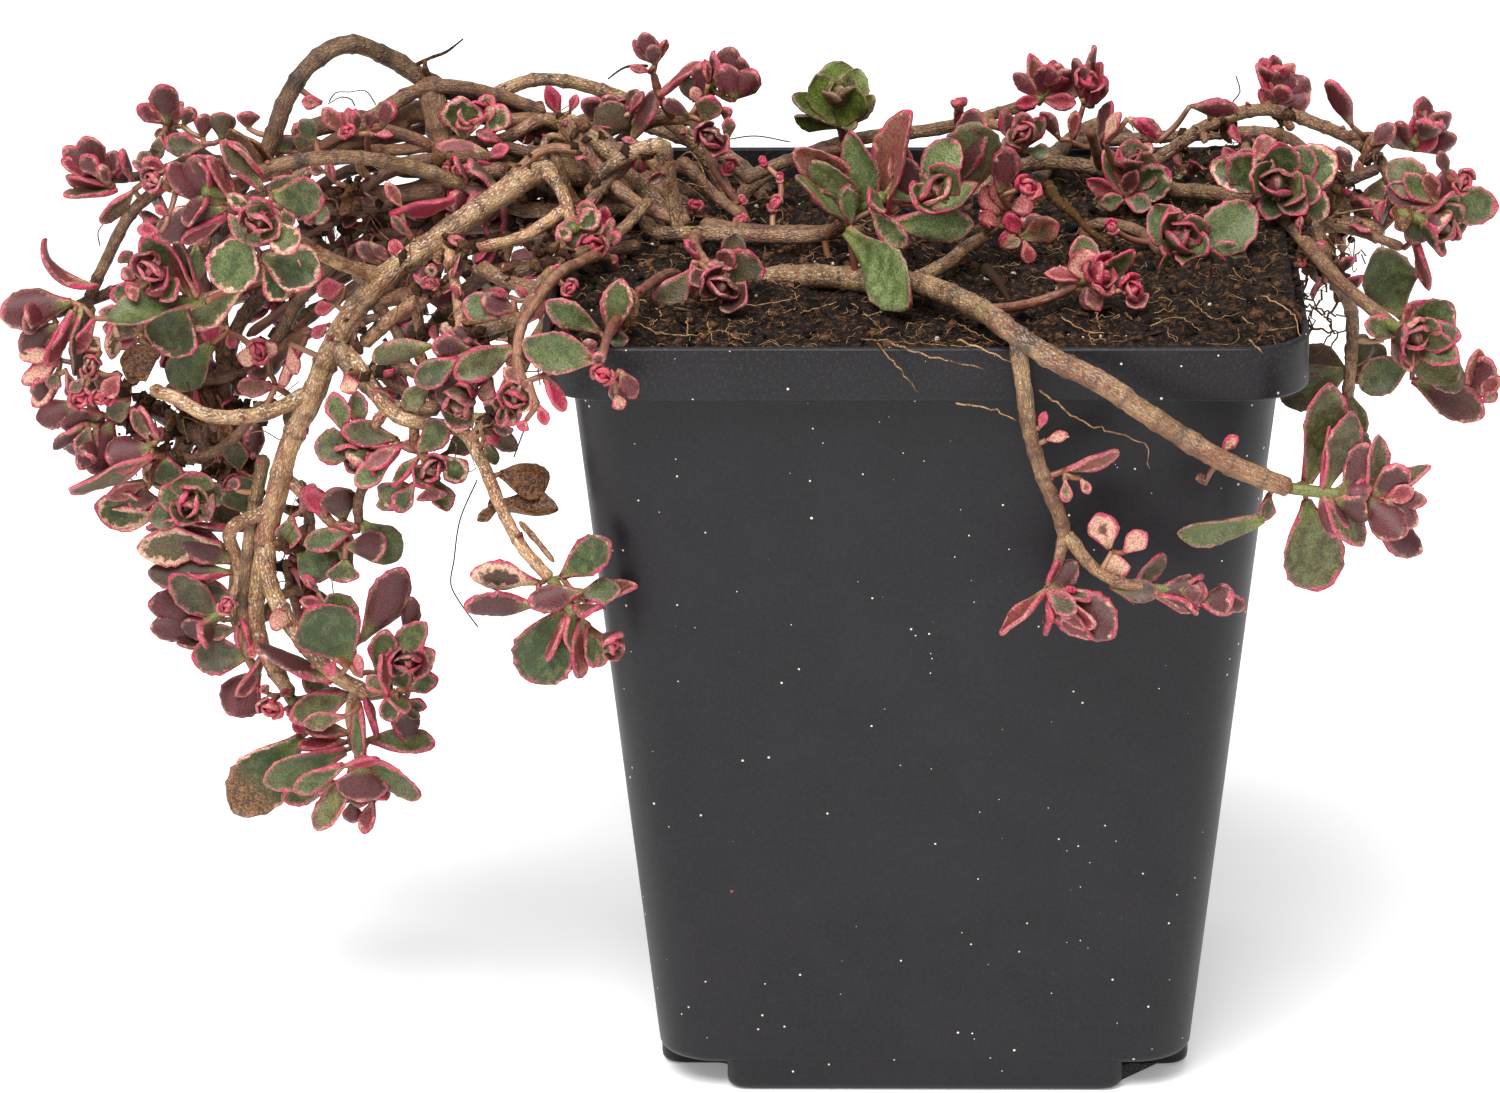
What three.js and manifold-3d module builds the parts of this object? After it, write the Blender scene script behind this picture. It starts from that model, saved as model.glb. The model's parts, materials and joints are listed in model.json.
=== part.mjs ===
// A potted variegated two-row stonecrop: trailing woody stems with leaf
// rosettes, rooted in potting mix in a square black nursery pot.
// Millimetres, +Z up. The origin is the centre of the pot's foot, on the
// surface it stands on. The front of the plant faces -Y.

import * as THREE from 'three'
import { mergeVertices } from 'three/addons/utils/BufferGeometryUtils.js'
import Module from 'manifold-3d'

const wasm = await Module()
wasm.setup()

// Driving sizes of the pot.
const POT_HEIGHT = 120
const RIM_WIDTH = 110
const COLLAR_HEIGHT = 8
const COLLAR_STEP = 4
const BASE_WIDTH = 79.4
const WALL = 1.2
const LIP_ROUND = 0.6
const RIM_CORNER = 10
const BASE_CORNER = 9
const FOOT_HEIGHT = 4.4
const FOOT_LOBE_WIDTH = 58.8
const FOOT_SETBACK = 0.2
const FOOT_CORNER = 3
const BOTTOM_BEVEL = 1.4
const DRAIN_RADIUS = 3
const DRAIN_OFFSET = 33
const CORNER_STEPS = 5

// Driving sizes of the filling. Its surface is drawn with a few rings of
// points, given by their distance from the middle.
const SOIL_LEVEL = 118.4
const SOIL_RINGS = [44, 33, 21, 9]
const SOIL_HEAPS = [{ x: 36, y: -30, height: 1.6, reach: 30 }, { x: -32, y: 5, height: 1.4, reach: 30 }]
const SOIL_SUNK = { depth: 3, fromY: 15, toY: 50 }
const ROOM_AT_WALL = 0.35

// Driving sizes of the plant. GAP is the clearance between touching pieces.
const GAP = 0.3
const STEM_SIDES = 6
const STEM_STEP = 7
const LEAF_THICKNESS = 1.3
const LEAF_WIDTH = 0.74
const LEAF_NECK = 0.62
const LEAF_CUP = 0.12
const CORE_RADIUS = 0.9
const SMALLEST_DETAIL = 0.1

// How a rosette grows, in degrees. The outer leaves lie low, the inner ones
// rise, and each pair is turned a little over a quarter from the one below.
const FIRST_TURN = 20
const PAIR_TURN = 97
const FIRST_RISE = 8
const LAST_RISE = 70

const finish = (color, roughness) => new THREE.MeshStandardMaterial({ color, roughness, metalness: 0 })
const FINISHES = {
  pot: finish(0x2e2d31, 0.5),
  mix: finish(0x2b1d13, 1),
  bark: finish(0x8d7050, 0.85),
  green: finish(0x64754d, 0.6),
  purple: finish(0x7d3f4b, 0.6),
  red: finish(0xb02a4c, 0.55),
}

// Woody stems. Each grows from a root point in the mix. Its side shoots are
// grown together with it, so they share its solid.
const STEMS = {
  left_trunk: {
    radius: 2,
    route: [[-29, 12, 111], [-40, 12, 120], [-49, 10, 127], [-57, 4, 130], [-63, -2, 128],
      [-72, -8, 123], [-80, -12, 118], [-86, -14, 111], [-91, -14, 100], [-95, -13, 91], [-97, -12, 83],
      [-99, -11, 76]],
    shoots: [
      { radius: 1.3, route: [[-98.5, -11, 78], [-100, -12, 69], [-100, -12, 63], [-98, -12, 57],
        [-95, -13, 53]] },
      { radius: 1.4, route: [[-98.5, -11, 78], [-98, -13, 71], [-93, -17, 63], [-88, -18, 58],
        [-83, -18, 55]] },
      { radius: 1, route: [[-85, -18, 56], [-86, -17, 51], [-85, -16, 46]] },
      { radius: 1.2, route: [[-91, -14, 101], [-98, -15, 98], [-106, -16, 98], [-111, -14, 100],
        [-115, -12, 101]] },
      { radius: 1.1, route: [[-98, -12, 82], [-104, -10, 78], [-103, -9, 73], [-103, -9, 69],
        [-104, -9, 67]] },
      { radius: 1.1, route: [[-79, -11, 118], [-85, -16, 121], [-90, -20, 125], [-95, -23, 130]] },
      { radius: 1.1, route: [[-87, -14, 109], [-84, -18, 107], [-78, -22, 100], [-68, -27, 99],
        [-65, -33, 97], [-61, -42, 91], [-58, -46, 87], [-54, -48, 83]] },
      { radius: 0.9, route: [[-75, -23, 100], [-75, -23, 96], [-73, -23, 93]] },
      { radius: 0.9, route: [[-79, -21.5, 101], [-81, -21, 98], [-81, -20, 95]] },
      { radius: 1.1, route: [[-57, 4, 130], [-54, -3, 129], [-52, -9, 125]] },
      { radius: 1, route: [[-53, -6, 127], [-59, -10, 124], [-64, -12, 123], [-68, -15, 123]] },
      { radius: 0.9, route: [[-71, -7, 124], [-69, -16, 117], [-68, -21, 112], [-66, -26, 107]] },
      { radius: 0.9, route: [[-96, -12, 88], [-91, -13, 83], [-86, -14, 78]] },
    ],
  },
  arched_stem: {
    radius: 1.6,
    route: [[-36, 22, 111], [-44, 22, 117], [-48, 20, 124], [-54, 18, 130], [-59, 17, 134],
      [-66, 16, 138], [-73, 15, 140], [-80, 13, 145], [-86, 10, 148], [-91, 8, 146], [-95, 6, 141],
      [-97, 4, 136], [-99, 4, 132], [-106, 8, 130], [-110, 9, 132]],
    shoots: [
      { radius: 1, route: [[-108, 8, 131], [-112, 4, 129], [-118, 0, 125], [-122, -2, 118],
        [-125, -2, 111], [-126, -4, 100], [-123, -6, 93]] },
      { radius: 1, route: [[-99, 4, 132], [-106, 4, 122], [-113, 2, 115], [-120, 0, 113],
        [-130, -4, 110]] },
      { radius: 0.9, route: [[-112, 2, 115.5], [-112, -4, 116.5], [-111, -8, 117]] },
      { radius: 0.9, route: [[-109, 9, 131], [-113, 9, 135]] },
      { radius: 0.9, route: [[-109, 8, 131], [-116, 6, 129], [-122, 3, 129]] },
      { radius: 1, route: [[-67, 16, 138], [-67, 12, 136]] },
      { radius: 1.1, route: [[-105, 4, 123], [-106, 8, 113], [-106, 8, 102], [-105, 5, 91],
        [-109, -4, 83]] },
    ],
  },
  left_middle_stem: {
    radius: 1.25,
    route: [[-46, 11, 113], [-50, 8, 121], [-56, 5, 123.5], [-61, 5, 124], [-66, 4, 126.5],
      [-75, 1, 131], [-85, -3, 134], [-95, -7, 134], [-103, -15, 132]],
    shoots: [],
  },
  back_arch_stem: {
    radius: 1.2,
    route: [[-27, 30, 111], [-31, 32, 120], [-38, 33, 129], [-50, 33, 135], [-59, 31, 137],
      [-67, 27, 135], [-75, 24, 132], [-82, 20, 131]],
    shoots: [],
  },
  cut_stem: {
    radius: 1.35,
    route: [[-54, 12, 136], [-46, 10, 130], [-40, 7, 124], [-35, 5, 119], [-32, 4, 113]],
    shoots: [{ radius: 1.3, route: [[-53, 11.8, 135.4], [-55, 12.5, 131.5]] }],
  },
  crossing_stem: {
    radius: 1.2,
    route: [[-39, 1, 135.5], [-38, 1, 129], [-37, 0, 124], [-35, -1, 114]],
    shoots: [{ radius: 1.2, route: [[-38.5, 1, 135], [-43, 2, 133.5], [-47, 2.5, 131], [-50.5, 4, 126]] }],
  },
  centre_runner: {
    radius: 1.25,
    route: [[-45, 16, 113], [-43, 12, 121], [-40, 2, 121], [-34, -2, 122], [-28, -3, 122],
      [-19, -4, 122], [-15, -6, 123], [-10, -10, 127]],
    shoots: [{ radius: 0.9, route: [[-34, -2, 122], [-34, -14, 123.5], [-31, -26, 123]] }],
  },
  front_trunk: {
    radius: 1.8,
    route: [[-32, -13, 112], [-25, -15, 118], [-18, -18, 120], [-7, -26, 121.5], [-1, -31, 122.5],
      [8, -46, 123], [13, -57, 122.5], [18, -60, 120], [25, -62, 117], [31, -63, 113], [43, -62, 105],
      [52, -61, 101]],
    shoots: [
      { radius: 1.25, route: [[13, -57, 122.5], [14, -59, 115], [15, -58, 108], [17, -57, 101],
        [19, -56, 96], [20, -56, 92]] },
      { radius: 0.95, route: [[20, -56, 93], [19, -56, 88], [18, -56, 85]] },
      { radius: 1, route: [[20, -56, 93], [24, -57, 88], [28, -58, 86], [33, -58, 85]] },
      { radius: 1.1, route: [[-3, -29, 122], [3, -20, 122.5], [6, -13, 123], [9, -7, 123]] },
      { radius: 0.8, route: [[7, -44, 122.5], [13, -39, 121.5], [18, -36, 122], [22, -36, 124]] },
    ],
  },
  right_arch_stem: {
    radius: 1.15,
    route: [[6, 36, 113], [11, 38, 120], [19, 38, 122], [30, 33, 122], [34, 31, 123.5], [43, 30, 130],
      [51, 28, 133], [60, 22, 132], [67, 14, 130], [70, 6, 127], [71, 0, 125]],
    shoots: [
      { radius: 0.9, route: [[51, 28, 133], [53, 31, 134]] },
      { radius: 0.9, route: [[63, 18, 131.5], [69, 14.5, 132], [73, 12, 132]] },
      { radius: 0.9, route: [[27, 34.5, 122], [26, 31, 126], [25, 28, 130]] },
    ],
  },
  right_runner: {
    radius: 1.25,
    route: [[24, 24, 113], [29, 22, 121], [38, 20, 122.5], [47, 14, 123], [53, 3, 123], [57, -9, 121.5],
      [61, -16, 118.5], [68, -22, 114]],
    shoots: [
      { radius: 1.1, route: [[60, -15, 119], [63, -8, 112], [63.5, -4, 105], [63, -2, 95]] },
      { radius: 0.9, route: [[49, 11, 123], [51.5, 4, 127]] },
      { radius: 0.9, route: [[30, 21.5, 121.5], [31, 20, 124]] },
      { radius: 0.9, route: [[67, -21.5, 114.5], [73, -20, 110], [77, -18, 106]] },
    ],
  },
  right_low_stem: {
    radius: 1,
    route: [[20, 9, 113], [25, 7, 120.5], [31, 2, 121.5], [35, -9, 121]],
    shoots: [],
  },
  back_runner: {
    radius: 1.2,
    route: [[-30, 19, 112], [-28, 25, 120], [-20, 36, 123], [-10, 43, 124.5], [2, 45, 125.5],
      [12, 42, 129], [17, 40, 131]],
    shoots: [
      { radius: 1, route: [[-12, 42, 124.3], [-13, 38, 128]] },
      { radius: 0.7, route: [[5, 44.5, 126.5], [5, 41, 130.5]] },
      { radius: 0.9, route: [[8, 43.5, 127.5], [12, 38, 127.5]] },
    ],
  },
  rim_twig: {
    radius: 0.8,
    route: [[-35, -8, 114], [-37, -20, 121], [-41, -34, 122.5], [-44, -48, 122.5], [-45, -57, 122.5],
      [-46, -62, 119.5]],
    shoots: [],
  },
  hanging_twig: {
    radius: 0.9,
    route: [[-44, -6, 113], [-47, -12, 121], [-51, -22, 123], [-54, -32, 123.5], [-56, -38, 122],
      [-58, -42, 119.5], [-58.5, -45, 115], [-57, -47, 111]],
    shoots: [],
  },
  crown_twig: {
    radius: 1,
    route: [[-51, 27, 114], [-50, 26, 124], [-46, 26, 129], [-41, 25, 132], [-36, 22, 133],
      [-33, 18, 132]],
    shoots: [
      { radius: 0.75, route: [[-38, 23.5, 132.8], [-40, 21, 137], [-41, 20, 141]] },
      { radius: 0.9, route: [[-36, 22, 133], [-34, 20, 135], [-32, 18, 139]] },
      { radius: 0.8, route: [[-34, 20, 132.8], [-31.5, 15, 127], [-28, 13, 122], [-25, 12, 115]] },
    ],
  },
  back_left_stem: {
    radius: 1.4,
    route: [[-20, 26, 111], [-27, 38, 120], [-38, 47, 124], [-52, 56, 124], [-63, 62, 116],
      [-69, 64, 106], [-71, 65, 94]],
    shoots: [{ radius: 1, route: [[-36, 46, 124], [-35, 57, 123], [-34, 62, 114], [-33, 64, 104]] }],
  },
  back_right_stem: {
    radius: 1.4,
    route: [[12, 26, 111], [20, 46, 121], [28, 56, 123], [36, 62, 114], [38, 64, 104]],
    shoots: [
      { radius: 1, route: [[22, 49, 122], [40, 48, 123.5], [56, 49, 123], [63, 50, 114], [65, 51, 104]] },
    ],
  },
}

// Rosettes and leafy shoots. The columns are the point where the axis starts,
// where the axis points to, the longest leaf, the pairs of leaves, how far
// apart the pairs stand (1 is a ninth of a leaf) and the finish.
const ROSETTES = {
  shoot_left_top: [[-113, 9, 135.5], [-0.1, 0.1, 1], 5, 4, 1, 'purple'],
  shoot_left_tip: [[-122.5, 3, 129], [-0.8, -0.2, 0.5], 6, 4, 1, 'purple'],
  rosette_left_cream: [[-95, -23.5, 130], [0.1, -1, 0.2], 10, 5, 1, 'green'],
  rosette_left_purple: [[-103, -15.5, 132], [-0.8, -0.6, 0.3], 9, 4, 1.3, 'purple'],
  rosette_left_green: [[-111, -9, 117], [-0.3, -0.9, 0.2], 10, 5, 1, 'green'],
  rosette_left_edge: [[-130.5, -4, 110], [-1, -0.2, -0.1], 7, 3, 1.2, 'purple'],
  rosette_left_low: [[-123, -6, 93], [-0.6, -0.4, -0.6], 8, 5, 1.1, 'purple'],
  rosette_left_open: [[-109.5, -5, 82.5], [-0.2, -1, 0], 7, 5, 0.8, 'green'],
  rosette_trunk_side: [[-104.5, -9, 66], [-0.7, -0.4, -0.5], 10, 5, 1.2, 'purple'],
  rosette_trunk_low: [[-95, -13.5, 52], [-0.3, -0.5, -0.8], 3.2, 4, 0.7, 'red'],
  rosette_fork_end: [[-82.5, -18, 55.5], [0.6, -0.7, 0.4], 9.5, 5, 1.2, 'green'],
  rosette_lowest: [[-85, -16, 45.5], [0.1, -0.3, -1], 9.5, 5, 1.2, 'green'],
  rosette_under_left: [[-73, -23.5, 92.5], [0.3, -0.8, -0.3], 8.5, 5, 1, 'green'],
  rosette_under_small: [[-81.5, -20.5, 94.5], [-0.6, -0.6, -0.4], 8, 3, 1, 'green'],
  rosette_dangling: [[-66, -26.5, 106.5], [-0.4, -0.7, -0.5], 9, 4, 1, 'green'],
  rosette_crown_front: [[-52, -9.5, 124.5], [0.2, -0.9, 0.5], 6.5, 4, 1, 'green'],
  rosette_soil_left: [[-31, -26.5, 123], [0.1, -0.8, 0.4], 7, 4, 1, 'purple'],
  shoot_crown_top: [[-32, 18, 139.5], [0.4, -0.1, 1], 7, 4, 1, 'purple'],
  rosette_arch_foot: [[-67, 11.5, 136], [0, -0.8, 0.5], 6, 4, 0.9, 'green'],
  rosette_crown_top: [[-45, 26, 130.5], [-0.3, -0.5, 1], 7.5, 4, 1, 'purple'],
  shoot_green: [[-13, 38, 128.5], [0, -0.2, 1], 7, 5, 1.3, 'green'],
  rosette_centre: [[-10, -10, 127.5], [0.5, -0.7, 0.5], 12, 6, 1.4, 'green'],
  shoot_red: [[17.5, 40, 131.5], [0.6, 0, 0.8], 7, 5, 1.1, 'red'],
  rosette_coral: [[9, -6.5, 123.5], [0.5, -0.5, 0.8], 6, 4, 1, 'red'],
  rosette_back_green: [[31, 19.5, 124.5], [0, -0.3, 1], 7.5, 4, 0.9, 'green'],
  rosette_right_fine: [[51.5, 3.5, 127.5], [0.1, -1, 0.4], 10, 5, 0.8, 'green'],
  rosette_right_front: [[35.5, -9.5, 122], [0.4, -0.9, 0.5], 10, 5, 1, 'green'],
  rosette_soil_right: [[22.5, -36, 124.5], [0.8, -0.6, 0.4], 7, 4, 1.3, 'red'],
  shoot_right_red: [[53, 31, 134.5], [0.1, 0, 1], 6.5, 5, 0.9, 'red'],
  shoot_right_top: [[73.5, 11.5, 132.5], [0.5, -0.1, 0.9], 7.5, 3, 1, 'purple'],
  rosette_right_edge: [[71, -0.5, 124.5], [0.8, -0.6, -0.1], 9.5, 5, 1.3, 'green'],
  rosette_right_low: [[68, -22.5, 114], [0.6, -0.8, -0.1], 9, 5, 1, 'green'],
  rosette_right_dark: [[63, -2, 94.5], [0.1, -0.1, -1], 8.5, 4, 1.2, 'green'],
  shoot_front_end: [[52.5, -61, 101], [1, -0.1, -0.1], 9.5, 5, 2, 'purple'],
  shoot_front_down: [[18, -56.5, 84.5], [0.4, -0.2, -0.8], 7, 3, 1.5, 'purple'],
  shoot_front_side: [[33.5, -58, 85], [1, -0.1, -0.1], 6, 4, 2.2, 'purple'],
  rosette_hanging: [[-53.5, -48.5, 82.5], [0.5, -0.5, -0.6], 10, 5, 1.5, 'green'],
  rosette_back_left: [[-71, 65, 93.5], [-0.3, 0.3, -1], 10, 5, 1.2, 'green'],
  rosette_back_middle: [[-33, 64, 103.5], [0.1, 0.4, -1], 9, 5, 1.2, 'green'],
  rosette_back_right: [[38, 64, 103.5], [0.2, 0.4, -1], 9, 5, 1.2, 'purple'],
}

// Solids. A closed geometry becomes a solid, and the largest body of a
// solid becomes a geometry again.
function solidFrom(geometry) {
  geometry.deleteAttribute('normal')
  geometry.deleteAttribute('uv')
  const merged = mergeVertices(geometry, 1e-4)
  return new wasm.Manifold(new wasm.Mesh({
    numProp: 3,
    vertProperties: new Float32Array(merged.attributes.position.array),
    triVerts: new Uint32Array(merged.index.array),
  }))
}

function largestBody(solid) {
  const bodies = solid.simplify(SMALLEST_DETAIL).decompose()
  return bodies.reduce((best, body) => (body.volume() > best.volume() ? body : best))
}

function meshFrom(solid, name, material) {
  const { vertProperties, triVerts } = solid.getMesh()
  const geometry = new THREE.BufferGeometry()
  geometry.setAttribute('position', new THREE.BufferAttribute(vertProperties, 3))
  geometry.setIndex(new THREE.BufferAttribute(triVerts, 1))
  geometry.computeVertexNormals()
  const mesh = new THREE.Mesh(geometry, material)
  mesh.name = name
  return mesh
}

const join = (solids) => solids.reduce((whole, solid) => whole.add(solid))

// A rounded square turned like a lathe. Each profile point is
// [half width, height, corner radius], and the first and last lie on the axis.
// `lift` gives the height of any point from its place in the profile.
function squareLathe(profile, arcSteps, sideSteps, lift = (height) => height) {
  const perQuarter = arcSteps + sideSteps
  const outline = profile.map(([halfWidth, height]) => new THREE.Vector2(halfWidth, height))
  const geometry = new THREE.LatheGeometry(outline, perQuarter * 4)
  const position = geometry.attributes.position
  for (let index = 0; index < position.count; index += 1) {
    const [halfWidth, height, corner] = profile[index % profile.length]
    const step = Math.floor(index / profile.length) % (perQuarter * 4)
    const quarter = Math.floor(step / perQuarter)
    const place = squarePoint(quarter, step % perQuarter, arcSteps, sideSteps, halfWidth, corner)
    position.setXYZ(index, place.x, place.y, lift(height, place.x, place.y, index % profile.length))
  }
  return geometry
}

function squarePoint(quarter, step, arcSteps, sideSteps, halfWidth, corner) {
  const turn = quarter * Math.PI / 2
  const arcPoint = (quarterTurn, share) => {
    const middle = new THREE.Vector2(halfWidth - corner, halfWidth - corner)
    const spoke = new THREE.Vector2(corner, 0).rotateAround(new THREE.Vector2(), share * Math.PI / 2)
    return middle.add(spoke).rotateAround(new THREE.Vector2(), quarterTurn)
  }
  if (step <= arcSteps) return arcPoint(turn, step / arcSteps)
  const next = arcPoint(turn + Math.PI / 2, 0)
  return arcPoint(turn, 1).lerp(next, (step - arcSteps) / sideSteps)
}

// The plus-shaped outline of the foot, with rounded corners.
function plusShape(reach, halfLobe, round) {
  const quarter = [
    [reach, -halfLobe], [reach, halfLobe], [halfLobe, halfLobe],
  ]
  const corners = []
  for (let turn = 0; turn < 4; turn += 1) {
    for (const [x, y] of quarter) {
      corners.push(new THREE.Vector2(x, y).rotateAround(new THREE.Vector2(), turn * Math.PI / 2))
    }
  }
  const shape = new THREE.Shape()
  corners.forEach((corner, index) => {
    const before = corners[(index + corners.length - 1) % corners.length]
    const after = corners[(index + 1) % corners.length]
    const start = corner.clone().add(before.clone().sub(corner).setLength(round))
    const end = corner.clone().add(after.clone().sub(corner).setLength(round))
    if (index === 0) shape.moveTo(start.x, start.y)
    else shape.lineTo(start.x, start.y)
    shape.quadraticCurveTo(corner.x, corner.y, end.x, end.y)
  })
  shape.closePath()
  return shape
}

// Pot: one moulded shell with a stepped-out collar, a plus-shaped foot and a
// drain hole in each raised corner.
const BASE_HALF = BASE_WIDTH / 2
const RIM_HALF = RIM_WIDTH / 2
const COLLAR_Z = POT_HEIGHT - COLLAR_HEIGHT
const SHOULDER_HALF = RIM_HALF - COLLAR_STEP
const FLOOR_Z = FOOT_HEIGHT + WALL
const CAVITY_CORNER = BASE_CORNER - WALL
const COLLAR_CORNER = RIM_CORNER - WALL

function footSolid(inset, bottom, top) {
  const reach = BASE_HALF - FOOT_SETBACK - BOTTOM_BEVEL - inset
  const shape = plusShape(reach, FOOT_LOBE_WIDTH / 2 - BOTTOM_BEVEL - inset, FOOT_CORNER)
  const bevel = inset > 0 ? 0 : BOTTOM_BEVEL
  const geometry = new THREE.ExtrudeGeometry(shape, {
    depth: top - bottom - bevel * 2,
    curveSegments: 2,
    bevelEnabled: bevel > 0,
    bevelThickness: bevel,
    bevelSize: bevel,
    bevelSegments: 2,
  })
  geometry.translate(0, 0, bottom + bevel)
  return solidFrom(geometry)
}

// The inside of the pot, `inset` away from its wall all round.
function cavityProfile(inset, topZ) {
  return [
    [0, FLOOR_Z + inset, 0],
    [BASE_HALF - WALL - inset, FLOOR_Z + inset, CAVITY_CORNER - inset],
    [SHOULDER_HALF - WALL - inset, COLLAR_Z + WALL + inset, COLLAR_CORNER - inset],
    [RIM_HALF - WALL - inset, COLLAR_Z + WALL * 1.5 + inset, COLLAR_CORNER - inset],
    [RIM_HALF - WALL - inset, topZ, COLLAR_CORNER - inset],
  ]
}

function potSolid() {
  const body = solidFrom(squareLathe([
    [0, FOOT_HEIGHT, 0],
    [BASE_HALF - BOTTOM_BEVEL, FOOT_HEIGHT, BASE_CORNER - BOTTOM_BEVEL],
    [BASE_HALF, FOOT_HEIGHT + BOTTOM_BEVEL, BASE_CORNER],
    [SHOULDER_HALF, COLLAR_Z, RIM_CORNER],
    [RIM_HALF - LIP_ROUND, COLLAR_Z, RIM_CORNER - LIP_ROUND],
    [RIM_HALF, COLLAR_Z + LIP_ROUND, RIM_CORNER],
    [RIM_HALF, POT_HEIGHT - LIP_ROUND, RIM_CORNER],
    [RIM_HALF - LIP_ROUND, POT_HEIGHT, RIM_CORNER - LIP_ROUND],
    [0, POT_HEIGHT, 0],
  ], CORNER_STEPS, 1))
  const above = POT_HEIGHT + 2
  const cavity = solidFrom(squareLathe([...cavityProfile(0, above), [0, above, 0]], CORNER_STEPS, 1))
  const foot = footSolid(0, 0, FOOT_HEIGHT + BOTTOM_BEVEL * 2)
  const footCavity = footSolid(WALL, WALL, FLOOR_Z + WALL)
  const holes = [[1, 1], [1, -1], [-1, 1], [-1, -1]].map(([sideX, sideY]) => {
    const drill = new THREE.CylinderGeometry(DRAIN_RADIUS, DRAIN_RADIUS, WALL * 4, 10)
    drill.rotateX(Math.PI / 2)
    drill.translate(sideX * DRAIN_OFFSET, sideY * DRAIN_OFFSET, FOOT_HEIGHT)
    return solidFrom(drill)
  })
  return body.add(foot).subtract(join([cavity, footCavity, ...holes]))
}

// Potting mix: it fills the pot, is heaped at the front right and around the
// crown, and has sunk along the back.
function soilHeight(x, y) {
  const heaped = SOIL_HEAPS.map((heap) => {
    const away = Math.hypot(x - heap.x, y - heap.y) / heap.reach
    return heap.height * Math.exp(-(away ** 2))
  })
  const sunk = SOIL_SUNK.depth * THREE.MathUtils.smoothstep(y, SOIL_SUNK.fromY, SOIL_SUNK.toY)
  return heaped.reduce((height, more) => height + more, SOIL_LEVEL - sunk)
}

function mixSolid(raise) {
  const surface = SOIL_RINGS.map((half) => [half, SOIL_LEVEL, RIM_CORNER * half / RIM_HALF])
  const wall = cavityProfile(ROOM_AT_WALL, SOIL_LEVEL)
  const profile = [...wall, ...surface, [0, SOIL_LEVEL, 0]]
  const lift = (height, x, y, place) => (place >= wall.length - 1 ? soilHeight(x, y) + raise : height)
  const heaped = solidFrom(squareLathe(profile, 3, 4, lift))
  return heaped.add(footSolid(WALL + ROOM_AT_WALL, WALL + ROOM_AT_WALL, FLOOR_Z + WALL))
}

// Stems. `grow` thickens one, to cut its clearance out of what it touches.
function tube({ radius, route }, grow) {
  const curve = new THREE.CatmullRomCurve3(route.map((point) => new THREE.Vector3(...point)))
  const section = new THREE.Shape()
  for (let side = 0; side < STEM_SIDES; side += 1) {
    const angle = side * 2 * Math.PI / STEM_SIDES
    const place = [(radius + grow) * Math.cos(angle), (radius + grow) * Math.sin(angle)]
    if (side === 0) section.moveTo(...place)
    else section.lineTo(...place)
  }
  section.closePath()
  const steps = Math.max(2, Math.round(curve.getLength() / STEM_STEP))
  return solidFrom(new THREE.ExtrudeGeometry(section, { steps, bevelEnabled: false, extrudePath: curve }))
}

const stemSolid = (stem, grow) => join([stem, ...stem.shoots].map((shoot) => tube(shoot, grow)))

// A leaf is a flat six-sided spindle, wider past its middle and cupped up.
// Its base is at the origin, its length runs along X and its face is +Y.
function leafGeometry(length, width, thickness) {
  const geometry = new THREE.SphereGeometry(1, 6, 2)
  const position = geometry.attributes.position
  for (let index = 0; index < position.count; index += 1) {
    const along = (position.getX(index) + 1) / 2
    const narrow = along < 0.5 ? LEAF_NECK : 1
    const cup = LEAF_CUP * length * along ** 2
    position.setXYZ(index, along * length, position.getY(index) * thickness / 2 + cup,
      position.getZ(index) * narrow * width / 2)
  }
  return geometry
}

function rosetteSolid([at, facing, length, pairs, spread], grow) {
  const axis = new THREE.Vector3(...facing).normalize()
  const upright = new THREE.Quaternion().setFromUnitVectors(new THREE.Vector3(0, 0, 1), axis)
  const step = spread * length / 9
  const coreLength = step * (pairs - 1) + length * 0.2
  const coreRadius = CORE_RADIUS + length * 0.06 + grow
  const core = new THREE.SphereGeometry(1, 5, 3)
  core.rotateX(Math.PI / 2)
  core.scale(coreRadius, coreRadius, coreLength / 2 + 0.8 + grow)
  core.translate(0, 0, coreLength / 2)
  const pieces = [core]
  for (let pair = 0; pair < pairs - 1; pair += 1) {
    const inward = pair / (pairs - 1)
    const leafLength = length * (1 - inward / 2) + grow
    const rise = THREE.MathUtils.lerp(FIRST_RISE, LAST_RISE, inward)
    for (let side = 0; side < 2; side += 1) {
      const leaf = leafGeometry(leafLength, leafLength * LEAF_WIDTH + grow * 2, LEAF_THICKNESS + grow * 2)
      leaf.rotateX(Math.PI / 2)
      leaf.rotateY(THREE.MathUtils.degToRad(-rise))
      leaf.translate(coreRadius * 0.6, 0, pair * step)
      leaf.rotateZ(THREE.MathUtils.degToRad(FIRST_TURN + pair * PAIR_TURN + side * 180))
      pieces.push(leaf)
    }
  }
  const solids = pieces.map((piece) => {
    piece.applyQuaternion(upright)
    piece.translate(...at)
    return solidFrom(piece)
  })
  return join(solids)
}

// Assembly. What is placed later is cut clear of what it touches.
const plant = new THREE.Group()
const pot = potSolid()
plant.add(meshFrom(pot, 'pot', FINISHES.pot))

const stemNames = Object.keys(STEMS)
const grownStems = stemNames.map((name) => stemSolid(STEMS[name], GAP))
const mix = largestBody(mixSolid(0).subtract(join(grownStems)))
plant.add(meshFrom(mix, 'potting_mix', FINISHES.mix))

stemNames.forEach((name, index) => {
  const earlier = grownStems.slice(0, index)
  const whole = stemSolid(STEMS[name], 0)
  const stem = largestBody(earlier.length > 0 ? whole.subtract(join(earlier)) : whole)
  plant.add(meshFrom(stem, name, FINISHES.bark))
})

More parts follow.
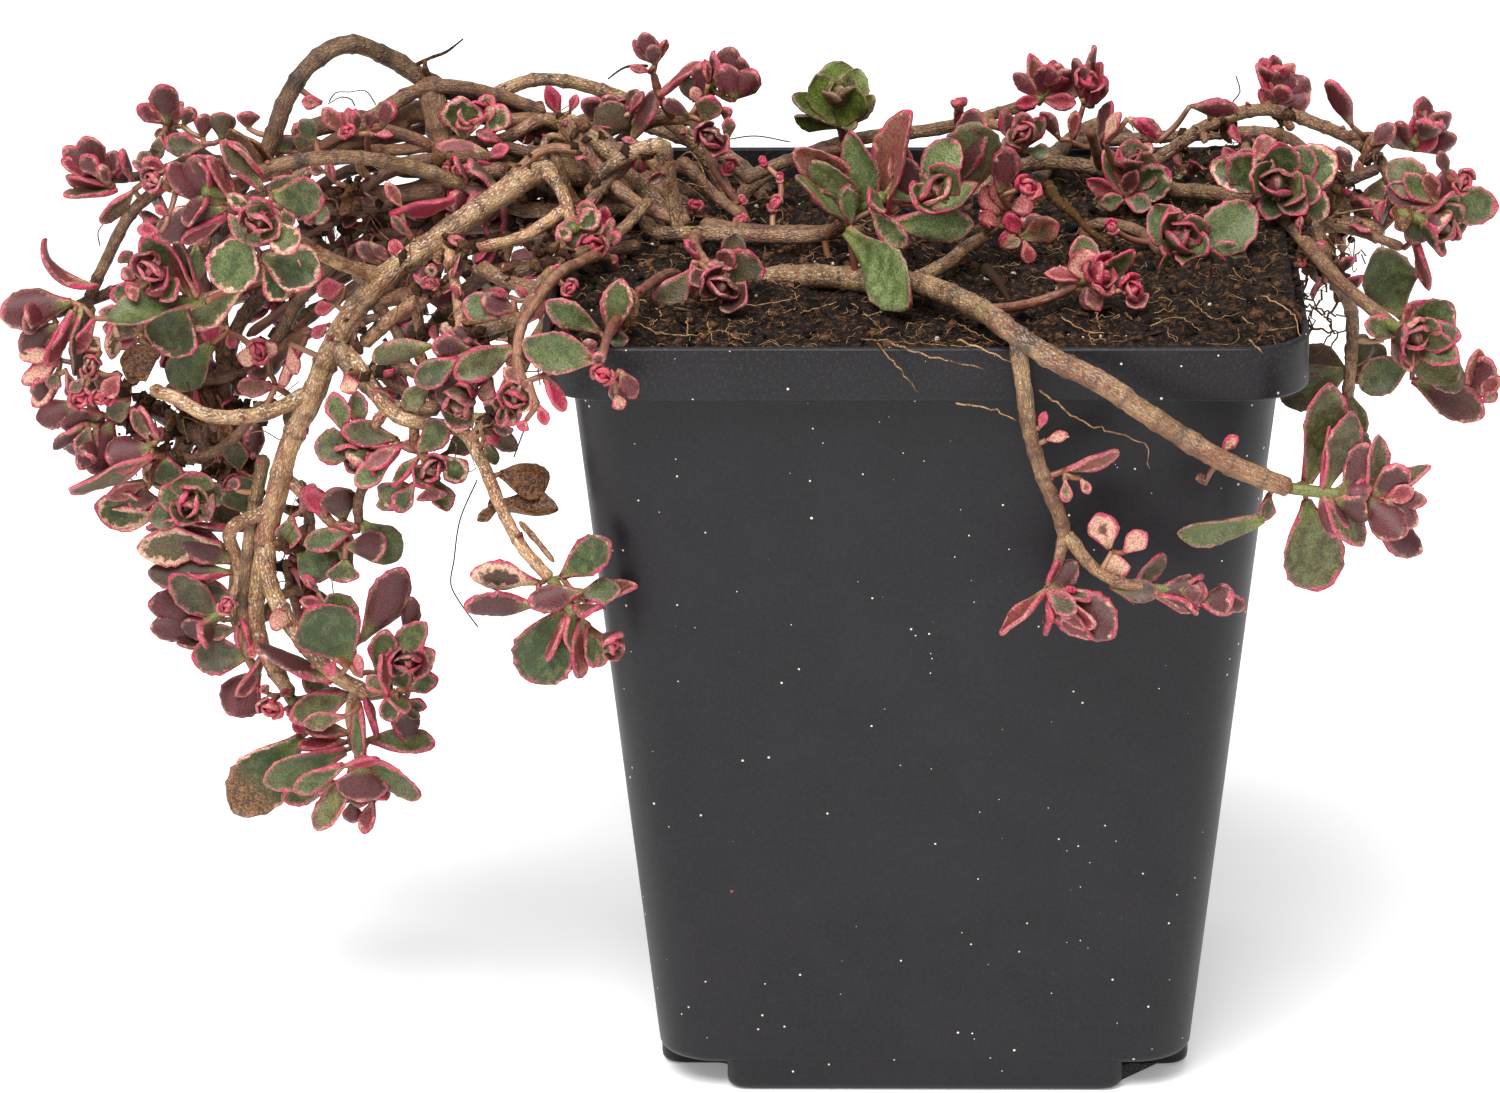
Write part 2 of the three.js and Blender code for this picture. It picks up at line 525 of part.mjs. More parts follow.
let occupied = join([mixSolid(GAP), ...grownStems])
for (const [name, rosette] of Object.entries(ROSETTES)) {
  const leaves = largestBody(rosetteSolid(rosette, 0).subtract(occupied))
  plant.add(meshFrom(leaves, name, FINISHES[rosette.at(-1)]))
  occupied = occupied.add(rosetteSolid(rosette, GAP))
}

export default plant
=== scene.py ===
# %% [markdown]
# # A potted two-row stonecrop
#
# This notebook gives a small garden plant its looks: woody stems that arch
# and trail out of a square black nursery pot, and fleshy leaves with toothed
# pink edges. The imported model says where every piece is. Here each piece is
# built again in fine detail, in the same place and at the same size.
#
# We load the model first. It is the frame that all else is hung on.

# %% Load the imported model
import json
import math

import bpy
import numpy as np
from mathutils import Matrix, Quaternion, Vector, noise

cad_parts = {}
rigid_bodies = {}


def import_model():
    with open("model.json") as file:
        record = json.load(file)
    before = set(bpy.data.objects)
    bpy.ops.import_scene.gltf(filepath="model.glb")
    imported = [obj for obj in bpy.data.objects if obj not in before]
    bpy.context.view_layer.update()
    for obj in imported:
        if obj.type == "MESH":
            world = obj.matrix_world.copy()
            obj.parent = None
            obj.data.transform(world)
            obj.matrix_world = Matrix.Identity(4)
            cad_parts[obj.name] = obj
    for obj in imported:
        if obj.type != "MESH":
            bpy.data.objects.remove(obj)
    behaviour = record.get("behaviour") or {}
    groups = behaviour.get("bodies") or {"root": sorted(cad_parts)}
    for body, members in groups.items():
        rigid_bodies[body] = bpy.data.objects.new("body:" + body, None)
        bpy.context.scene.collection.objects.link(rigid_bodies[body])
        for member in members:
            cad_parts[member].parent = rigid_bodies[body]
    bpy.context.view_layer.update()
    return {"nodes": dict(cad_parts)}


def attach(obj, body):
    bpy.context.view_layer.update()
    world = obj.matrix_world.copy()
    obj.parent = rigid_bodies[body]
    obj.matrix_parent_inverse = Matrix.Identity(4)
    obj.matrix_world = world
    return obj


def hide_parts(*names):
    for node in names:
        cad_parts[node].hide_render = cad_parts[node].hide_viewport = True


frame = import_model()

MM = 0.001
print("pieces in the packed model:", len(frame["nodes"]))

# %% [markdown]
# ## The view
#
# The photograph was taken from about 1.1 m away, with a long lens, looking
# down by 18 degrees. The camera stands in front of the pot and aims a little
# left of it, because the plant trails further to the left. A long lens keeps
# the pot's sides nearly straight. It was held a little askew, by less than
# half a degree.

# %% Camera
CAMERA_AT = Vector((0, -1093, 430)) * MM
CAMERA_AIM = Vector((-26.4, 0, 72.4)) * MM
CAMERA_ROLL = math.radians(-0.4)
SENSOR_WIDTH = 36
FOCAL_LENGTH = 182.95
NEAREST_SEEN = 0.05

scene = bpy.context.scene
camera_data = bpy.data.cameras.new("long_lens")
camera_data.sensor_width = SENSOR_WIDTH
camera_data.lens = FOCAL_LENGTH
camera_data.clip_start = NEAREST_SEEN
camera = bpy.data.objects.new("long_lens", camera_data)
camera.location = CAMERA_AT
straight = (CAMERA_AIM - CAMERA_AT).to_track_quat("-Z", "Y")
camera.rotation_euler = (straight @ Quaternion((0, 0, 1), CAMERA_ROLL)).to_euler()
scene.collection.objects.link(camera)
scene.camera = camera
print("camera distance in metres:", round((CAMERA_AIM - CAMERA_AT).length, 3))

# %% [markdown]
# ## Places read from the photograph
#
# Many leaves are placed one by one: the photograph shows where a leaf starts and
# ends, and the stem that carries it says how deep it lies. This helper turns
# a point of the 1500 by 1093 pixel picture, and a depth in millimetres, into
# a place in the frame. Depth is the frame's y, so it grows away from the
# viewer.

# %% From a pixel and a depth to a place
PHOTO_WIDTH, PHOTO_HEIGHT = 1500, 1093
PIXELS_PER_UNIT = FOCAL_LENGTH / SENSOR_WIDTH * PHOTO_WIDTH
VIEW_AXES = np.array(camera.rotation_euler.to_matrix())


def at_pixel(across, down, depth):
    """The place in millimetres that the photograph shows at a pixel, at a depth."""
    seen = np.array([across - PHOTO_WIDTH / 2, PHOTO_HEIGHT / 2 - down, -PIXELS_PER_UNIT])
    ray = VIEW_AXES @ seen
    start = np.array(CAMERA_AT) / MM
    return start + ray * (depth - start[1]) / ray[1]


print("middle of the front lip:", np.round(at_pixel(925, 348.5, -55), 1))

# %% [markdown]
# ## Floor and light
#
# The photograph is a studio shot on white: light comes from all around, a
# little more from the top and front. A pale floor, a white sky and two large
# soft lamps give that. Large lamps keep the shadows soft, and a faint glow of
# the floor keeps it nearly white, as in the photograph.

# %% Floor, sky and lamps
FLOOR_HALF = 6.0
FLOOR_COLOUR = (0.97, 0.97, 0.97, 1)
FLOOR_ROUGHNESS = 0.9
FLOOR_GLOW = 0.22
SKY_STRENGTH = 0.54
WHITE = (1, 1, 1, 1)
scene.view_settings.view_transform = "Standard"

floor_mesh = bpy.data.meshes.new("floor")
floor_corners = [(x * FLOOR_HALF, y * FLOOR_HALF, 0) for x, y in ((-1, -1), (1, -1), (1, 1), (-1, 1))]
floor_mesh.from_pydata(floor_corners, [], [(0, 1, 2, 3)])
floor = bpy.data.objects.new("floor", floor_mesh)
scene.collection.objects.link(floor)

floor_finish = bpy.data.materials.new("pale_floor")
floor_finish.use_nodes = True
floor_shader = floor_finish.node_tree.nodes["Principled BSDF"]
floor_shader.inputs["Base Color"].default_value = FLOOR_COLOUR
floor_shader.inputs["Roughness"].default_value = FLOOR_ROUGHNESS
floor_shader.inputs["Emission Color"].default_value = WHITE
floor_shader.inputs["Emission Strength"].default_value = FLOOR_GLOW
floor_mesh.materials.append(floor_finish)

sky = bpy.data.worlds.new("studio")
sky.use_nodes = True
sky.node_tree.nodes["Background"].inputs["Color"].default_value = WHITE
sky.node_tree.nodes["Background"].inputs["Strength"].default_value = SKY_STRENGTH
scene.world = sky


def soft_lamp(name, place, size, power):
    """Adds a square lamp that looks at the plant. Place and size are in metres, power in watts."""
    data = bpy.data.lights.new(name, "AREA")
    data.shape = "SQUARE"
    data.size = size
    data.energy = power
    lamp = bpy.data.objects.new(name, data)
    lamp.location = place
    lamp.rotation_euler = (CAMERA_AIM - Vector(place)).to_track_quat("-Z", "Y").to_euler()
    scene.collection.objects.link(lamp)


soft_lamp("front_lamp", (-0.35, -0.85, 1.6), 1.3, 50)
soft_lamp("side_lamp", (1.0, 0.1, 1.6), 1.2, 3)

# %% [markdown]
# ## Growing a mesh
#
# A plant is thousands of small shapes. Making each one an object would be
# slow, so shapes are gathered in a heap first: points, faces and named values
# for every point. The values, such as how far a point lies from its leaf's
# edge, are stored as mesh attributes. A material can read them, and that is
# how a leaf gets its pink rim in the right place without any image.

# %% A heap of shapes that becomes one piece
class Heap:
    """Shapes gathered for one mesh, with named values at each point."""

    def __init__(self, *labels):
        self.points = []
        self.faces = []
        self.values = {label: [] for label in labels}
        self.count = 0

    def add(self, points, faces, **values):
        """Adds one shape. A value is one number, or one for each point."""
        self.points.append(np.asarray(points, float))
        self.faces.extend(tuple(self.count + corner for corner in face) for face in faces)
        for label, numbers in self.values.items():
            numbers.append(np.broadcast_to(np.asarray(values.get(label, 0.0), float), len(points)))
        self.count += len(points)

    def piece(self, name, material, slot, *nodes):
        """Makes the mesh, which rides on the pot and stands for the given nodes."""
        mesh = bpy.data.meshes.new(name)
        mesh.from_pydata(np.concatenate(self.points) * MM, [], self.faces)
        for label, numbers in self.values.items():
            attribute = mesh.attributes.new(label, "FLOAT", "POINT")
            attribute.data.foreach_set("value", np.concatenate(numbers).astype(np.float32))
        mesh.shade_smooth()
        mesh.materials.append(material)
        made = bpy.data.objects.new(name, mesh)
        scene.collection.objects.link(made)
        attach(made, "root")
        if nodes:
            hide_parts(*nodes)
        return made


def smoothstep(value, low, high):
    """0 below low, 1 above high, and a smooth ramp between them."""
    share = np.clip((np.asarray(value, float) - low) / (high - low), 0, 1)
    return share * share * (3 - 2 * share)


def unit(vector):
    """A vector's direction."""
    return np.asarray(vector, float) / np.linalg.norm(vector)


print("a heap has points, faces and named values")

# %% [markdown]
# ## Building materials from nodes
#
# All colours come from node patterns. A few short helpers keep the node code
# readable: one adds a node and wires it, the others add the kinds of node
# that we use most. The numbers after a ramp's value say where it starts and
# ends. An effect that several materials share is a node group with named
# inputs and outputs.

# %% Node helpers
def add_node(tree, kind, wires=None, **settings):
    """Adds a shader node. Each wire is a socket to link or a value to set."""
    made = tree.nodes.new("ShaderNode" + kind)
    for name, value in settings.items():
        setattr(made, name, value)
    for name, source in (wires or {}).items():
        if isinstance(source, bpy.types.NodeSocket):
            tree.links.new(source, made.inputs[name])
        else:
            made.inputs[name].default_value = source
    return made


def arithmetic(tree, operation, first, second=0.0):
    """A sum, product or other operation on two numbers."""
    return add_node(tree, "Math", {0: first, 1: second}, operation=operation).outputs[0]


def plus(tree, first, second):
    """The sum of two numbers."""
    return arithmetic(tree, "ADD", first, second)


def minus(tree, first, second):
    """The first number less the second."""
    return arithmetic(tree, "SUBTRACT", first, second)


def times(tree, first, second):
    """The product of two numbers."""
    return arithmetic(tree, "MULTIPLY", first, second)


def vector_maths(tree, operation, first, second, result="Vector"):
    """An operation on two vectors."""
    return add_node(tree, "VectorMath", {0: first, 1: second}, operation=operation).outputs[result]


def ramp(tree, value, low, high, start=0.0, end=1.0):
    """A smooth step of a number from start, at low, to end, at high."""
    wires = {"Value": value, "From Min": low, "From Max": high, "To Min": start, "To Max": end}
    return add_node(tree, "MapRange", wires, interpolation_type="SMOOTHSTEP").outputs["Result"]


def mix_colours(tree, share, first, second, blend="MIX"):
    """Mixes two colours: share 0 is the first and share 1 the second."""
    made = add_node(tree, "Mix", {0: share, 6: first, 7: second}, data_type="RGBA", blend_type=blend)
    return made.outputs[2]


def cloud(tree, vector, scale, detail=3.0, distortion=0.0):
    """A noise pattern, from about 0.2 to 0.8."""
    wires = {"Vector": vector, "Scale": scale, "Detail": detail, "Distortion": distortion}
    return add_node(tree, "TexNoise", wires).outputs["Fac"]


def read_value(tree, label):
    """A value that the mesh holds at each point."""
    return add_node(tree, "Attribute", attribute_name=label).outputs["Fac"]


def millimetres(tree):
    """Places on the piece, with one unit to the millimetre."""
    place = add_node(tree, "TexCoord").outputs["Object"]
    return add_node(tree, "VectorMath", {0: place, "Scale": 1 / MM}, operation="SCALE").outputs[0]


print("units to the metre in a pattern:", 1 / MM)

# %% Node groups and finishes
def effect(name, inputs, outputs):
    """A new node group. Returns it with the sockets to read from and write to."""
    group = bpy.data.node_groups.new(name, "ShaderNodeTree")
    for label, value in inputs.items():
        kind = "NodeSocketColor" if isinstance(value, tuple) else "NodeSocketFloat"
        kind = "NodeSocketVector" if label == "Place" else kind
        socket = group.interface.new_socket(label, in_out="INPUT", socket_type=kind)
        socket.default_value = value
    for label, kind in outputs.items():
        group.interface.new_socket(label, in_out="OUTPUT", socket_type="NodeSocket" + kind)
    return group, group.nodes.new("NodeGroupInput").outputs, group.nodes.new("NodeGroupOutput").inputs


def use_effect(tree, group, wires):
    """Places a node group in a material, wired and set."""
    return add_node(tree, "Group", wires, node_tree=group).outputs


def new_finish(name):
    """A new material, with its node tree and its shader."""
    material = bpy.data.materials.new(name)
    material.use_nodes = True
    return material, material.node_tree, material.node_tree.nodes["Principled BSDF"]


def wire_finish(tree, shader, colour, roughness, height, depth_mm):
    """Feeds a colour, a roughness and a bump height, in millimetres, to the shader."""
    tree.links.new(colour, shader.inputs["Base Color"])
    tree.links.new(roughness, shader.inputs["Roughness"])
    bump = add_node(tree, "Bump", {"Height": height, "Distance": depth_mm * MM, "Strength": 1.0})
    tree.links.new(bump.outputs["Normal"], shader.inputs["Normal"])


def srgb(red, green, blue):
    """A colour as a screen shows it, 0 to 255, turned into the light that a shader needs."""
    share = np.array([red, green, blue]) / 255
    light = np.where(share > 0.04045, ((share + 0.055) / 1.055) ** 2.4, share / 12.92)
    return (*light.tolist(), 1.0)


print("charcoal in linear light:", [round(c, 3) for c in srgb(52, 50, 54)])

# %% [markdown]
# ## Lofts: one way to build pots, stems and leaves
#
# A pot wall, a stem and a leaf have one thing in common: each is a row of
# closed rings, joined ring to ring and shut at both ends. So one small
# function makes the faces for all of them. The faces turn outwards when each
# ring runs anticlockwise, seen from the far end.

# %% Faces for stacked rings
def loft_faces(rings, around):
    """Quads between rings of points, and a fan over each end."""
    row, column = np.meshgrid(np.arange(rings - 1), np.arange(around), indexing="ij")
    here = (row * around + column).ravel()
    beside = (row * around + (column + 1) % around).ravel()
    quads = np.stack([here, beside, beside + around, here + around], axis=1)
    step = np.arange(1, around - 1)
    last = (rings - 1) * around
    start = np.stack([0 * step, step + 1, step], axis=1)
    end = np.stack([0 * step, step, step + 1], axis=1) + last
    return quads.tolist() + start.tolist() + end.tolist()


QUARTER_TURN = np.array([[0, 1], [-1, 0]])


def square_ring(half, corner, arc_steps, side_steps):
    """Points round a square with rounded corners."""
    angle = np.linspace(0, np.pi / 2, arc_steps + 1)
    arc = (half - corner) + corner * np.stack([np.cos(angle), np.sin(angle)], axis=1)
    side = np.linspace(arc[-1], [corner - half, half], side_steps + 1)[1:-1]
    quarter = np.vstack([arc, side])
    turned = [quarter]
    for _ in range(3):
        turned.append(turned[-1] @ QUARTER_TURN)
    return np.vstack(turned)


def square_lathe(profile, arc_steps, side_steps):
    """Rings for a profile of half widths, heights and corner radii."""
    rings = []
    for half, height, corner in profile:
        ring = square_ring(half, corner, arc_steps, side_steps)
        rings.append(np.column_stack([ring, np.full(len(ring), height)]))
    return np.vstack(rings), loft_faces(len(profile), len(rings[0]))


print("faces of a loft with 3 rings of 8:", len(loft_faces(3, 8)))

# %% [markdown]
# ## The pot
#
# The pot is a moulded shell: a tapered square body, a collar that steps out
# at the top and a plus-shaped foot. Its outline is the same as the packed
# model's, with rounder edges. Four drain holes are cut through the raised
# corners of the floor.

# %% Pot outline
POT_HEIGHT = 120
RIM_HALF = 55
SHOULDER_HALF = 51
BASE_HALF = 39.7
COLLAR_Z = 112
WALL = 1.2
LIP_ROUND = 0.6
RIM_CORNER = 10
BASE_CORNER = 9
FOOT_HEIGHT = 4.4
FOOT_HALF_LOBE = 29.4
FOOT_REACH = 39.5
FOOT_CORNER = 3
BOTTOM_BEVEL = 1.4
DRAIN_RADIUS = 3
DRAIN_OFFSET = 33
FLOOR_Z = FOOT_HEIGHT + WALL


def rounded(half, height, corner, radius, first, last, steps=6):
    """Profile rows for a rounded edge. The angles say which part of the round it is."""
    rows = []
    for angle in np.radians(np.linspace(first, last, steps)):
        out = radius * math.cos(angle)
        rows.append((half - radius + out, height + radius * math.sin(angle), corner - radius + out))
    return rows


# A profile row is a half width, a height and a corner radius. Both profiles start or end with a
# tiny ring in the middle of the floor.
OUTER_PROFILE = [
    (2, FOOT_HEIGHT, 1),
    *rounded(BASE_HALF, FOOT_HEIGHT + BOTTOM_BEVEL, BASE_CORNER, BOTTOM_BEVEL, -90, 0),
    *[(BASE_HALF + (SHOULDER_HALF - BASE_HALF) * share,
       FOOT_HEIGHT + BOTTOM_BEVEL + (COLLAR_Z - FOOT_HEIGHT - BOTTOM_BEVEL) * share,
       BASE_CORNER + (RIM_CORNER - BASE_CORNER) * share) for share in np.linspace(0.02, 0.992, 12)],
    (SHOULDER_HALF, COLLAR_Z - 0.3, RIM_CORNER),
    (SHOULDER_HALF + 0.35, COLLAR_Z, RIM_CORNER),
    *rounded(RIM_HALF, COLLAR_Z + LIP_ROUND, RIM_CORNER, LIP_ROUND, -90, 0, 5),
    *rounded(RIM_HALF, POT_HEIGHT - LIP_ROUND, RIM_CORNER, LIP_ROUND, 0, 90, 6),
]
INNER_PROFILE = [
    (RIM_HALF - WALL + 0.25, POT_HEIGHT - 0.05, RIM_CORNER - WALL + 0.2),
    (RIM_HALF - WALL, POT_HEIGHT - 0.3, RIM_CORNER - WALL),
    (RIM_HALF - WALL, COLLAR_Z + WALL * 1.5, RIM_CORNER - WALL),
    (SHOULDER_HALF - WALL, COLLAR_Z + WALL, RIM_CORNER - WALL),
    (BASE_HALF - WALL, FLOOR_Z, BASE_CORNER - WALL),
    (2, FLOOR_Z, 1),
]
print("profile rows of the pot:", len(OUTER_PROFILE) + len(INNER_PROFILE))

# %% Foot outline
def plus_ring(reach, half_lobe, corner):
    """The rounded plus shape of the foot, anticlockwise."""
    quarter = np.array([(reach, -half_lobe), (reach, half_lobe), (half_lobe, half_lobe)])
    outline = []
    for _ in range(4):
        outline.extend(quarter)
        quarter = quarter @ QUARTER_TURN
    points = []
    for index, here in enumerate(outline):
        before = here + unit(outline[index - 1] - here) * corner
        after = here + unit(outline[(index + 1) % len(outline)] - here) * corner
        for share in np.linspace(0, 1, 6):
            points.append(before * (1 - share) ** 2 + here * 2 * share * (1 - share) + after * share ** 2)
    return np.array(points)


def foot_rings():
    """The foot as stacked rings, rounded at its lower edge."""
    rings = []
    for angle in np.radians(np.linspace(-90, 0, 6)):
        inset = BOTTOM_BEVEL * (1 - math.cos(angle))
        height = BOTTOM_BEVEL * (1 + math.sin(angle))
        ring = plus_ring(FOOT_REACH - inset, FOOT_HALF_LOBE - inset, FOOT_CORNER)
        rings.append(np.column_stack([ring, np.full(len(ring), height)]))
    top = rings[-1].copy()
    top[:, 2] = FLOOR_Z - 0.3
    return np.vstack([*rings, top]), loft_faces(len(rings) + 1, len(top))


print("points and faces of the foot:", [len(part) for part in foot_rings()])

# %% [markdown]
# ## Black moulded plastic
#
# The plastic is a dark, slightly warm grey with a soft sheen. Up close it
# isn't even: it has faint scuffs, a film of dust near the lip, splashes of
# pale grit and fine upright mould lines low on each side. Every one of these
# is a small pattern of its own, and the shader adds them up.

# %% Pot material
SEAM_AT = 21.5
PLASTIC_SHINE = 0.22

grit, ins, outs = effect(
    "grit", {"Place": (0.0, 0.0, 0.0), "Cell": 3.0, "Size": 0.12, "Share": 0.3}, {"Mask": "Float"})
closeness = arithmetic(grit, "DIVIDE", 1.0, ins["Cell"])
askew_wires = {"Vector": ins["Place"], "Axis": (0.6, 0.5, 0.3), "Angle": 0.9}
askew = add_node(grit, "VectorRotate", askew_wires).outputs[0]
cells = add_node(grit, "TexVoronoi", {"Vector": askew, "Scale": closeness, "Randomness": 1.0})
lottery = add_node(grit, "SeparateColor", {"Color": cells.outputs["Color"]}).outputs["Red"]
chosen = arithmetic(grit, "LESS_THAN", lottery, ins["Share"])
spread = times(grit, lottery, arithmetic(grit, "DIVIDE", ins["Size"], ins["Share"]))
near = arithmetic(grit, "LESS_THAN", cells.outputs["Distance"], spread)
grit.links.new(times(grit, chosen, near), outs["Mask"])

pot_finish, tree, shader = new_finish("black_plastic")
place = millimetres(tree)
split = add_node(tree, "SeparateXYZ", {"Vector": place}).outputs
scuffs = cloud(tree, place, 0.09, 5.0, 0.6)
fine = cloud(tree, place, 2.2, 3.0)
plastic = mix_colours(tree, ramp(tree, scuffs, 0.35, 0.7), srgb(22, 20, 23), srgb(27, 25, 28))
plastic = mix_colours(tree, ramp(tree, fine, 0.3, 0.75, 0.0, 0.25), plastic, srgb(48, 46, 48))
dust = times(tree, ramp(tree, split["Z"], 108, 120), ramp(tree, fine, 0.5, 0.8, 0.0, 0.16))
plastic = mix_colours(tree, dust, plastic, srgb(112, 102, 92))
pale_grit = use_effect(tree, grit, {"Place": place, "Cell": 1.7, "Size": 0.12, "Share": 0.42})["Mask"]
plastic = mix_colours(tree, pale_grit, plastic, srgb(214, 206, 192))
red_grit = use_effect(tree, grit, {"Place": place, "Cell": 5.2, "Size": 0.06, "Share": 0.12})["Mask"]
plastic = mix_colours(tree, red_grit, plastic, srgb(128, 74, 58))
seams = []
for axis in ("X", "Y"):
    off_seam = minus(tree, arithmetic(tree, "ABSOLUTE", split[axis]), SEAM_AT)
    seams.append(arithmetic(tree, "ABSOLUTE", off_seam))
seam = ramp(tree, arithmetic(tree, "MINIMUM", *seams), 0.0, 0.35, 1.0, 0.0)
seam = times(tree, seam, ramp(tree, split["Z"], 16, 44, 1.0, 0.0))
height = plus(tree, times(tree, fine, 0.25), times(tree, seam, 0.5))
height = plus(tree, height, pale_grit)
sheen = plus(tree, ramp(tree, scuffs, 0.3, 0.7, 0.4, 0.46), times(tree, pale_grit, 0.3))
wire_finish(tree, shader, plastic, sheen, height, 0.03)
shader.inputs["Specular IOR Level"].default_value = PLASTIC_SHINE
print("nodes in the plastic:", len(tree.nodes))

# %% Pot piece
DRILL_SIDES = 32
SHARP_FROM = math.radians(38)

pot_heap = Heap()
shell_points, shell_faces = square_lathe(OUTER_PROFILE + INNER_PROFILE, 10, 12)
pot_heap.add(shell_points, shell_faces)
pot_heap.add(*foot_rings())
pot = pot_heap.piece("pot_shell", pot_finish, "pot_plastic", "pot")

drill_heap = Heap()
turns = np.linspace(0, 2 * np.pi, DRILL_SIDES + 1)[:-1]
for side_x, side_y in ((1, 1), (1, -1), (-1, 1), (-1, -1)):
    hole = np.column_stack([side_x * DRAIN_OFFSET + DRAIN_RADIUS * np.cos(turns),
                            side_y * DRAIN_OFFSET + DRAIN_RADIUS * np.sin(turns)])
    heights = (FOOT_HEIGHT - 1, FLOOR_Z + 1)
    ends = [np.column_stack([hole, np.full(len(hole), height)]) for height in heights]
    drill_heap.add(np.vstack(ends), loft_faces(2, len(hole)))
drill_mesh = bpy.data.meshes.new("drain_drill")
drill_mesh.from_pydata(np.concatenate(drill_heap.points) * MM, [], drill_heap.faces)
drill = bpy.data.objects.new("drain_drill", drill_mesh)
scene.collection.objects.link(drill)
cut = pot.modifiers.new("drain_holes", "BOOLEAN")
cut.object = drill
cut.operation = "DIFFERENCE"
cut.solver = "EXACT"
bpy.context.view_layer.update()
drilled = bpy.data.meshes.new_from_object(pot.evaluated_get(bpy.context.evaluated_depsgraph_get()))
pot.modifiers.clear()
pot.data = drilled
bpy.data.objects.remove(drill)
for polygon in pot.data.polygons:
    polygon.use_smooth = True
pot.data.set_sharp_from_angle(angle=SHARP_FROM)
print("pot faces:", len(pot.data.polygons))

# %% [markdown]
# ## Potting mix
#
# The mix is peat: nearly black, crumbly and full of fibre. Its surface
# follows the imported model's: nearly flat and just under the lip, heaped at the
# front right and around the crown, and sunk along the back. Noise adds the
# small hills. Then crumbs, grains of white perlite, fibres and slivers of
# bark are strewn on top, most of them half buried.

# %% Surface of the mix
SOIL_LEVEL = 118.4
SOIL_HEAPS = [(36, -30, 1.6, 30), (-32, 5, 1.4, 30), (50, 46, 6, 18), (54, 2, 3.4, 24),
              (54, -34, 2, 20), (24, 52, 3, 14)]
SOIL_SUNK_DEPTH, SUNK_FROM_Y, SUNK_TO_Y = 3, 15, 50
SOIL_HALF = 53.4
SOIL_ROUGHNESS = 1.3
SOIL_RINGS, SOIL_ARC, SOIL_SIDE = 56, 12, 48
SOIL_GAP = 0.4


def mix_level(x, y):
    """Height of the mix without its small hills."""
    heaps = sum(rise * np.exp(-(((x - at_x) ** 2 + (y - at_y) ** 2) / reach ** 2))
                for at_x, at_y, rise, reach in SOIL_HEAPS)
    return SOIL_LEVEL + heaps - SOIL_SUNK_DEPTH * smoothstep(y, SUNK_FROM_Y, SUNK_TO_Y)


def soil_height(x, y):
    """Height of the mix at one place, small hills included."""
    hills = noise.fractal(Vector((x, y, 7)) * 0.16, 0.6, 2.1, 5)
    inside = 1 - smoothstep(max(abs(x), abs(y)), SOIL_HALF - 3, SOIL_HALF)
    return float(mix_level(x, y)) + SOIL_ROUGHNESS * (hills - 0.1) * float(0.35 + 0.65 * inside)


soil_rows = [(half, 0, RIM_CORNER * half / RIM_HALF) for half in np.linspace(SOIL_HALF, 0.4, SOIL_RINGS)]
soil_points, _ = square_lathe(soil_rows, SOIL_ARC, SOIL_SIDE)
soil_points[:, 2] = [soil_height(x, y) for x, y in soil_points[:, :2]]
hidden_rows = [
    (2, FLOOR_Z + SOIL_GAP, 1),
    (BASE_HALF - WALL - SOIL_GAP, FLOOR_Z + SOIL_GAP, 7.4),
    (SHOULDER_HALF - WALL - SOIL_GAP, COLLAR_Z + WALL, 8.4),
    (RIM_HALF - WALL - SOIL_GAP, COLLAR_Z + 2.2, 8.4),
]
hidden_points, _ = square_lathe(hidden_rows, SOIL_ARC, SOIL_SIDE)
all_rings = len(hidden_rows) + len(soil_rows)
soil_heap = Heap()
soil_heap.add(np.vstack([hidden_points, soil_points]), loft_faces(all_rings, 4 * (SOIL_ARC + SOIL_SIDE)))
print("soil points:", soil_heap.count)

# %% Materials of the mix
def crumb_finish(name, dark, light, roughness):
    """A matt, crumbly material between two colours. Each grain has its own tone."""
    material, tree, shader = new_finish(name)
    place = millimetres(tree)
    coarse = cloud(tree, place, 1.1, 5.0, 0.4)
    fine = cloud(tree, place, 4.0, 4.0)
    tone = plus(tree, ramp(tree, coarse, 0.3, 0.72), read_value(tree, "tone"))
    tone = ramp(tree, plus(tree, tone, ramp(tree, fine, 0.3, 0.7)), 0.8, 2.5)
    colour = mix_colours(tree, tone, dark, light)
    rough = ramp(tree, fine, 0.2, 0.8, roughness - 0.1, roughness)
    wire_finish(tree, shader, colour, rough, plus(tree, fine, coarse), 0.35)
    shader.inputs["Specular IOR Level"].default_value = 0.2
    return material


peat_finish = crumb_finish("peat", srgb(11, 7, 5), srgb(108, 74, 50), 1.0)
perlite_finish = crumb_finish("perlite", srgb(188, 176, 158), srgb(238, 232, 222), 0.9)
fibre_finish = crumb_finish("fibre", srgb(88, 58, 36), srgb(190, 148, 104), 0.85)
chip_finish = crumb_finish("bark_chip", srgb(52, 33, 22), srgb(124, 84, 54), 0.9)
soil_heap.piece("mix_surface", peat_finish, "potting_mix", "potting_mix")
print("materials so far:", len(bpy.data.materials))

# %% Crumbs, perlite and slivers
CRUMBS, SPILLED, GRAINS, SLIVERS = 2150, 170, 70, 110
STREWN_HALF = 52.0
rng = np.random.default_rng(11)


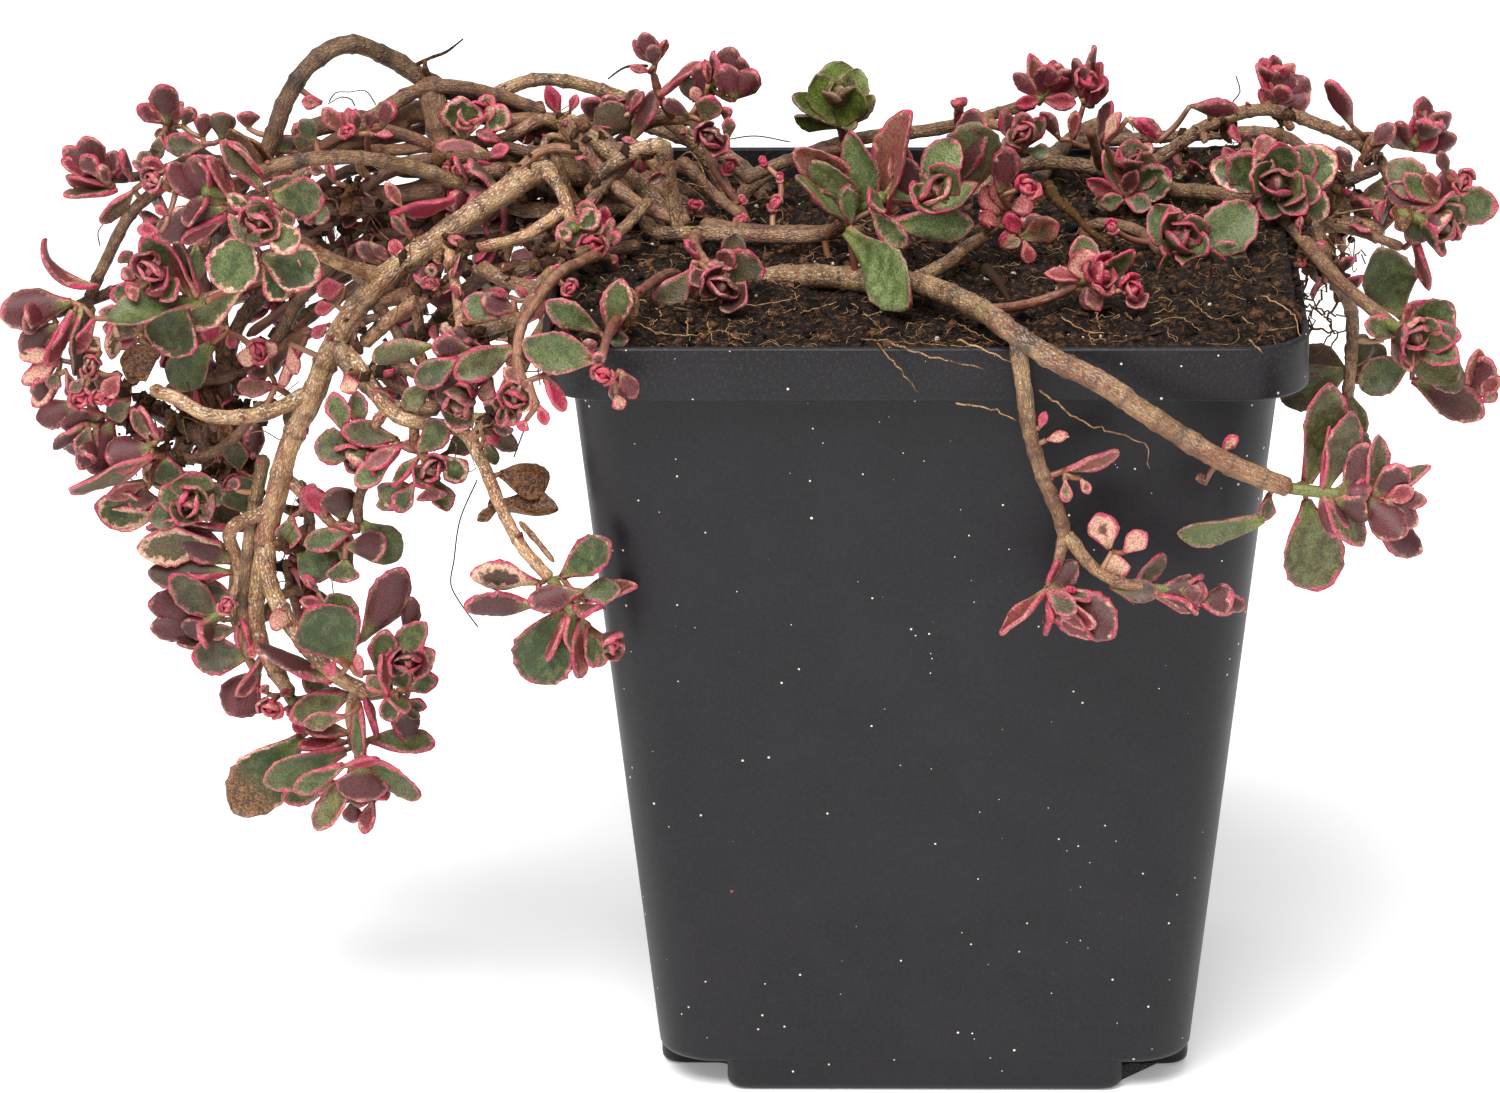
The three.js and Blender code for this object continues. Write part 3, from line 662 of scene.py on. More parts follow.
def lump_shape(detail):
    """A rough ball: points on a unit sphere, and faces."""
    rings, around = 3 + 2 * detail, 6 + 3 * detail
    heights = np.cos(np.linspace(0.97, 0.03, rings) * np.pi)
    angle = np.linspace(0, 2 * np.pi, around + 1)[:-1]
    radius = np.sqrt(1 - heights ** 2)
    ring = np.stack([np.cos(angle), np.sin(angle)], axis=1)
    rows = [np.column_stack([ring * wide, np.full(around, up)]) for wide, up in zip(radius, heights)]
    return np.vstack(rows), loft_faces(rings, around)


SMALL_LUMP, LARGE_LUMP = lump_shape(0), lump_shape(1)


def random_turn():
    """A random rotation."""
    turn, _ = np.linalg.qr(rng.normal(size=(3, 3)))
    return turn if np.linalg.det(turn) > 0 else -turn


def add_lump(heap, place, size, shape=SMALL_LUMP, stretch=0.35, **values):
    """Adds a rough lump of about that size, turned at random."""
    points, faces = shape
    bumps = 1 + rng.uniform(-0.22, 0.22, (len(points), 1))
    scale = 1 + rng.uniform(-stretch, stretch, 3)
    heap.add((points * bumps * scale * size / 2) @ random_turn() + place, faces, **values)


def on_soil(lift=0.0):
    """A random place on the mix, or a little above it."""
    x, y = rng.uniform(-STREWN_HALF, STREWN_HALF, 2)
    return np.array([x, y, soil_height(x, y) + lift])


crumbs = Heap("tone")
for _ in range(CRUMBS):
    add_lump(crumbs, on_soil(), min(3.2, rng.gamma(2.0, 0.36) + 0.35), tone=rng.uniform(-0.9, 1.3))
for _ in range(SPILLED):
    spill = np.array([rng.uniform(50.5, 54.6), rng.uniform(-44, 50), rng.uniform(119.2, 121.2)])
    add_lump(crumbs, spill, rng.uniform(0.8, 2.6), tone=rng.uniform(-0.9, 1.0))
crumbs.piece("mix_crumbs", peat_finish, "potting_mix")

perlite = Heap("tone")
for _ in range(GRAINS):
    place, size = on_soil(0.1), min(1.0, rng.gamma(2.0, 0.14) + 0.2)
    add_lump(perlite, place, size, LARGE_LUMP, tone=rng.uniform(0, 0.9))
perlite.piece("perlite_grains", perlite_finish, "potting_mix")

chips = Heap("tone")
for _ in range(SLIVERS):
    sliver = LARGE_LUMP[0] * [rng.uniform(0.6, 2.2), rng.uniform(0.15, 0.5), rng.uniform(0.1, 0.3)]
    sliver *= 1 + rng.uniform(-0.15, 0.15, (len(sliver), 1))
    spin = Matrix.Rotation(rng.uniform(0, 6.28), 3, "Z") @ Matrix.Rotation(rng.uniform(-0.4, 0.4), 3, "X")
    chips.add(sliver @ np.array(spin).T + on_soil(0.2), LARGE_LUMP[1], tone=rng.uniform(-0.5, 0.9))
chips.piece("bark_slivers", chip_finish, "potting_mix")
print("crumbs, perlite and slivers, points:", crumbs.count + perlite.count + chips.count)

# %% [markdown]
# ## Smooth routes and tubes
#
# A stem is drawn as a few points, chosen by eye, and a smooth curve through
# them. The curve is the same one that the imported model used, so every stem
# runs down the middle of its solid. A tube is then swept along it. Its frame
# is carried from ring to ring without twisting. The fibres of the mix are the
# first tubes: short curls that lie on the surface.

# %% Curves and tubes
def smooth_route(route, step):
    """Points along a smooth curve through the route, about one step apart."""
    route = np.asarray(route, float)
    knots = np.vstack([2 * route[0] - route[1], route, 2 * route[-1] - route[-2]])
    gaps = np.sqrt(np.linalg.norm(np.diff(knots, axis=0), axis=1))
    pieces = [route[:1]]
    for index in range(len(route) - 1):
        a, b, c, d = knots[index:index + 4]
        before, here, after = gaps[index:index + 3]
        leave = ((b - a) / before - (c - a) / (before + here) + (c - b) / here) * here
        reach = ((c - b) / here - (d - b) / (here + after) + (d - c) / after) * here
        count = max(1, round(float(np.linalg.norm(c - b)) / step))
        share = np.linspace(0, 1, count + 1)[1:, None]
        square = 3 * (c - b) - 2 * leave - reach
        cube = 2 * (b - c) + leave + reach
        pieces.append(b + leave * share + square * share ** 2 + cube * share ** 3)
    return np.vstack(pieces)


def add_tube(heap, line, radii, sides=8, **values):
    """Sweeps a round section along a line. A value is one number, or one for each ring."""
    along = np.gradient(line, axis=0)
    along /= np.linalg.norm(along, axis=1)[:, None]
    side = unit(np.cross(along[0], [0.3, 0.5, 0.81]))
    radii = np.broadcast_to(radii, len(line))
    angle = np.linspace(0, 2 * np.pi, sides + 1)[:-1, None]
    rings = []
    for place, forward, radius in zip(line, along, radii):
        side = unit(side - forward * (side @ forward))
        other = np.cross(forward, side)
        rings.append(place + radius * (np.cos(angle) * side + np.sin(angle) * other))
    spread = {label: np.repeat(np.broadcast_to(value, len(line)), sides) for label, value in values.items()}
    heap.add(np.vstack(rings), loft_faces(len(line), sides), **spread)


FIBRES, FIBRE_SIDES = 860, 4
MIX_EDGE, FIBRE_EDGE = 52.6, 53
fibres = Heap("tone")
for _ in range(FIBRES):
    start = on_soil(0.25)
    reach = rng.uniform(1.2, 4.6) * (1 + (rng.random() > 0.9))
    heading = rng.uniform(0, 2 * np.pi)
    curl = rng.uniform(-1.5, 1.5)
    route = [start]
    for _ in range(4):
        heading += curl * rng.uniform(0.3, 1)
        ahead = route[-1] + reach / 4 * np.array([math.cos(heading), math.sin(heading), 0])
        ahead[2] = soil_height(*np.clip(ahead[:2], -MIX_EDGE, MIX_EDGE)) + rng.uniform(0.1, 0.7)
        ahead[:2] = np.clip(ahead[:2], -FIBRE_EDGE, FIBRE_EDGE)
        route.append(ahead)
    line = smooth_route(route, 0.9)
    add_tube(fibres, line, rng.uniform(0.03, 0.065), FIBRE_SIDES, tone=rng.uniform(-0.4, 1.6))
fibres.piece("mix_fibres", fibre_finish, "potting_mix")
print("fibre points:", fibres.count)

# %% [markdown]
# ## The stems and rosettes
#
# These are the plant's bones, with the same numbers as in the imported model.
# A stem is a radius and a list of points in millimetres. Its side shoots
# follow it. A rosette is the point where it starts, the way it faces, its
# longest leaf, its pairs of leaves, how far apart the pairs stand and its
# finish.

# %% Stem routes
STEMS = {
    "left_trunk": [
        (2, [(-29, 12, 111), (-40, 12, 120), (-49, 10, 127), (-57, 4, 130), (-63, -2, 128),
         (-72, -8, 123), (-80, -12, 118), (-86, -14, 111), (-91, -14, 100), (-95, -13, 91),
         (-97, -12, 83), (-99, -11, 76)]),
        (1.3, [(-98.5, -11, 78), (-100, -12, 69), (-100, -12, 63), (-98, -12, 57), (-95, -13, 53)]),
        (1.4, [(-98.5, -11, 78), (-98, -13, 71), (-93, -17, 63), (-88, -18, 58), (-83, -18, 55)]),
        (1, [(-85, -18, 56), (-86, -17, 51), (-85, -16, 46)]),
        (1.2, [(-91, -14, 101), (-98, -15, 98), (-106, -16, 98), (-111, -14, 100), (-115, -12, 101)]),
        (1.1, [(-98, -12, 82), (-104, -10, 78), (-103, -9, 73), (-103, -9, 69), (-104, -9, 67)]),
        (1.1, [(-79, -11, 118), (-85, -16, 121), (-90, -20, 125), (-95, -23, 130)]),
        (1.1, [(-87, -14, 109), (-84, -18, 107), (-78, -22, 100), (-68, -27, 99), (-65, -33, 97),
         (-61, -42, 91), (-58, -46, 87), (-54, -48, 83)]),
        (0.9, [(-75, -23, 100), (-75, -23, 96), (-73, -23, 93)]),
        (0.9, [(-79, -21.5, 101), (-81, -21, 98), (-81, -20, 95)]),
        (1.1, [(-57, 4, 130), (-54, -3, 129), (-52, -9, 125)]),
        (1, [(-53, -6, 127), (-59, -10, 124), (-64, -12, 123), (-68, -15, 123)]),
        (0.9, [(-71, -7, 124), (-69, -16, 117), (-68, -21, 112), (-66, -26, 107)]),
        (0.9, [(-96, -12, 88), (-91, -13, 83), (-86, -14, 78)]),
    ],
    "arched_stem": [
        (1.6, [(-36, 22, 111), (-44, 22, 117), (-48, 20, 124), (-54, 18, 130), (-59, 17, 134),
         (-66, 16, 138), (-73, 15, 140), (-80, 13, 145), (-86, 10, 148), (-91, 8, 146), (-95, 6, 141),
         (-97, 4, 136), (-99, 4, 132), (-106, 8, 130), (-110, 9, 132)]),
        (1, [(-108, 8, 131), (-112, 4, 129), (-118, 0, 125), (-122, -2, 118), (-125, -2, 111),
         (-126, -4, 100), (-123, -6, 93)]),
        (1, [(-99, 4, 132), (-106, 4, 122), (-113, 2, 115), (-120, 0, 113), (-130, -4, 110)]),
        (0.9, [(-112, 2, 115.5), (-112, -4, 116.5), (-111, -8, 117)]),
        (0.9, [(-109, 9, 131), (-113, 9, 135)]),
        (0.9, [(-109, 8, 131), (-116, 6, 129), (-122, 3, 129)]),
        (1, [(-67, 16, 138), (-67, 12, 136)]),
        (1.1, [(-105, 4, 123), (-106, 8, 113), (-106, 8, 102), (-105, 5, 91), (-109, -4, 83)]),
    ],
    "left_middle_stem": [
        (1.25, [(-46, 11, 113), (-50, 8, 121), (-56, 5, 123.5), (-61, 5, 124), (-66, 4, 126.5),
         (-75, 1, 131), (-85, -3, 134), (-95, -7, 134), (-103, -15, 132)]),
    ],
    "back_arch_stem": [
        (1.2, [(-27, 30, 111), (-31, 32, 120), (-38, 33, 129), (-50, 33, 135), (-59, 31, 137),
         (-67, 27, 135), (-75, 24, 132), (-82, 20, 131)]),
    ],
    "cut_stem": [
        (1.35, [(-54, 12, 136), (-46, 10, 130), (-40, 7, 124), (-35, 5, 119), (-32, 4, 113)]),
        (1.3, [(-53, 11.8, 135.4), (-55, 12.5, 131.5)]),
    ],
    "crossing_stem": [
        (1.2, [(-39, 1, 135.5), (-38, 1, 129), (-37, 0, 124), (-35, -1, 114)]),
        (1.2, [(-38.5, 1, 135), (-43, 2, 133.5), (-47, 2.5, 131), (-50.5, 4, 126)]),
    ],
    "centre_runner": [
        (1.25, [(-45, 16, 113), (-43, 12, 121), (-40, 2, 121), (-34, -2, 122), (-28, -3, 122),
         (-19, -4, 122), (-15, -6, 123), (-10, -10, 127)]),
        (0.9, [(-34, -2, 122), (-34, -14, 123.5), (-31, -26, 123)]),
    ],
    "front_trunk": [
        (1.8, [(-32, -13, 112), (-25, -15, 118), (-18, -18, 120), (-7, -26, 121.5), (-1, -31, 122.5),
         (8, -46, 123), (13, -57, 122.5), (18, -60, 120), (25, -62, 117), (31, -63, 113),
         (43, -62, 105), (52, -61, 101)]),
        (1.25, [(13, -57, 122.5), (14, -59, 115), (15, -58, 108), (17, -57, 101), (19, -56, 96),
         (20, -56, 92)]),
        (0.95, [(20, -56, 93), (19, -56, 88), (18, -56, 85)]),
        (1, [(20, -56, 93), (24, -57, 88), (28, -58, 86), (33, -58, 85)]),
        (1.1, [(-3, -29, 122), (3, -20, 122.5), (6, -13, 123), (9, -7, 123)]),
        (0.8, [(7, -44, 122.5), (13, -39, 121.5), (18, -36, 122), (22, -36, 124)]),
    ],
    "right_arch_stem": [
        (1.15, [(6, 36, 113), (11, 38, 120), (19, 38, 122), (30, 33, 122), (34, 31, 123.5),
         (43, 30, 130), (51, 28, 133), (60, 22, 132), (67, 14, 130), (70, 6, 127), (71, 0, 125)]),
        (0.9, [(51, 28, 133), (53, 31, 134)]),
        (0.9, [(63, 18, 131.5), (69, 14.5, 132), (73, 12, 132)]),
        (0.9, [(27, 34.5, 122), (26, 31, 126), (25, 28, 130)]),
    ],
    "right_runner": [
        (1.25, [(24, 24, 113), (29, 22, 121), (38, 20, 122.5), (47, 14, 123), (53, 3, 123),
         (57, -9, 121.5), (61, -16, 118.5), (68, -22, 114)]),
        (1.1, [(60, -15, 119), (63, -8, 112), (63.5, -4, 105), (63, -2, 95)]),
        (0.9, [(49, 11, 123), (51.5, 4, 127)]),
        (0.9, [(30, 21.5, 121.5), (31, 20, 124)]),
        (0.9, [(67, -21.5, 114.5), (73, -20, 110), (77, -18, 106)]),
    ],
    "right_low_stem": [
        (1, [(20, 9, 113), (25, 7, 120.5), (31, 2, 121.5), (35, -9, 121)]),
    ],
    "back_runner": [
        (1.2, [(-30, 19, 112), (-28, 25, 120), (-20, 36, 123), (-10, 43, 124.5), (2, 45, 125.5),
         (12, 42, 129), (17, 40, 131)]),
        (1, [(-12, 42, 124.3), (-13, 38, 128)]),
        (0.7, [(5, 44.5, 126.5), (5, 41, 130.5)]),
        (0.9, [(8, 43.5, 127.5), (12, 38, 127.5)]),
    ],
    "rim_twig": [
        (0.8, [(-35, -8, 114), (-37, -20, 121), (-41, -34, 122.5), (-44, -48, 122.5),
         (-45, -57, 122.5), (-46, -62, 119.5)]),
    ],
    "hanging_twig": [
        (0.9, [(-44, -6, 113), (-47, -12, 121), (-51, -22, 123), (-54, -32, 123.5), (-56, -38, 122),
         (-58, -42, 119.5), (-58.5, -45, 115), (-57, -47, 111)]),
    ],
    "crown_twig": [
        (1, [(-51, 27, 114), (-50, 26, 124), (-46, 26, 129), (-41, 25, 132), (-36, 22, 133),
         (-33, 18, 132)]),
        (0.75, [(-38, 23.5, 132.8), (-40, 21, 137), (-41, 20, 141)]),
        (0.9, [(-36, 22, 133), (-34, 20, 135), (-32, 18, 139)]),
        (0.8, [(-34, 20, 132.8), (-31.5, 15, 127), (-28, 13, 122), (-25, 12, 115)]),
    ],
    "back_left_stem": [
        (1.4, [(-20, 26, 111), (-27, 38, 120), (-38, 47, 124), (-52, 56, 124), (-63, 62, 116),
         (-69, 64, 106), (-71, 65, 94)]),
        (1, [(-36, 46, 124), (-35, 57, 123), (-34, 62, 114), (-33, 64, 104)]),
    ],
    "back_right_stem": [
        (1.4, [(12, 26, 111), (20, 46, 121), (28, 56, 123), (36, 62, 114), (38, 64, 104)]),
        (1, [(22, 49, 122), (40, 48, 123.5), (56, 49, 123), (63, 50, 114), (65, 51, 104)]),
    ],
}
print("stems and shoots:", sum(len(parts) for parts in STEMS.values()))

# %% Rosette places
ROSETTES = {
    "shoot_left_top": ((-113, 9, 135.5), (-0.1, 0.1, 1), 5, 4, 1, "purple"),
    "shoot_left_tip": ((-122.5, 3, 129), (-0.8, -0.2, 0.5), 6, 4, 1, "purple"),
    "rosette_left_cream": ((-95, -23.5, 130), (0.1, -1, 0.2), 10, 5, 1, "green"),
    "rosette_left_purple": ((-103, -15.5, 132), (-0.8, -0.6, 0.3), 9, 4, 1.3, "purple"),
    "rosette_left_green": ((-111, -9, 117), (-0.3, -0.9, 0.2), 10, 5, 1, "green"),
    "rosette_left_edge": ((-130.5, -4, 110), (-1, -0.2, -0.1), 7, 3, 1.2, "purple"),
    "rosette_left_low": ((-123, -6, 93), (-0.6, -0.4, -0.6), 8, 5, 1.1, "purple"),
    "rosette_left_open": ((-109.5, -5, 82.5), (-0.2, -1, 0), 7, 5, 0.8, "green"),
    "rosette_trunk_side": ((-104.5, -9, 66), (-0.7, -0.4, -0.5), 10, 5, 1.2, "purple"),
    "rosette_trunk_low": ((-95, -13.5, 52), (-0.3, -0.5, -0.8), 3.2, 4, 0.7, "red"),
    "rosette_fork_end": ((-82.5, -18, 55.5), (0.6, -0.7, 0.4), 9.5, 5, 1.2, "green"),
    "rosette_lowest": ((-85, -16, 45.5), (0.1, -0.3, -1), 9.5, 5, 1.2, "green"),
    "rosette_under_left": ((-73, -23.5, 92.5), (0.3, -0.8, -0.3), 8.5, 5, 1, "green"),
    "rosette_under_small": ((-81.5, -20.5, 94.5), (-0.6, -0.6, -0.4), 8, 3, 1, "green"),
    "rosette_dangling": ((-66, -26.5, 106.5), (-0.4, -0.7, -0.5), 9, 4, 1, "green"),
    "rosette_crown_front": ((-52, -9.5, 124.5), (0.2, -0.9, 0.5), 6.5, 4, 1, "green"),
    "rosette_soil_left": ((-31, -26.5, 123), (0.1, -0.8, 0.4), 7, 4, 1, "purple"),
    "shoot_crown_top": ((-32, 18, 139.5), (0.4, -0.1, 1), 7, 4, 1, "purple"),
    "rosette_arch_foot": ((-67, 11.5, 136), (0, -0.8, 0.5), 6, 4, 0.9, "green"),
    "rosette_crown_top": ((-45, 26, 130.5), (-0.3, -0.5, 1), 7.5, 4, 1, "purple"),
    "shoot_green": ((-13, 38, 128.5), (0, -0.2, 1), 7, 5, 1.3, "green"),
    "rosette_centre": ((-10, -10, 127.5), (0.5, -0.7, 0.5), 12, 6, 1.4, "green"),
    "shoot_red": ((17.5, 40, 131.5), (0.6, 0, 0.8), 7, 5, 1.1, "red"),
    "rosette_coral": ((9, -6.5, 123.5), (0.5, -0.5, 0.8), 6, 4, 1, "red"),
    "rosette_back_green": ((31, 19.5, 124.5), (0, -0.3, 1), 7.5, 4, 0.9, "green"),
    "rosette_right_fine": ((51.5, 3.5, 127.5), (0.1, -1, 0.4), 10, 5, 0.8, "green"),
    "rosette_right_front": ((35.5, -9.5, 122), (0.4, -0.9, 0.5), 10, 5, 1, "green"),
    "rosette_soil_right": ((22.5, -36, 124.5), (0.8, -0.6, 0.4), 7, 4, 1.3, "red"),
    "shoot_right_red": ((53, 31, 134.5), (0.1, 0, 1), 6.5, 5, 0.9, "red"),
    "shoot_right_top": ((73.5, 11.5, 132.5), (0.5, -0.1, 0.9), 7.5, 3, 1, "purple"),
    "rosette_right_edge": ((71, -0.5, 124.5), (0.8, -0.6, -0.1), 9.5, 5, 1.3, "green"),
    "rosette_right_low": ((68, -22.5, 114), (0.6, -0.8, -0.1), 9, 5, 1, "green"),
    "rosette_right_dark": ((63, -2, 94.5), (0.1, -0.1, -1), 8.5, 4, 1.2, "green"),
    "shoot_front_end": ((52.5, -61, 101), (1, -0.1, -0.1), 9.5, 5, 2, "purple"),
    "shoot_front_down": ((18, -56.5, 84.5), (0.4, -0.2, -0.8), 7, 3, 1.5, "purple"),
    "shoot_front_side": ((33.5, -58, 85), (1, -0.1, -0.1), 6, 4, 2.2, "purple"),
    "rosette_hanging": ((-53.5, -48.5, 82.5), (0.5, -0.5, -0.6), 10, 5, 1.5, "green"),
    "rosette_back_left": ((-71, 65, 93.5), (-0.3, 0.3, -1), 10, 5, 1.2, "green"),
    "rosette_back_middle": ((-33, 64, 103.5), (0.1, 0.4, -1), 9, 5, 1.2, "green"),
    "rosette_back_right": ((38, 64, 103.5), (0.2, 0.4, -1), 9, 5, 1.2, "purple"),
}
print("rosettes:", len(ROSETTES))

# %% [markdown]
# ## Leaves placed one by one
#
# The leaves that the photograph shows well are listed one by one. The first
# list gives, for each rosette, the pixel and depth from which its leaves
# spread. Each leaf has a clock angle (0 is right, 90 is up), a length in
# millimetres, the degrees by which it leans towards the viewer, a letter for
# its look, its width as a share of its length, and how many millimetres up
# the shoot it starts.

# %% Leaves by clock angle
CLOCK_LEAVES = {
    "rosette_right_fine": ((1280, 188, 2), [
        (114, 8.5, 0, "k", 0.5), (137, 8.5, -5, "p", 0.5), (93, 7.8, 25, "g", 0.75),
        (150, 9, 15, "g", 0.7), (160, 11, 5, "c", 0.5), (50, 7.5, 15, "g", 0.75),
        (28, 9.8, 8, "c", 0.7), (-18, 7, 30, "g", 0.7), (-32, 8.2, 10, "c", 0.7),
        (-110, 6, 20, "g", 0.7)]),
    "rosette_right_front": ((1193, 260, -12), [
        (37, 12, 10, "g", 0.62), (93, 7.4, 20, "g", 0.75), (126, 10, 10, "g", 0.6),
        (124, 5.4, 45, "g", 0.7), (203, 6, 10, "g", 0.75), (243, 5.8, 15, "g", 0.75),
        (2, 8.2, 15, "g", 0.65), (-8, 5.6, 35, "g", 0.7), (150, 6, 5, "k", 0.6),
        (-60, 5.5, 20, "g", 0.7)]),
    "rosette_back_green": ((1125, 198, 18), [
        (112, 8, 5, "g", 0.45), (95, 8, 20, "g", 0.4), (66, 8, 10, "g", 0.7), (75, 5.5, 35, "p", 0.5),
        (28, 8, 15, "c", 0.7), (150, 6.5, 10, "k", 0.3), (-25, 4.5, 20, "g", 0.7),
        (200, 4, 20, "g", 0.7)]),
    "shoot_red": ((1042, 100, 40), [
        (112, 7.5, 5, "k", 0.3), (135, 6, 0, "P", 0.4), (85, 6, 30, "P", 0.5), (60, 6.5, 10, "P", 0.5),
        (35, 6.5, 5, "P", 0.5), (20, 7.5, 0, "k", 0.4), (-5, 5.5, 15, "r", 0.5),
        (190, 4.5, 20, "r", 0.5)]),
    "rosette_soil_right": ((1088, 283, -36), [
        (-20, 5, 30, "k", 0.6), (165, 6.5, 0, "k", 0.3), (93, 7, 5, "g", 0.6), (100, 5.2, 20, "w", 0.9),
        (70, 4.5, 25, "c", 0.7), (32, 8.5, 25, "g", 0.35), (-70, 4.5, 10, "k", 0.6),
        (-95, 4, 10, "P", 0.6)]),
    "shoot_right_red": ((1275, 105, 30), [
        (118, 7, 0, "k", 0.3), (140, 4, 30, "k", 0.6), (105, 6, 5, "r", 0.3), (100, 7.5, 0, "r", 0.35),
        (90, 4.8, 20, "P", 0.8), (62, 5.5, 10, "P", 0.8), (35, 6.5, 10, "P", 0.7),
        (15, 5.5, 15, "P", 0.7), (50, 4, 40, "P", 0.8)]),
    "shoot_right_top": ((1413, 150, 12), [
        (118, 5.5, 20, "P", 0.35), (150, 5.5, 0, "p", 0.5), (85, 6, 10, "r", 0.35),
        (50, 8, 15, "P", 0.45), (15, 7, 15, "P", 0.5), (30, 5, 40, "r", 0.6)]),
    "rosette_right_edge": ((1436, 205, 0), [
        (137, 9.5, 0, "g", 0.6), (-62, 6, 0, "p", 0.25), (-125, 7, 5, "g", 0.6), (160, 8, -5, "p", 0.5),
        (190, 7, -10, "g", 0.4), (-150, 7, 0, "g", 0.5), (143, 7, 10, "g", 0.5),
        (100, 5.5, 20, "k", 0.5), (-50, 6.5, 10, "k", 0.35), (2, 9.4, 15, "g", 0.6),
        (60, 6, 20, "P", 0.6)]),
    "rosette_right_low": ((1402, 335, -22), [
        (-42, 13, -15, "d", 0.4), (-38, 10.5, 0, "n", 0.6), (35, 8.5, 20, "g", 0.75, 1),
        (55, 6, 0, "k", 0.6), (-20, 9.5, 30, "g", 0.5, 1), (0, 8, 20, "g", 0.6, 2),
        (-75, 6, 15, "p", 0.4, -2), (-88, 6, 30, "k", 0.35, 1), (160, 6, 10, "g", 0.6)]),
    "rosette_right_dark": ((1350, 395, -2), [
        (205, 11, -5, "n", 0.6, -4), (150, 8, 0, "n", 0.6, -3), (35, 7, 15, "n", 0.6, -3),
        (60, 6, 20, "n", 0.7, -4), (-95, 5, 10, "n", 0.5), (-70, 6.5, 5, "n", 0.45),
        (10, 7, 10, "n", 0.4, -2)]),
    "shoot_green": ((839, 126, 38), [
        (172, 7.2, 10, "n", 0.32), (5, 3.2, 20, "n", 0.7), (150, 8.8, 10, "n", 0.38),
        (36, 7.2, 10, "n", 0.4), (118, 9, 10, "n", 0.6), (96, 10, 5, "n", 0.72),
        (70, 9.3, 0, "n", 0.55), (65, 7.6, 30, "n", 0.75)]),
    "shoot_front_end": ((1294, 487, -61), [
        (-68, 6, 0, "P", 0.4, 5), (-83, 7, -5, "P", 0.35, 4), (-55, 9.8, 0, "g", 0.4, 4),
        (78, 10.4, -5, "k", 0.3, 4), (62, 12.2, 10, "g", 0.36, 4), (60, 8, 15, "P", 0.5, 7),
        (70, 9, 0, "g", 0.3, 10), (40, 8, 0, "g", 0.3, 13), (38, 7, 15, "P", 0.6, 11),
        (-45, 6, 10, "P", 0.6, 13), (-48, 8.5, 20, "P", 0.6, 10), (0, 6, 10, "P", 0.45, 13),
        (15, 4.5, 20, "k", 0.6, 13)]),
    "shoot_front_down": ((1047, 590, -57), [
        (222, 9.5, 10, "k", 0.2), (-54, 9.7, 5, "k", 0.3), (-29, 12, 10, "P", 0.55),
        (-12, 7, 20, "g", 0.3), (40, 6, 5, "P", 0.6), (70, 5, 10, "k", 0.35), (-42, 6.5, 30, "g", 0.5),
        (-40, 9, 18, "k", 0.35)]),
    "shoot_front_side": ((1160, 594, -58), [
        (50, 7, 5, "g", 0.35, -4), (-8, 7, 15, "n", 0.5, -7), (5, 8, 15, "P", 0.6, -1),
        (-25, 6, 10, "k", 0.4, 5), (-18, 7, 10, "k", 0.35, -1), (-10, 4.5, 0, "P", 0.6, 8),
        (0, 5, 20, "P", 0.9, 6)]),
}
print("leaves by clock angle:", sum(len(rows) for _, rows in CLOCK_LEAVES.values()))

# %% [markdown]
# ## Leaves from end to end
#
# Where leaves crowd together, the left side most of all, it is easier to note
# where a leaf starts and where its tip is. Each group has a depth, and its
# leaves are listed from the back to the front: the pixel of the base, the
# pixel of the tip, the widest part in pixels and the look. A capital letter
# means that the leaf shows its underside.

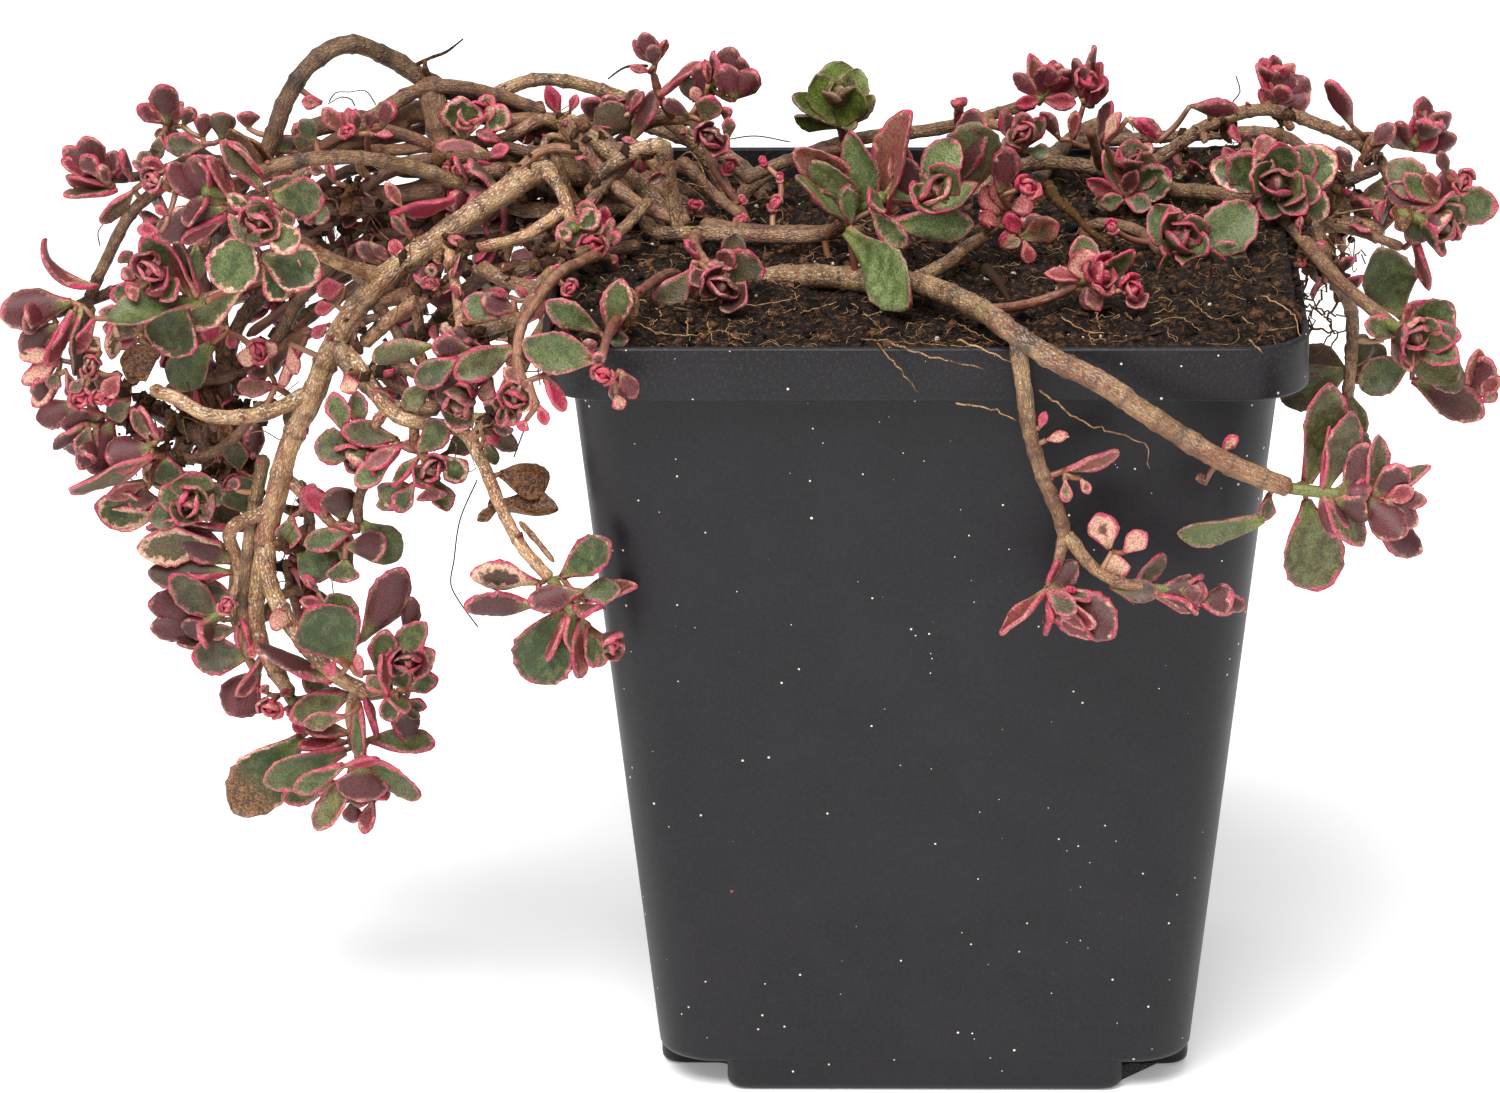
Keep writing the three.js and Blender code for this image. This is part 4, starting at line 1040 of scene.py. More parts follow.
# %% Leaves by base and tip
DRAWN_LEAVES = {
    "shoot_left_top": (8, [
        (176, 126, 179, 103, 10, "k"), (170, 132, 155, 136, 12, "P"), (183, 126, 193, 107, 14, "P"),
        (166, 124, 138, 106, 17, "P"), (168, 124, 161, 86, 26, "P"), (203, 138, 205, 115, 17, "P"),
        (222, 140, 222, 114, 24, "N"), (248, 128, 247, 112, 20, "P"), (165, 142, 152, 158, 14, "n"),
        (160, 136, 158, 152, 14, "n"), (205, 146, 165, 146, 23, "g"), (150, 168, 142, 152, 16, "n")]),
    "shoot_left_tip": (3, [
        (118, 178, 118, 163, 11, "g"), (132, 180, 120, 150, 8, "P"), (108, 182, 112, 152, 17, "P"),
        (104, 184, 83, 140, 27, "P"), (100, 182, 67, 148, 22, "P"), (98, 184, 62, 161, 11, "k"),
        (114, 186, 67, 181, 10, "k"), (118, 190, 66, 199, 9, "g"), (134, 190, 104, 223, 13, "g"),
        (110, 186, 101, 164, 13, "P"), (100, 178, 84, 155, 18, "P"), (150, 176, 134, 161, 9, "p")]),
    "rosette_left_purple": (-13, [
        (262, 176, 230, 140, 14, "c"), (262, 190, 222, 143, 26, "g"), (168, 172, 143, 160, 16, "k"),
        (170, 190, 142, 182, 14, "k"), (206, 206, 172, 163, 24, "P"), (236, 204, 212, 158, 11, "k"),
        (222, 208, 191, 160, 38, "P"), (226, 208, 156, 232, 32, "P"), (226, 216, 181, 238, 12, "k"),
        (168, 216, 156, 205, 10, "r"), (160, 232, 138, 228, 14, "r")]),
    "rosette_left_cream": (-23, [
        (272, 194, 323, 204, 40, "g"), (262, 262, 296, 290, 46, "c"), (262, 255, 318, 280, 46, "c"),
        (246, 228, 230, 291, 48, "c"), (282, 208, 292, 226, 15, "g"), (270, 203, 288, 238, 10, "c"),
        (252, 214, 228, 196, 15, "c"), (246, 222, 232, 232, 30, "g"), (260, 232, 258, 246, 34, "g")]),
    "rosette_left_green": (-9, [
        (243, 288, 187, 325, 32, "c"), (186, 306, 166, 353, 54, "c"), (130, 262, 122, 252, 16, "g"),
        (136, 280, 124, 268, 16, "k"), (150, 290, 111, 293, 22, "g"), (196, 296, 144, 241, 34, "g"),
        (198, 298, 186, 240, 11, "g"), (198, 300, 168, 244, 14, "k"), (205, 302, 110, 312, 24, "n"),
        (178, 284, 146, 290, 12, "r"), (140, 288, 128, 296, 18, "k")]),
    "rosette_left_edge": (-3, [
        (60, 298, 22, 298, 20, "n"), (60, 360, 25, 384, 20, "w"), (58, 384, 32, 404, 18, "w"),
        (58, 352, 20, 356, 16, "w"), (58, 324, 19, 350, 26, "P"), (72, 302, 3, 314, 38, "P"),
        (58, 372, 50, 388, 16, "g"), (82, 306, 66, 372, 9, "n"), (94, 318, 74, 356, 14, "k"),
        (74, 312, 44, 362, 10, "k"), (72, 310, 56, 352, 8, "g"), (66, 370, 72, 396, 9, "g")]),
    "rosette_left_low": (-4, [
        (140, 318, 100, 314, 18, "g"), (142, 334, 104, 328, 20, "g"), (140, 340, 116, 342, 16, "k"),
        (100, 352, 86, 338, 16, "c"), (112, 318, 113, 359, 15, "c"), (76, 404, 37, 418, 28, "P"),
        (104, 414, 60, 424, 24, "P"), (112, 420, 90, 470, 36, "P"), (98, 426, 80, 468, 22, "P"),
        (90, 424, 80, 456, 17, "g"), (84, 424, 56, 450, 10, "P"), (130, 400, 110, 418, 22, "n"),
        (148, 440, 134, 410, 15, "g"), (158, 440, 143, 404, 13, "k"), (152, 448, 107, 456, 36, "P"),
        (152, 456, 73, 489, 11, "g"), (120, 374, 104, 396, 18, "k"), (84, 378, 72, 392, 12, "g")]),
    "rosette_left_open": (-5, [
        (160, 516, 98, 500, 36, "e"), (160, 514, 104, 521, 24, "e"), (160, 500, 128, 500, 22, "p"),
        (150, 480, 106, 492, 14, "k"), (168, 490, 147, 464, 20, "c"), (165, 456, 172, 484, 30, "g"),
        (250, 515, 240, 478, 38, "d"), (202, 500, 222, 486, 26, "g"), (194, 500, 188, 471, 40, "g"),
        (190, 508, 161, 490, 28, "g"), (188, 512, 150, 516, 28, "g"), (202, 506, 214, 510, 26, "g"),
        (194, 514, 196, 522, 30, "g"), (236, 490, 234, 478, 12, "p")]),
    "rosette_trunk_side": (-6, [
        (218, 612, 151, 605, 34, "P"), (205, 630, 153, 624, 26, "P"), (216, 646, 178, 642, 12, "p"),
        (230, 528, 150, 521, 13, "p"), (232, 596, 204, 590, 22, "g"), (222, 545, 140, 542, 34, "e"),
        (234, 562, 182, 538, 32, "P"), (230, 572, 152, 571, 30, "N"), (226, 574, 188, 578, 7, "k"),
        (224, 620, 170, 580, 30, "g"), (236, 629, 207, 635, 16, "g"), (258, 672, 228, 711, 40, "P"),
        (250, 656, 194, 657, 36, "g"), (262, 655, 243, 698, 12, "k"), (240, 616, 254, 652, 7, "k"),
        (237, 624, 237, 648, 6, "c")]),
    "rosette_trunk_low": (-13, [(268, 694, 262, 686, 10, "p"), (278, 696, 290, 690, 8, "p")]),
    "rosette_fork_end": (-18, [
        (352, 640, 332, 596, 34, "d"), (330, 608, 300, 602, 14, "k"), (410, 640, 406, 600, 18, "D"),
        (362, 640, 407, 577, 34, "P"), (378, 674, 388, 629, 26, "g"), (386, 668, 427, 624, 26, "g"),
        (350, 664, 316, 606, 58, "g"), (410, 672, 436, 652, 24, "g"), (408, 690, 437, 678, 20, "g"),
        (396, 690, 386, 720, 22, "g"), (385, 694, 368, 676, 16, "g"), (388, 696, 376, 655, 12, "k"),
        (362, 676, 356, 656, 9, "k"), (335, 660, 328, 676, 12, "r")]),
    "rosette_lowest": (-14, [
        (302, 736, 237, 810, 54, "t"), (335, 782, 284, 798, 22, "g"), (350, 734, 305, 726, 18, "k"),
        (348, 742, 300, 748, 14, "k"), (306, 734, 294, 722, 12, "r"), (352, 694, 290, 712, 30, "g"),
        (346, 750, 264, 772, 28, "g"), (368, 740, 433, 742, 26, "g"), (408, 744, 404, 713, 24, "P"),
        (404, 700, 426, 708, 13, "g"), (400, 706, 420, 717, 11, "d"), (364, 696, 377, 736, 8, "k"),
        (360, 704, 362, 758, 14, "g"), (352, 802, 353, 823, 18, "P"), (374, 800, 362, 831, 16, "k"),
        (352, 774, 322, 829, 26, "g"), (362, 756, 420, 794, 26, "g"), (345, 716, 304, 720, 16, "g"),
        (344, 764, 296, 790, 20, "g"), (362, 764, 364, 800, 48, "P"), (344, 766, 378, 757, 8, "r")]),
    "rosette_under_left": (-24, [
        (448, 452, 472, 440, 22, "g"), (388, 486, 400, 508, 34, "g"), (404, 484, 384, 504, 30, "g"),
        (392, 460, 355, 482, 24, "g"), (402, 446, 367, 467, 18, "k"), (418, 452, 448, 424, 28, "g"),
        (442, 456, 464, 480, 26, "c"), (420, 456, 394, 486, 13, "g"), (414, 484, 398, 512, 20, "g"),
        (432, 486, 434, 500, 30, "k")]),
    "rosette_under_small": (-20, [
        (400, 410, 372, 390, 14, "g"), (360, 430, 354, 394, 18, "g"), (346, 432, 337, 392, 22, "g"),
        (398, 440, 343, 430, 26, "g"), (358, 448, 316, 450, 34, "g"), (392, 446, 366, 446, 8, "k"),
        (345, 374, 353, 393, 18, "w"), (400, 444, 412, 446, 10, "k")]),
    "rosette_dangling": (-27, [
        (432, 346, 374, 358, 22, "N"), (430, 384, 404, 406, 22, "n"), (472, 350, 433, 344, 24, "P"),
        (456, 372, 440, 402, 24, "D"), (478, 384, 460, 418, 15, "k"), (492, 378, 484, 402, 17, "o"),
        (458, 358, 419, 386, 28, "g"), (516, 346, 456, 374, 32, "g"), (500, 316, 464, 304, 28, "g"),
        (516, 312, 484, 296, 22, "P"), (510, 297, 494, 287, 10, "r"), (530, 300, 516, 287, 8, "k"),
        (527, 322, 542, 297, 22, "k"), (474, 414, 506, 428, 18, "d"), (478, 424, 518, 446, 20, "d"),
        (484, 440, 497, 464, 13, "d")]),
    "rosette_crown_front": (-8, [
        (586, 262, 560, 262, 16, "g"), (576, 262, 596, 258, 14, "k"), (604, 228, 604, 206, 12, "r"),
        (590, 226, 588, 201, 20, "g"), (602, 240, 614, 220, 9, "c"), (606, 246, 620, 234, 14, "k"),
        (584, 246, 560, 226, 30, "g"), (592, 234, 604, 224, 14, "g"), (606, 256, 618, 262, 10, "k")]),
    "rosette_soil_left": (-26, [
        (728, 262, 738, 236, 22, "n"), (736, 284, 748, 252, 40, "g"), (700, 262, 686, 240, 7, "k"),
        (692, 270, 659, 314, 30, "g"), (692, 262, 693, 296, 12, "k"), (704, 266, 736, 262, 11, "k")]),
    "shoot_crown_top": (18, [
        (660, 96, 700, 64, 8, "k"), (692, 100, 684, 78, 15, "n"), (735, 96, 741, 58, 18, "P"),
        (722, 96, 728, 50, 27, "P"), (704, 98, 701, 63, 18, "P"), (730, 100, 756, 72, 24, "P"),
        (708, 84, 705, 61, 7, "k"), (735, 100, 722, 67, 24, "P"), (698, 104, 692, 88, 12, "o"),
        (690, 116, 664, 100, 14, "P"), (726, 122, 727, 107, 11, "P"), (704, 122, 713, 96, 24, "g"),
        (728, 138, 730, 118, 12, "g")]),
    "rosette_centre": (-10, [
        (958, 205, 975, 122, 50, "N"), (1000, 195, 1008, 148, 26, "P"), (950, 190, 982, 116, 34, "P"),
        (872, 200, 802, 147, 26, "k"), (870, 208, 814, 162, 22, "n"), (850, 226, 800, 176, 16, "n"),
        (846, 226, 852, 184, 18, "n"), (878, 216, 850, 136, 34, "g"), (888, 214, 897, 112, 17, "k"),
        (900, 205, 906, 150, 20, "k"), (925, 192, 952, 142, 36, "g"), (918, 204, 898, 160, 26, "P"),
        (890, 222, 970, 226, 34, "g"), (926, 216, 980, 192, 22, "g"), (870, 206, 903, 250, 24, "c"),
        (850, 226, 846, 186, 16, "n")]),
    "centre_long_leaf": (-24, [(848, 230, 918, 306, 30, "n", 11)]),
    "rosette_coral": (-7, [
        (1000, 215, 984, 188, 24, "o"), (1004, 210, 998, 180, 22, "o"), (1010, 208, 1032, 204, 20, "o"),
        (998, 226, 980, 212, 14, "o"), (1012, 226, 1000, 246, 12, "k"), (1020, 234, 1008, 212, 16, "r"),
        (1022, 238, 1058, 222, 26, "d"), (1024, 240, 1030, 264, 14, "k"),
        (1004, 248, 1020, 240, 12, "n")]),
    "dark_rose_leaves": (33, [
        (1020, 148, 1004, 112, 16, "P"), (1024, 148, 1042, 116, 18, "g"),
        (1016, 150, 1004, 138, 14, "g"), (1028, 152, 1050, 152, 16, "n"),
        (1022, 152, 1022, 112, 20, "P")]),
    "second_red_leaves": (38, [
        (1092, 108, 1090, 49, 11, "P"), (1093, 106, 1101, 62, 13, "k"), (1096, 104, 1106, 76, 12, "P"),
        (1084, 104, 1072, 62, 10, "P"), (1098, 146, 1112, 104, 13, "p"), (1082, 98, 1082, 66, 12, "P"),
        (1060, 140, 1042, 112, 14, "P"), (1072, 140, 1078, 112, 12, "k")]),
    "right_shoot_leaves": (-58, [
        (1306, 482, 1334, 390, 28, "g"), (1306, 500, 1316, 590, 58, "g"),
        (1376, 520, 1418, 556, 30, "P")]),
    "right_edge_leaves": (0, [
        (1414, 236, 1433, 288, 10, "k"), (1448, 176, 1440, 152, 12, "P"),
        (1470, 214, 1452, 236, 14, "g")]),
    "far_right_leaves": (-16, [
        (1403, 317, 1370, 250, 46, "n"), (1412, 360, 1360, 384, 36, "d"),
        (1412, 380, 1484, 408, 36, "p"), (1466, 398, 1478, 352, 16, "k"),
        (1474, 396, 1490, 358, 26, "P"), (1478, 398, 1498, 374, 16, "k"),
        (1482, 402, 1496, 392, 12, "g")]),
    "crown_bud_leaves": (20, [
        (655, 64, 634, 42, 9, "k"), (652, 60, 652, 40, 15, "P"), (657, 62, 665, 39, 8, "k"),
        (650, 62, 645, 34, 18, "P"), (650, 72, 631, 65, 8, "k"), (656, 66, 652, 46, 14, "P")]),
    "dry_leaves": (-36, [
        (500, 474, 548, 478, 36, "b"), (488, 505, 556, 516, 14, "b"), (500, 505, 476, 518, 10, "b")]),
    "orange_leaf": (-6, [(270, 175, 234, 124, 17, "b"), (278, 172, 248, 130, 12, "b")]),
    "rosette_arch_foot": (10, [
        (488, 112, 488, 97, 10, "k"), (464, 138, 462, 97, 38, "c"), (488, 132, 505, 107, 26, "c"),
        (500, 142, 478, 130, 12, "k"), (486, 152, 437, 145, 17, "k"), (488, 158, 508, 146, 14, "r"),
        (500, 168, 470, 166, 12, "r")]),
    "rosette_crown_top": (24, [
        (590, 122, 596, 97, 22, "P"), (612, 116, 606, 96, 18, "P"), (560, 116, 546, 88, 15, "r"),
        (570, 112, 577, 96, 9, "r"), (546, 116, 532, 106, 18, "P"), (600, 142, 616, 104, 32, "N"),
        (630, 114, 641, 92, 10, "k"), (632, 140, 652, 93, 15, "P"), (640, 144, 622, 140, 8, "k")]),
    "rosette_hanging": (-47, [
        (585, 603, 633, 581, 8, "k"), (539, 583, 474, 570, 23, "E"), (562, 577, 609, 540, 34, "g"),
        (579, 593, 621, 593, 25, "g"), (535, 605, 467, 605, 25, "P"), (567, 609, 525, 677, 56, "g"),
        (595, 633, 600, 667, 22, "g"), (587, 623, 589, 667, 13, "g"), (580, 617, 573, 675, 12, "k"),
        (567, 615, 550, 661, 15, "k"), (583, 591, 530, 604, 27, "P")]),
    "left_above_leaves": (6, [
        (322, 103, 302, 102, 14, "k"), (298, 142, 297, 124, 10, "k"), (288, 152, 282, 136, 24, "g"),
        (300, 152, 303, 132, 15, "g"), (382, 128, 390, 103, 17, "P"), (368, 130, 372, 111, 11, "P"),
        (346, 134, 325, 108, 17, "k"), (352, 132, 346, 109, 12, "o"), (357, 134, 356, 109, 10, "P"),
        (374, 135, 392, 135, 6, "k"), (262, 180, 252, 160, 14, "g"), (326, 172, 310, 168, 11, "p"),
        (335, 182, 328, 161, 8, "k"), (290, 182, 284, 158, 11, "k"), (272, 178, 232, 168, 14, "g")]),
    "left_curled_leaves": (-8, [
        (390, 214, 451, 197, 16, "r"), (402, 208, 386, 184, 12, "k"), (412, 238, 394, 216, 12, "p"),
        (385, 264, 358, 245, 17, "P"), (370, 242, 386, 260, 12, "P"), (428, 262, 403, 256, 19, "g"),
        (432, 280, 432, 264, 12, "c"), (446, 292, 446, 280, 9, "g"), (444, 262, 460, 276, 16, "k"),
        (470, 244, 448, 240, 10, "k"), (345, 286, 318, 292, 20, "r"), (336, 305, 316, 312, 14, "r"),
        (290, 344, 297, 374, 14, "o"), (328, 324, 312, 336, 12, "r")]),
    "left_hidden_leaves": (-2, [
        (226, 326, 202, 336, 20, "r"), (228, 332, 234, 348, 13, "r"), (212, 344, 174, 388, 38, "d"),
        (276, 386, 239, 390, 20, "k"), (270, 374, 248, 372, 13, "P"), (258, 414, 253, 458, 18, "P"),
        (230, 440, 221, 420, 12, "b"), (262, 476, 258, 464, 10, "r"), (250, 345, 246, 366, 18, "w"),
        (262, 340, 274, 356, 18, "w"), (160, 352, 122, 362, 36, "b"), (140, 372, 128, 380, 24, "b"),
        (300, 350, 282, 386, 14, "w")]),
    "under_trunk_leaves": (-13, [
        (298, 548, 326, 578, 36, "n"), (292, 516, 290, 547, 28, "g"), (300, 512, 313, 484, 13, "P"),
        (326, 516, 306, 490, 22, "r"), (344, 520, 334, 490, 32, "D"), (352, 532, 306, 545, 22, "g"),
        (362, 522, 396, 560, 38, "n"), (346, 546, 386, 548, 24, "P", 3), (336, 525, 358, 528, 7, "k"),
        (345, 560, 343, 582, 30, "g"), (318, 592, 305, 575, 10, "p"), (290, 622, 270, 618, 22, "o"),
        (332, 682, 264, 640, 17, "P")]),
    "rim_leaves": (-46, [
        (600, 332, 549, 303, 26, "g"), (625, 330, 634, 292, 16, "b"), (605, 338, 628, 342, 16, "n"),
        (612, 336, 615, 281, 27, "c")]),
    "over_rim_leaves": (-58, [
        (600, 360, 524, 346, 40, "g"), (590, 356, 589, 340, 14, "P"), (545, 375, 560, 412, 12, "r"),
        (538, 404, 547, 424, 12, "r"), (526, 420, 520, 430, 13, "k"), (520, 384, 504, 368, 12, "k"),
        (612, 378, 621, 402, 15, "P"), (620, 370, 636, 398, 18, "P"), (616, 394, 622, 409, 14, "o"),
        (600, 366, 598, 352, 12, "p")]),
    "front_stem_leaves": (-56, [
        (1110, 548, 1098, 514, 27, "w"), (1112, 552, 1119, 578, 26, "w"),
        (1124, 552, 1144, 530, 20, "w"), (1065, 470, 1119, 457, 12, "k"),
        (1080, 478, 1090, 493, 10, "k"), (1046, 440, 1067, 435, 11, "o"),
        (1040, 428, 1046, 413, 9, "r"), (1065, 480, 1068, 502, 12, "g"),
        (1222, 452, 1236, 434, 12, "o"), (1270, 494, 1262, 520, 16, "g"),
        (1264, 518, 1181, 535, 24, "n"), (1204, 484, 1200, 474, 9, "b")]),
    "right_small_leaves": (14, [
        (1128, 118, 1161, 134, 14, "k"), (1105, 142, 1120, 112, 12, "w"),
        (1158, 142, 1140, 120, 10, "r"), (1190, 106, 1236, 112, 18, "P"),
        (1352, 126, 1328, 80, 20, "P"), (1297, 260, 1296, 236, 16, "g"),
        (1320, 252, 1318, 234, 13, "k"), (1262, 252, 1262, 236, 12, "g"),
        (1058, 230, 1020, 222, 20, "P"), (1310, 214, 1330, 206, 12, "k"),
        (1240, 170, 1222, 150, 14, "g"), (1395, 192, 1376, 232, 22, "d"),
        (1384, 178, 1366, 206, 20, "d"), (1350, 176, 1336, 150, 18, "P"),
        (1360, 160, 1384, 132, 16, "b"), (1318, 176, 1300, 200, 14, "d"),
        (1370, 146, 1392, 124, 18, "P")]),
}
print("leaves by base and tip:", sum(len(rows) for _, rows in DRAWN_LEAVES.values()))

# %% [markdown]
# ## Bark
#
# The stems are tan to grey, with fine cracks that part the bark in small
# plates, darker swollen rings where leaves once grew, and patches of lichen
# green. Silvery flecks sit on the side that faces up, to the front and a
# little left: partly real pale bark, partly a painted highlight from the
# main lamp. Young shoots are smooth and reddish instead. The tube carries
# how young it is, where its rings are, how pale it is and its own unrolled
# place, so that the pattern follows every bend.

# %% Bark material
BARK_LABELS = ("cross", "over", "along", "young", "ring", "scar", "tone")
# The side where the silvery flecks gather: up, to the front and a little left, towards the main lamp. The
# flecks there are partly a painted highlight.
WEATHER_AND_LIGHT_SIDE = (-0.25, -0.6, 0.76)
BARK_SHINE = 0.6
DARKEST, PALEST = (0.4, 0.35, 0.32, 1), (1.62, 1.58, 1.52, 1)


def cell_edges(tree, place, scale):
    """How far a place lies from the edge of its cell, in a pattern of cells."""
    cells = {"Vector": place, "Scale": scale, "Randomness": 1.0}
    return add_node(tree, "TexVoronoi", cells, feature="DISTANCE_TO_EDGE").outputs["Distance"]


bark_finish, tree, shader = new_finish("bark")
unrolled_axes = {axis: read_value(tree, label) for axis, label in zip("XYZ", ("cross", "over", "along"))}
unrolled = add_node(tree, "CombineXYZ", unrolled_axes).outputs[0]
warp = cloud(tree, unrolled, 1.3, 3.0)
young, ring_mark = read_value(tree, "young"), read_value(tree, "ring")
warped = vector_maths(tree, "ADD", unrolled, warp)
plates, scales = cell_edges(tree, warped, 0.8), cell_edges(tree, warped, 2.3)
crack = ramp(tree, plates, 0.02, 0.14, 1.0, 0.0)
crack = times(tree, crack, ramp(tree, cloud(tree, unrolled, 0.4), 0.45, 0.6))
fine_crack = ramp(tree, scales, 0.02, 0.2, 1.0, 0.0)
woody = minus(tree, 1.0, young)
mottle = cloud(tree, unrolled, 0.35, 4.0, 0.5)
stretched = vector_maths(tree, "MULTIPLY", unrolled, (3.6, 3.6, 0.9))
grain = cloud(tree, stretched, 1.0, 4.0, 0.3)
colour = mix_colours(tree, ramp(tree, mottle, 0.35, 0.65), srgb(138, 94, 58), srgb(190, 156, 114))
lichen = ramp(tree, cloud(tree, unrolled, 0.22, 3.0), 0.5, 0.7, 0.0, 0.45)
colour = mix_colours(tree, lichen, colour, srgb(158, 138, 66))
colour = mix_colours(tree, ramp(tree, grain, 0.42, 0.7, 0.0, 0.6), colour, srgb(104, 66, 46))
stains = cloud(tree, unrolled, 0.5, 5.0, 1.0)
colour = mix_colours(tree, ramp(tree, stains, 0.55, 0.68, 0.0, 0.6), colour, srgb(84, 50, 36))
all_cracks = arithmetic(tree, "MAXIMUM", crack, times(tree, fine_crack, 0.55))
cracks = times(tree, all_cracks, woody)
colour = mix_colours(tree, times(tree, cracks, 0.6), colour, srgb(74, 46, 32))
fresh = mix_colours(tree, ramp(tree, mottle, 0.4, 0.7), srgb(124, 66, 50), srgb(150, 102, 66))
fresh = mix_colours(tree, ramp(tree, grain, 0.35, 0.75, 0.0, 0.4), fresh, srgb(92, 50, 42))
colour = mix_colours(tree, young, colour, fresh)
colour = mix_colours(tree, times(tree, ring_mark, 0.8), colour, srgb(82, 50, 38))
colour = mix_colours(tree, read_value(tree, "scar"), colour, srgb(46, 33, 27))
# Silvery flecks on the side that faces the main lamp: partly real pale bark, partly a painted highlight.
normal = add_node(tree, "NewGeometry").outputs["Normal"]
faces_weather_and_light = vector_maths(tree, "DOT_PRODUCT", normal, WEATHER_AND_LIGHT_SIDE, "Value")
speckle = ramp(tree, cloud(tree, unrolled, 3.2, 2.0), 0.5, 0.66)
flecks_and_painted_highlight = times(tree, speckle, ramp(tree, faces_weather_and_light, 0.2, 0.95))
flecks_and_painted_highlight = times(tree, flecks_and_painted_highlight, ramp(tree, read_value(tree, "tone"), 0.2, 0.95, 0.2, 0.75))
flecks_and_painted_highlight = times(tree, flecks_and_painted_highlight, ramp(tree, young, 0.0, 1.0, 1.0, 0.4))
colour = mix_colours(tree, flecks_and_painted_highlight, colour, srgb(208, 194, 178))
darker = mix_colours(tree, 1.0, colour, DARKEST, "MULTIPLY")
lighter = mix_colours(tree, 1.0, colour, PALEST, "MULTIPLY")
colour = mix_colours(tree, read_value(tree, "tone"), darker, lighter)
height = minus(tree, times(tree, grain, 0.6), cracks)
rough = ramp(tree, grain, 0.3, 0.7, 0.34, 0.56)
wire_finish(tree, shader, colour, rough, height, 0.42)
shader.inputs["Specular IOR Level"].default_value = BARK_SHINE
print("nodes in the bark:", len(tree.nodes))

# %% Stems
STEM_SIDES, STEM_STEP = 12, 0.65
YOUNG_BELOW, WOODY_ABOVE = 0.7, 1.15
TIP_SHARE, USUAL_TONE = 0.8, 0.42
RING_WIDTH, RING_SWELL = 0.38, 0.15
PATTERN_SHIFT = 500
nodes_on_stems = []
centre_lines = []


def grow_stem(heap, radius, route, youth=None, tone=USUAL_TONE, sides=STEM_SIDES, step=STEM_STEP):
    """One tapering stem with swollen rings, knobs and a rounded tip."""
    line = smooth_route(route, step)
    centre_lines.append(line)
    walked = np.concatenate([[0], np.cumsum(np.linalg.norm(np.diff(line, axis=0), axis=1))])
    share = walked / walked[-1]
    marks, at = [], rng.uniform(1, 4)
    while at < walked[-1]:
        marks.append(at)
        at += rng.uniform(2.6, 5.2) * (0.7 + 0.35 * radius)
    ring = np.zeros(len(line))
    for mark in marks:
        ring = np.maximum(ring, np.exp(-((walked - mark) / RING_WIDTH) ** 2))
        nodes_on_stems.append((line[np.searchsorted(walked, mark) - 1], radius))
    lumps = np.array([noise.noise(Vector(p) * 0.3) for p in line])
    thick = radius * (1 - (1 - TIP_SHARE) * share) * (1 + RING_SWELL * ring + 0.08 * lumps)
    thick *= np.sqrt(np.clip((walked[-1] - walked) / 0.8 + 0.15, 0, 1) * np.clip(walked / 0.8 + 0.15, 0, 1))
    youth = 1 - smoothstep(radius, YOUNG_BELOW, WOODY_ABOVE) if youth is None else youth
    young = np.clip(youth + 0.35 * smoothstep(share, 0.45, 1.0), 0, 1)
    scar = smoothstep([noise.noise(Vector(p) * 0.21 + Vector((9, 0, 0))) for p in line], 0.42, 0.6) * 0.7
    angle = np.linspace(0, 2 * np.pi, sides + 1)[:-1]
    unrolled = {"cross": radius * np.cos(angle), "over": radius * np.sin(angle)}
    add_tube(heap, line, thick, sides, along=walked * 0.6 + rng.uniform(0, PATTERN_SHIFT), young=young,
             ring=ring, scar=scar * (1 - youth), tone=tone + rng.uniform(-0.12, 0.12))
    for label, around in unrolled.items():
        heap.values[label][-1] = np.tile(around, len(line))
    knobs = heap.points[-1]
    core = np.repeat(line, sides, axis=0)
    swell = np.array([noise.fractal(Vector(p) * 0.75, 1.0, 2.0, 2) for p in knobs])
    heap.points[-1] = core + (knobs - core) * (1 + 0.1 * swell[:, None])


# A tone is 0 for the darkest bark and 1 for the palest. Tones are mostly the bark's own colour. The left
# trunk is set palest partly as a painted highlight, and the stems deep in the tangle get low tones partly
# as painted shade.
STEM_TONES = {
    "left_trunk": 1.0, "front_trunk": 0.55, "arched_stem": 0.02, "left_middle_stem": 0.48,
    "back_arch_stem": 0.7, "cut_stem": 0.72, "crossing_stem": 0.6, "centre_runner": 0.66,
}
for name, parts in STEMS.items():
    stem_heap = Heap(*BARK_LABELS)
    for radius, route in parts:
        grow_stem(stem_heap, radius, route, tone=STEM_TONES.get(name, USUAL_TONE))
    stem_heap.piece(name + "_bark", bark_finish, "bark", name)
print("stems:", len(STEMS), "rings on them:", len(nodes_on_stems))
# %% [markdown]
# ## One leaf
#
# A leaf is spoon-shaped: a narrow stalk-like base, widest past the middle, a
# blunt tip and small round teeth. It is fleshy, a little over a millimetre
# thick, and cupped. It may bend up or back, swing aside and twist. We sweep a
# thin lens-shaped ring from base to tip. The ring knows its distance from
# the margin, which becomes the pink rim later.

# %% A leaf's mesh
LEAF_LABELS = ("rim", "along", "under", "flush", "pale", "blush", "dry", "chance")
# Across the leaf, -1 and 1 are its margins. The ring runs over the upper side and back below.
ACROSS = 9
FEWEST_ROWS, MOST_ROWS = 7, 19
COLUMNS = np.sin(np.linspace(-1, 1, ACROSS) * np.pi / 2)
AROUND = np.concatenate([COLUMNS[::-1], COLUMNS[1:-1]])
SHEET = np.concatenate([np.ones(ACROSS), -np.ones(ACROSS - 2)])
LEAF_FACES = {rows: loft_faces(rows, len(AROUND)) for rows in range(FEWEST_ROWS, MOST_ROWS + 1)}


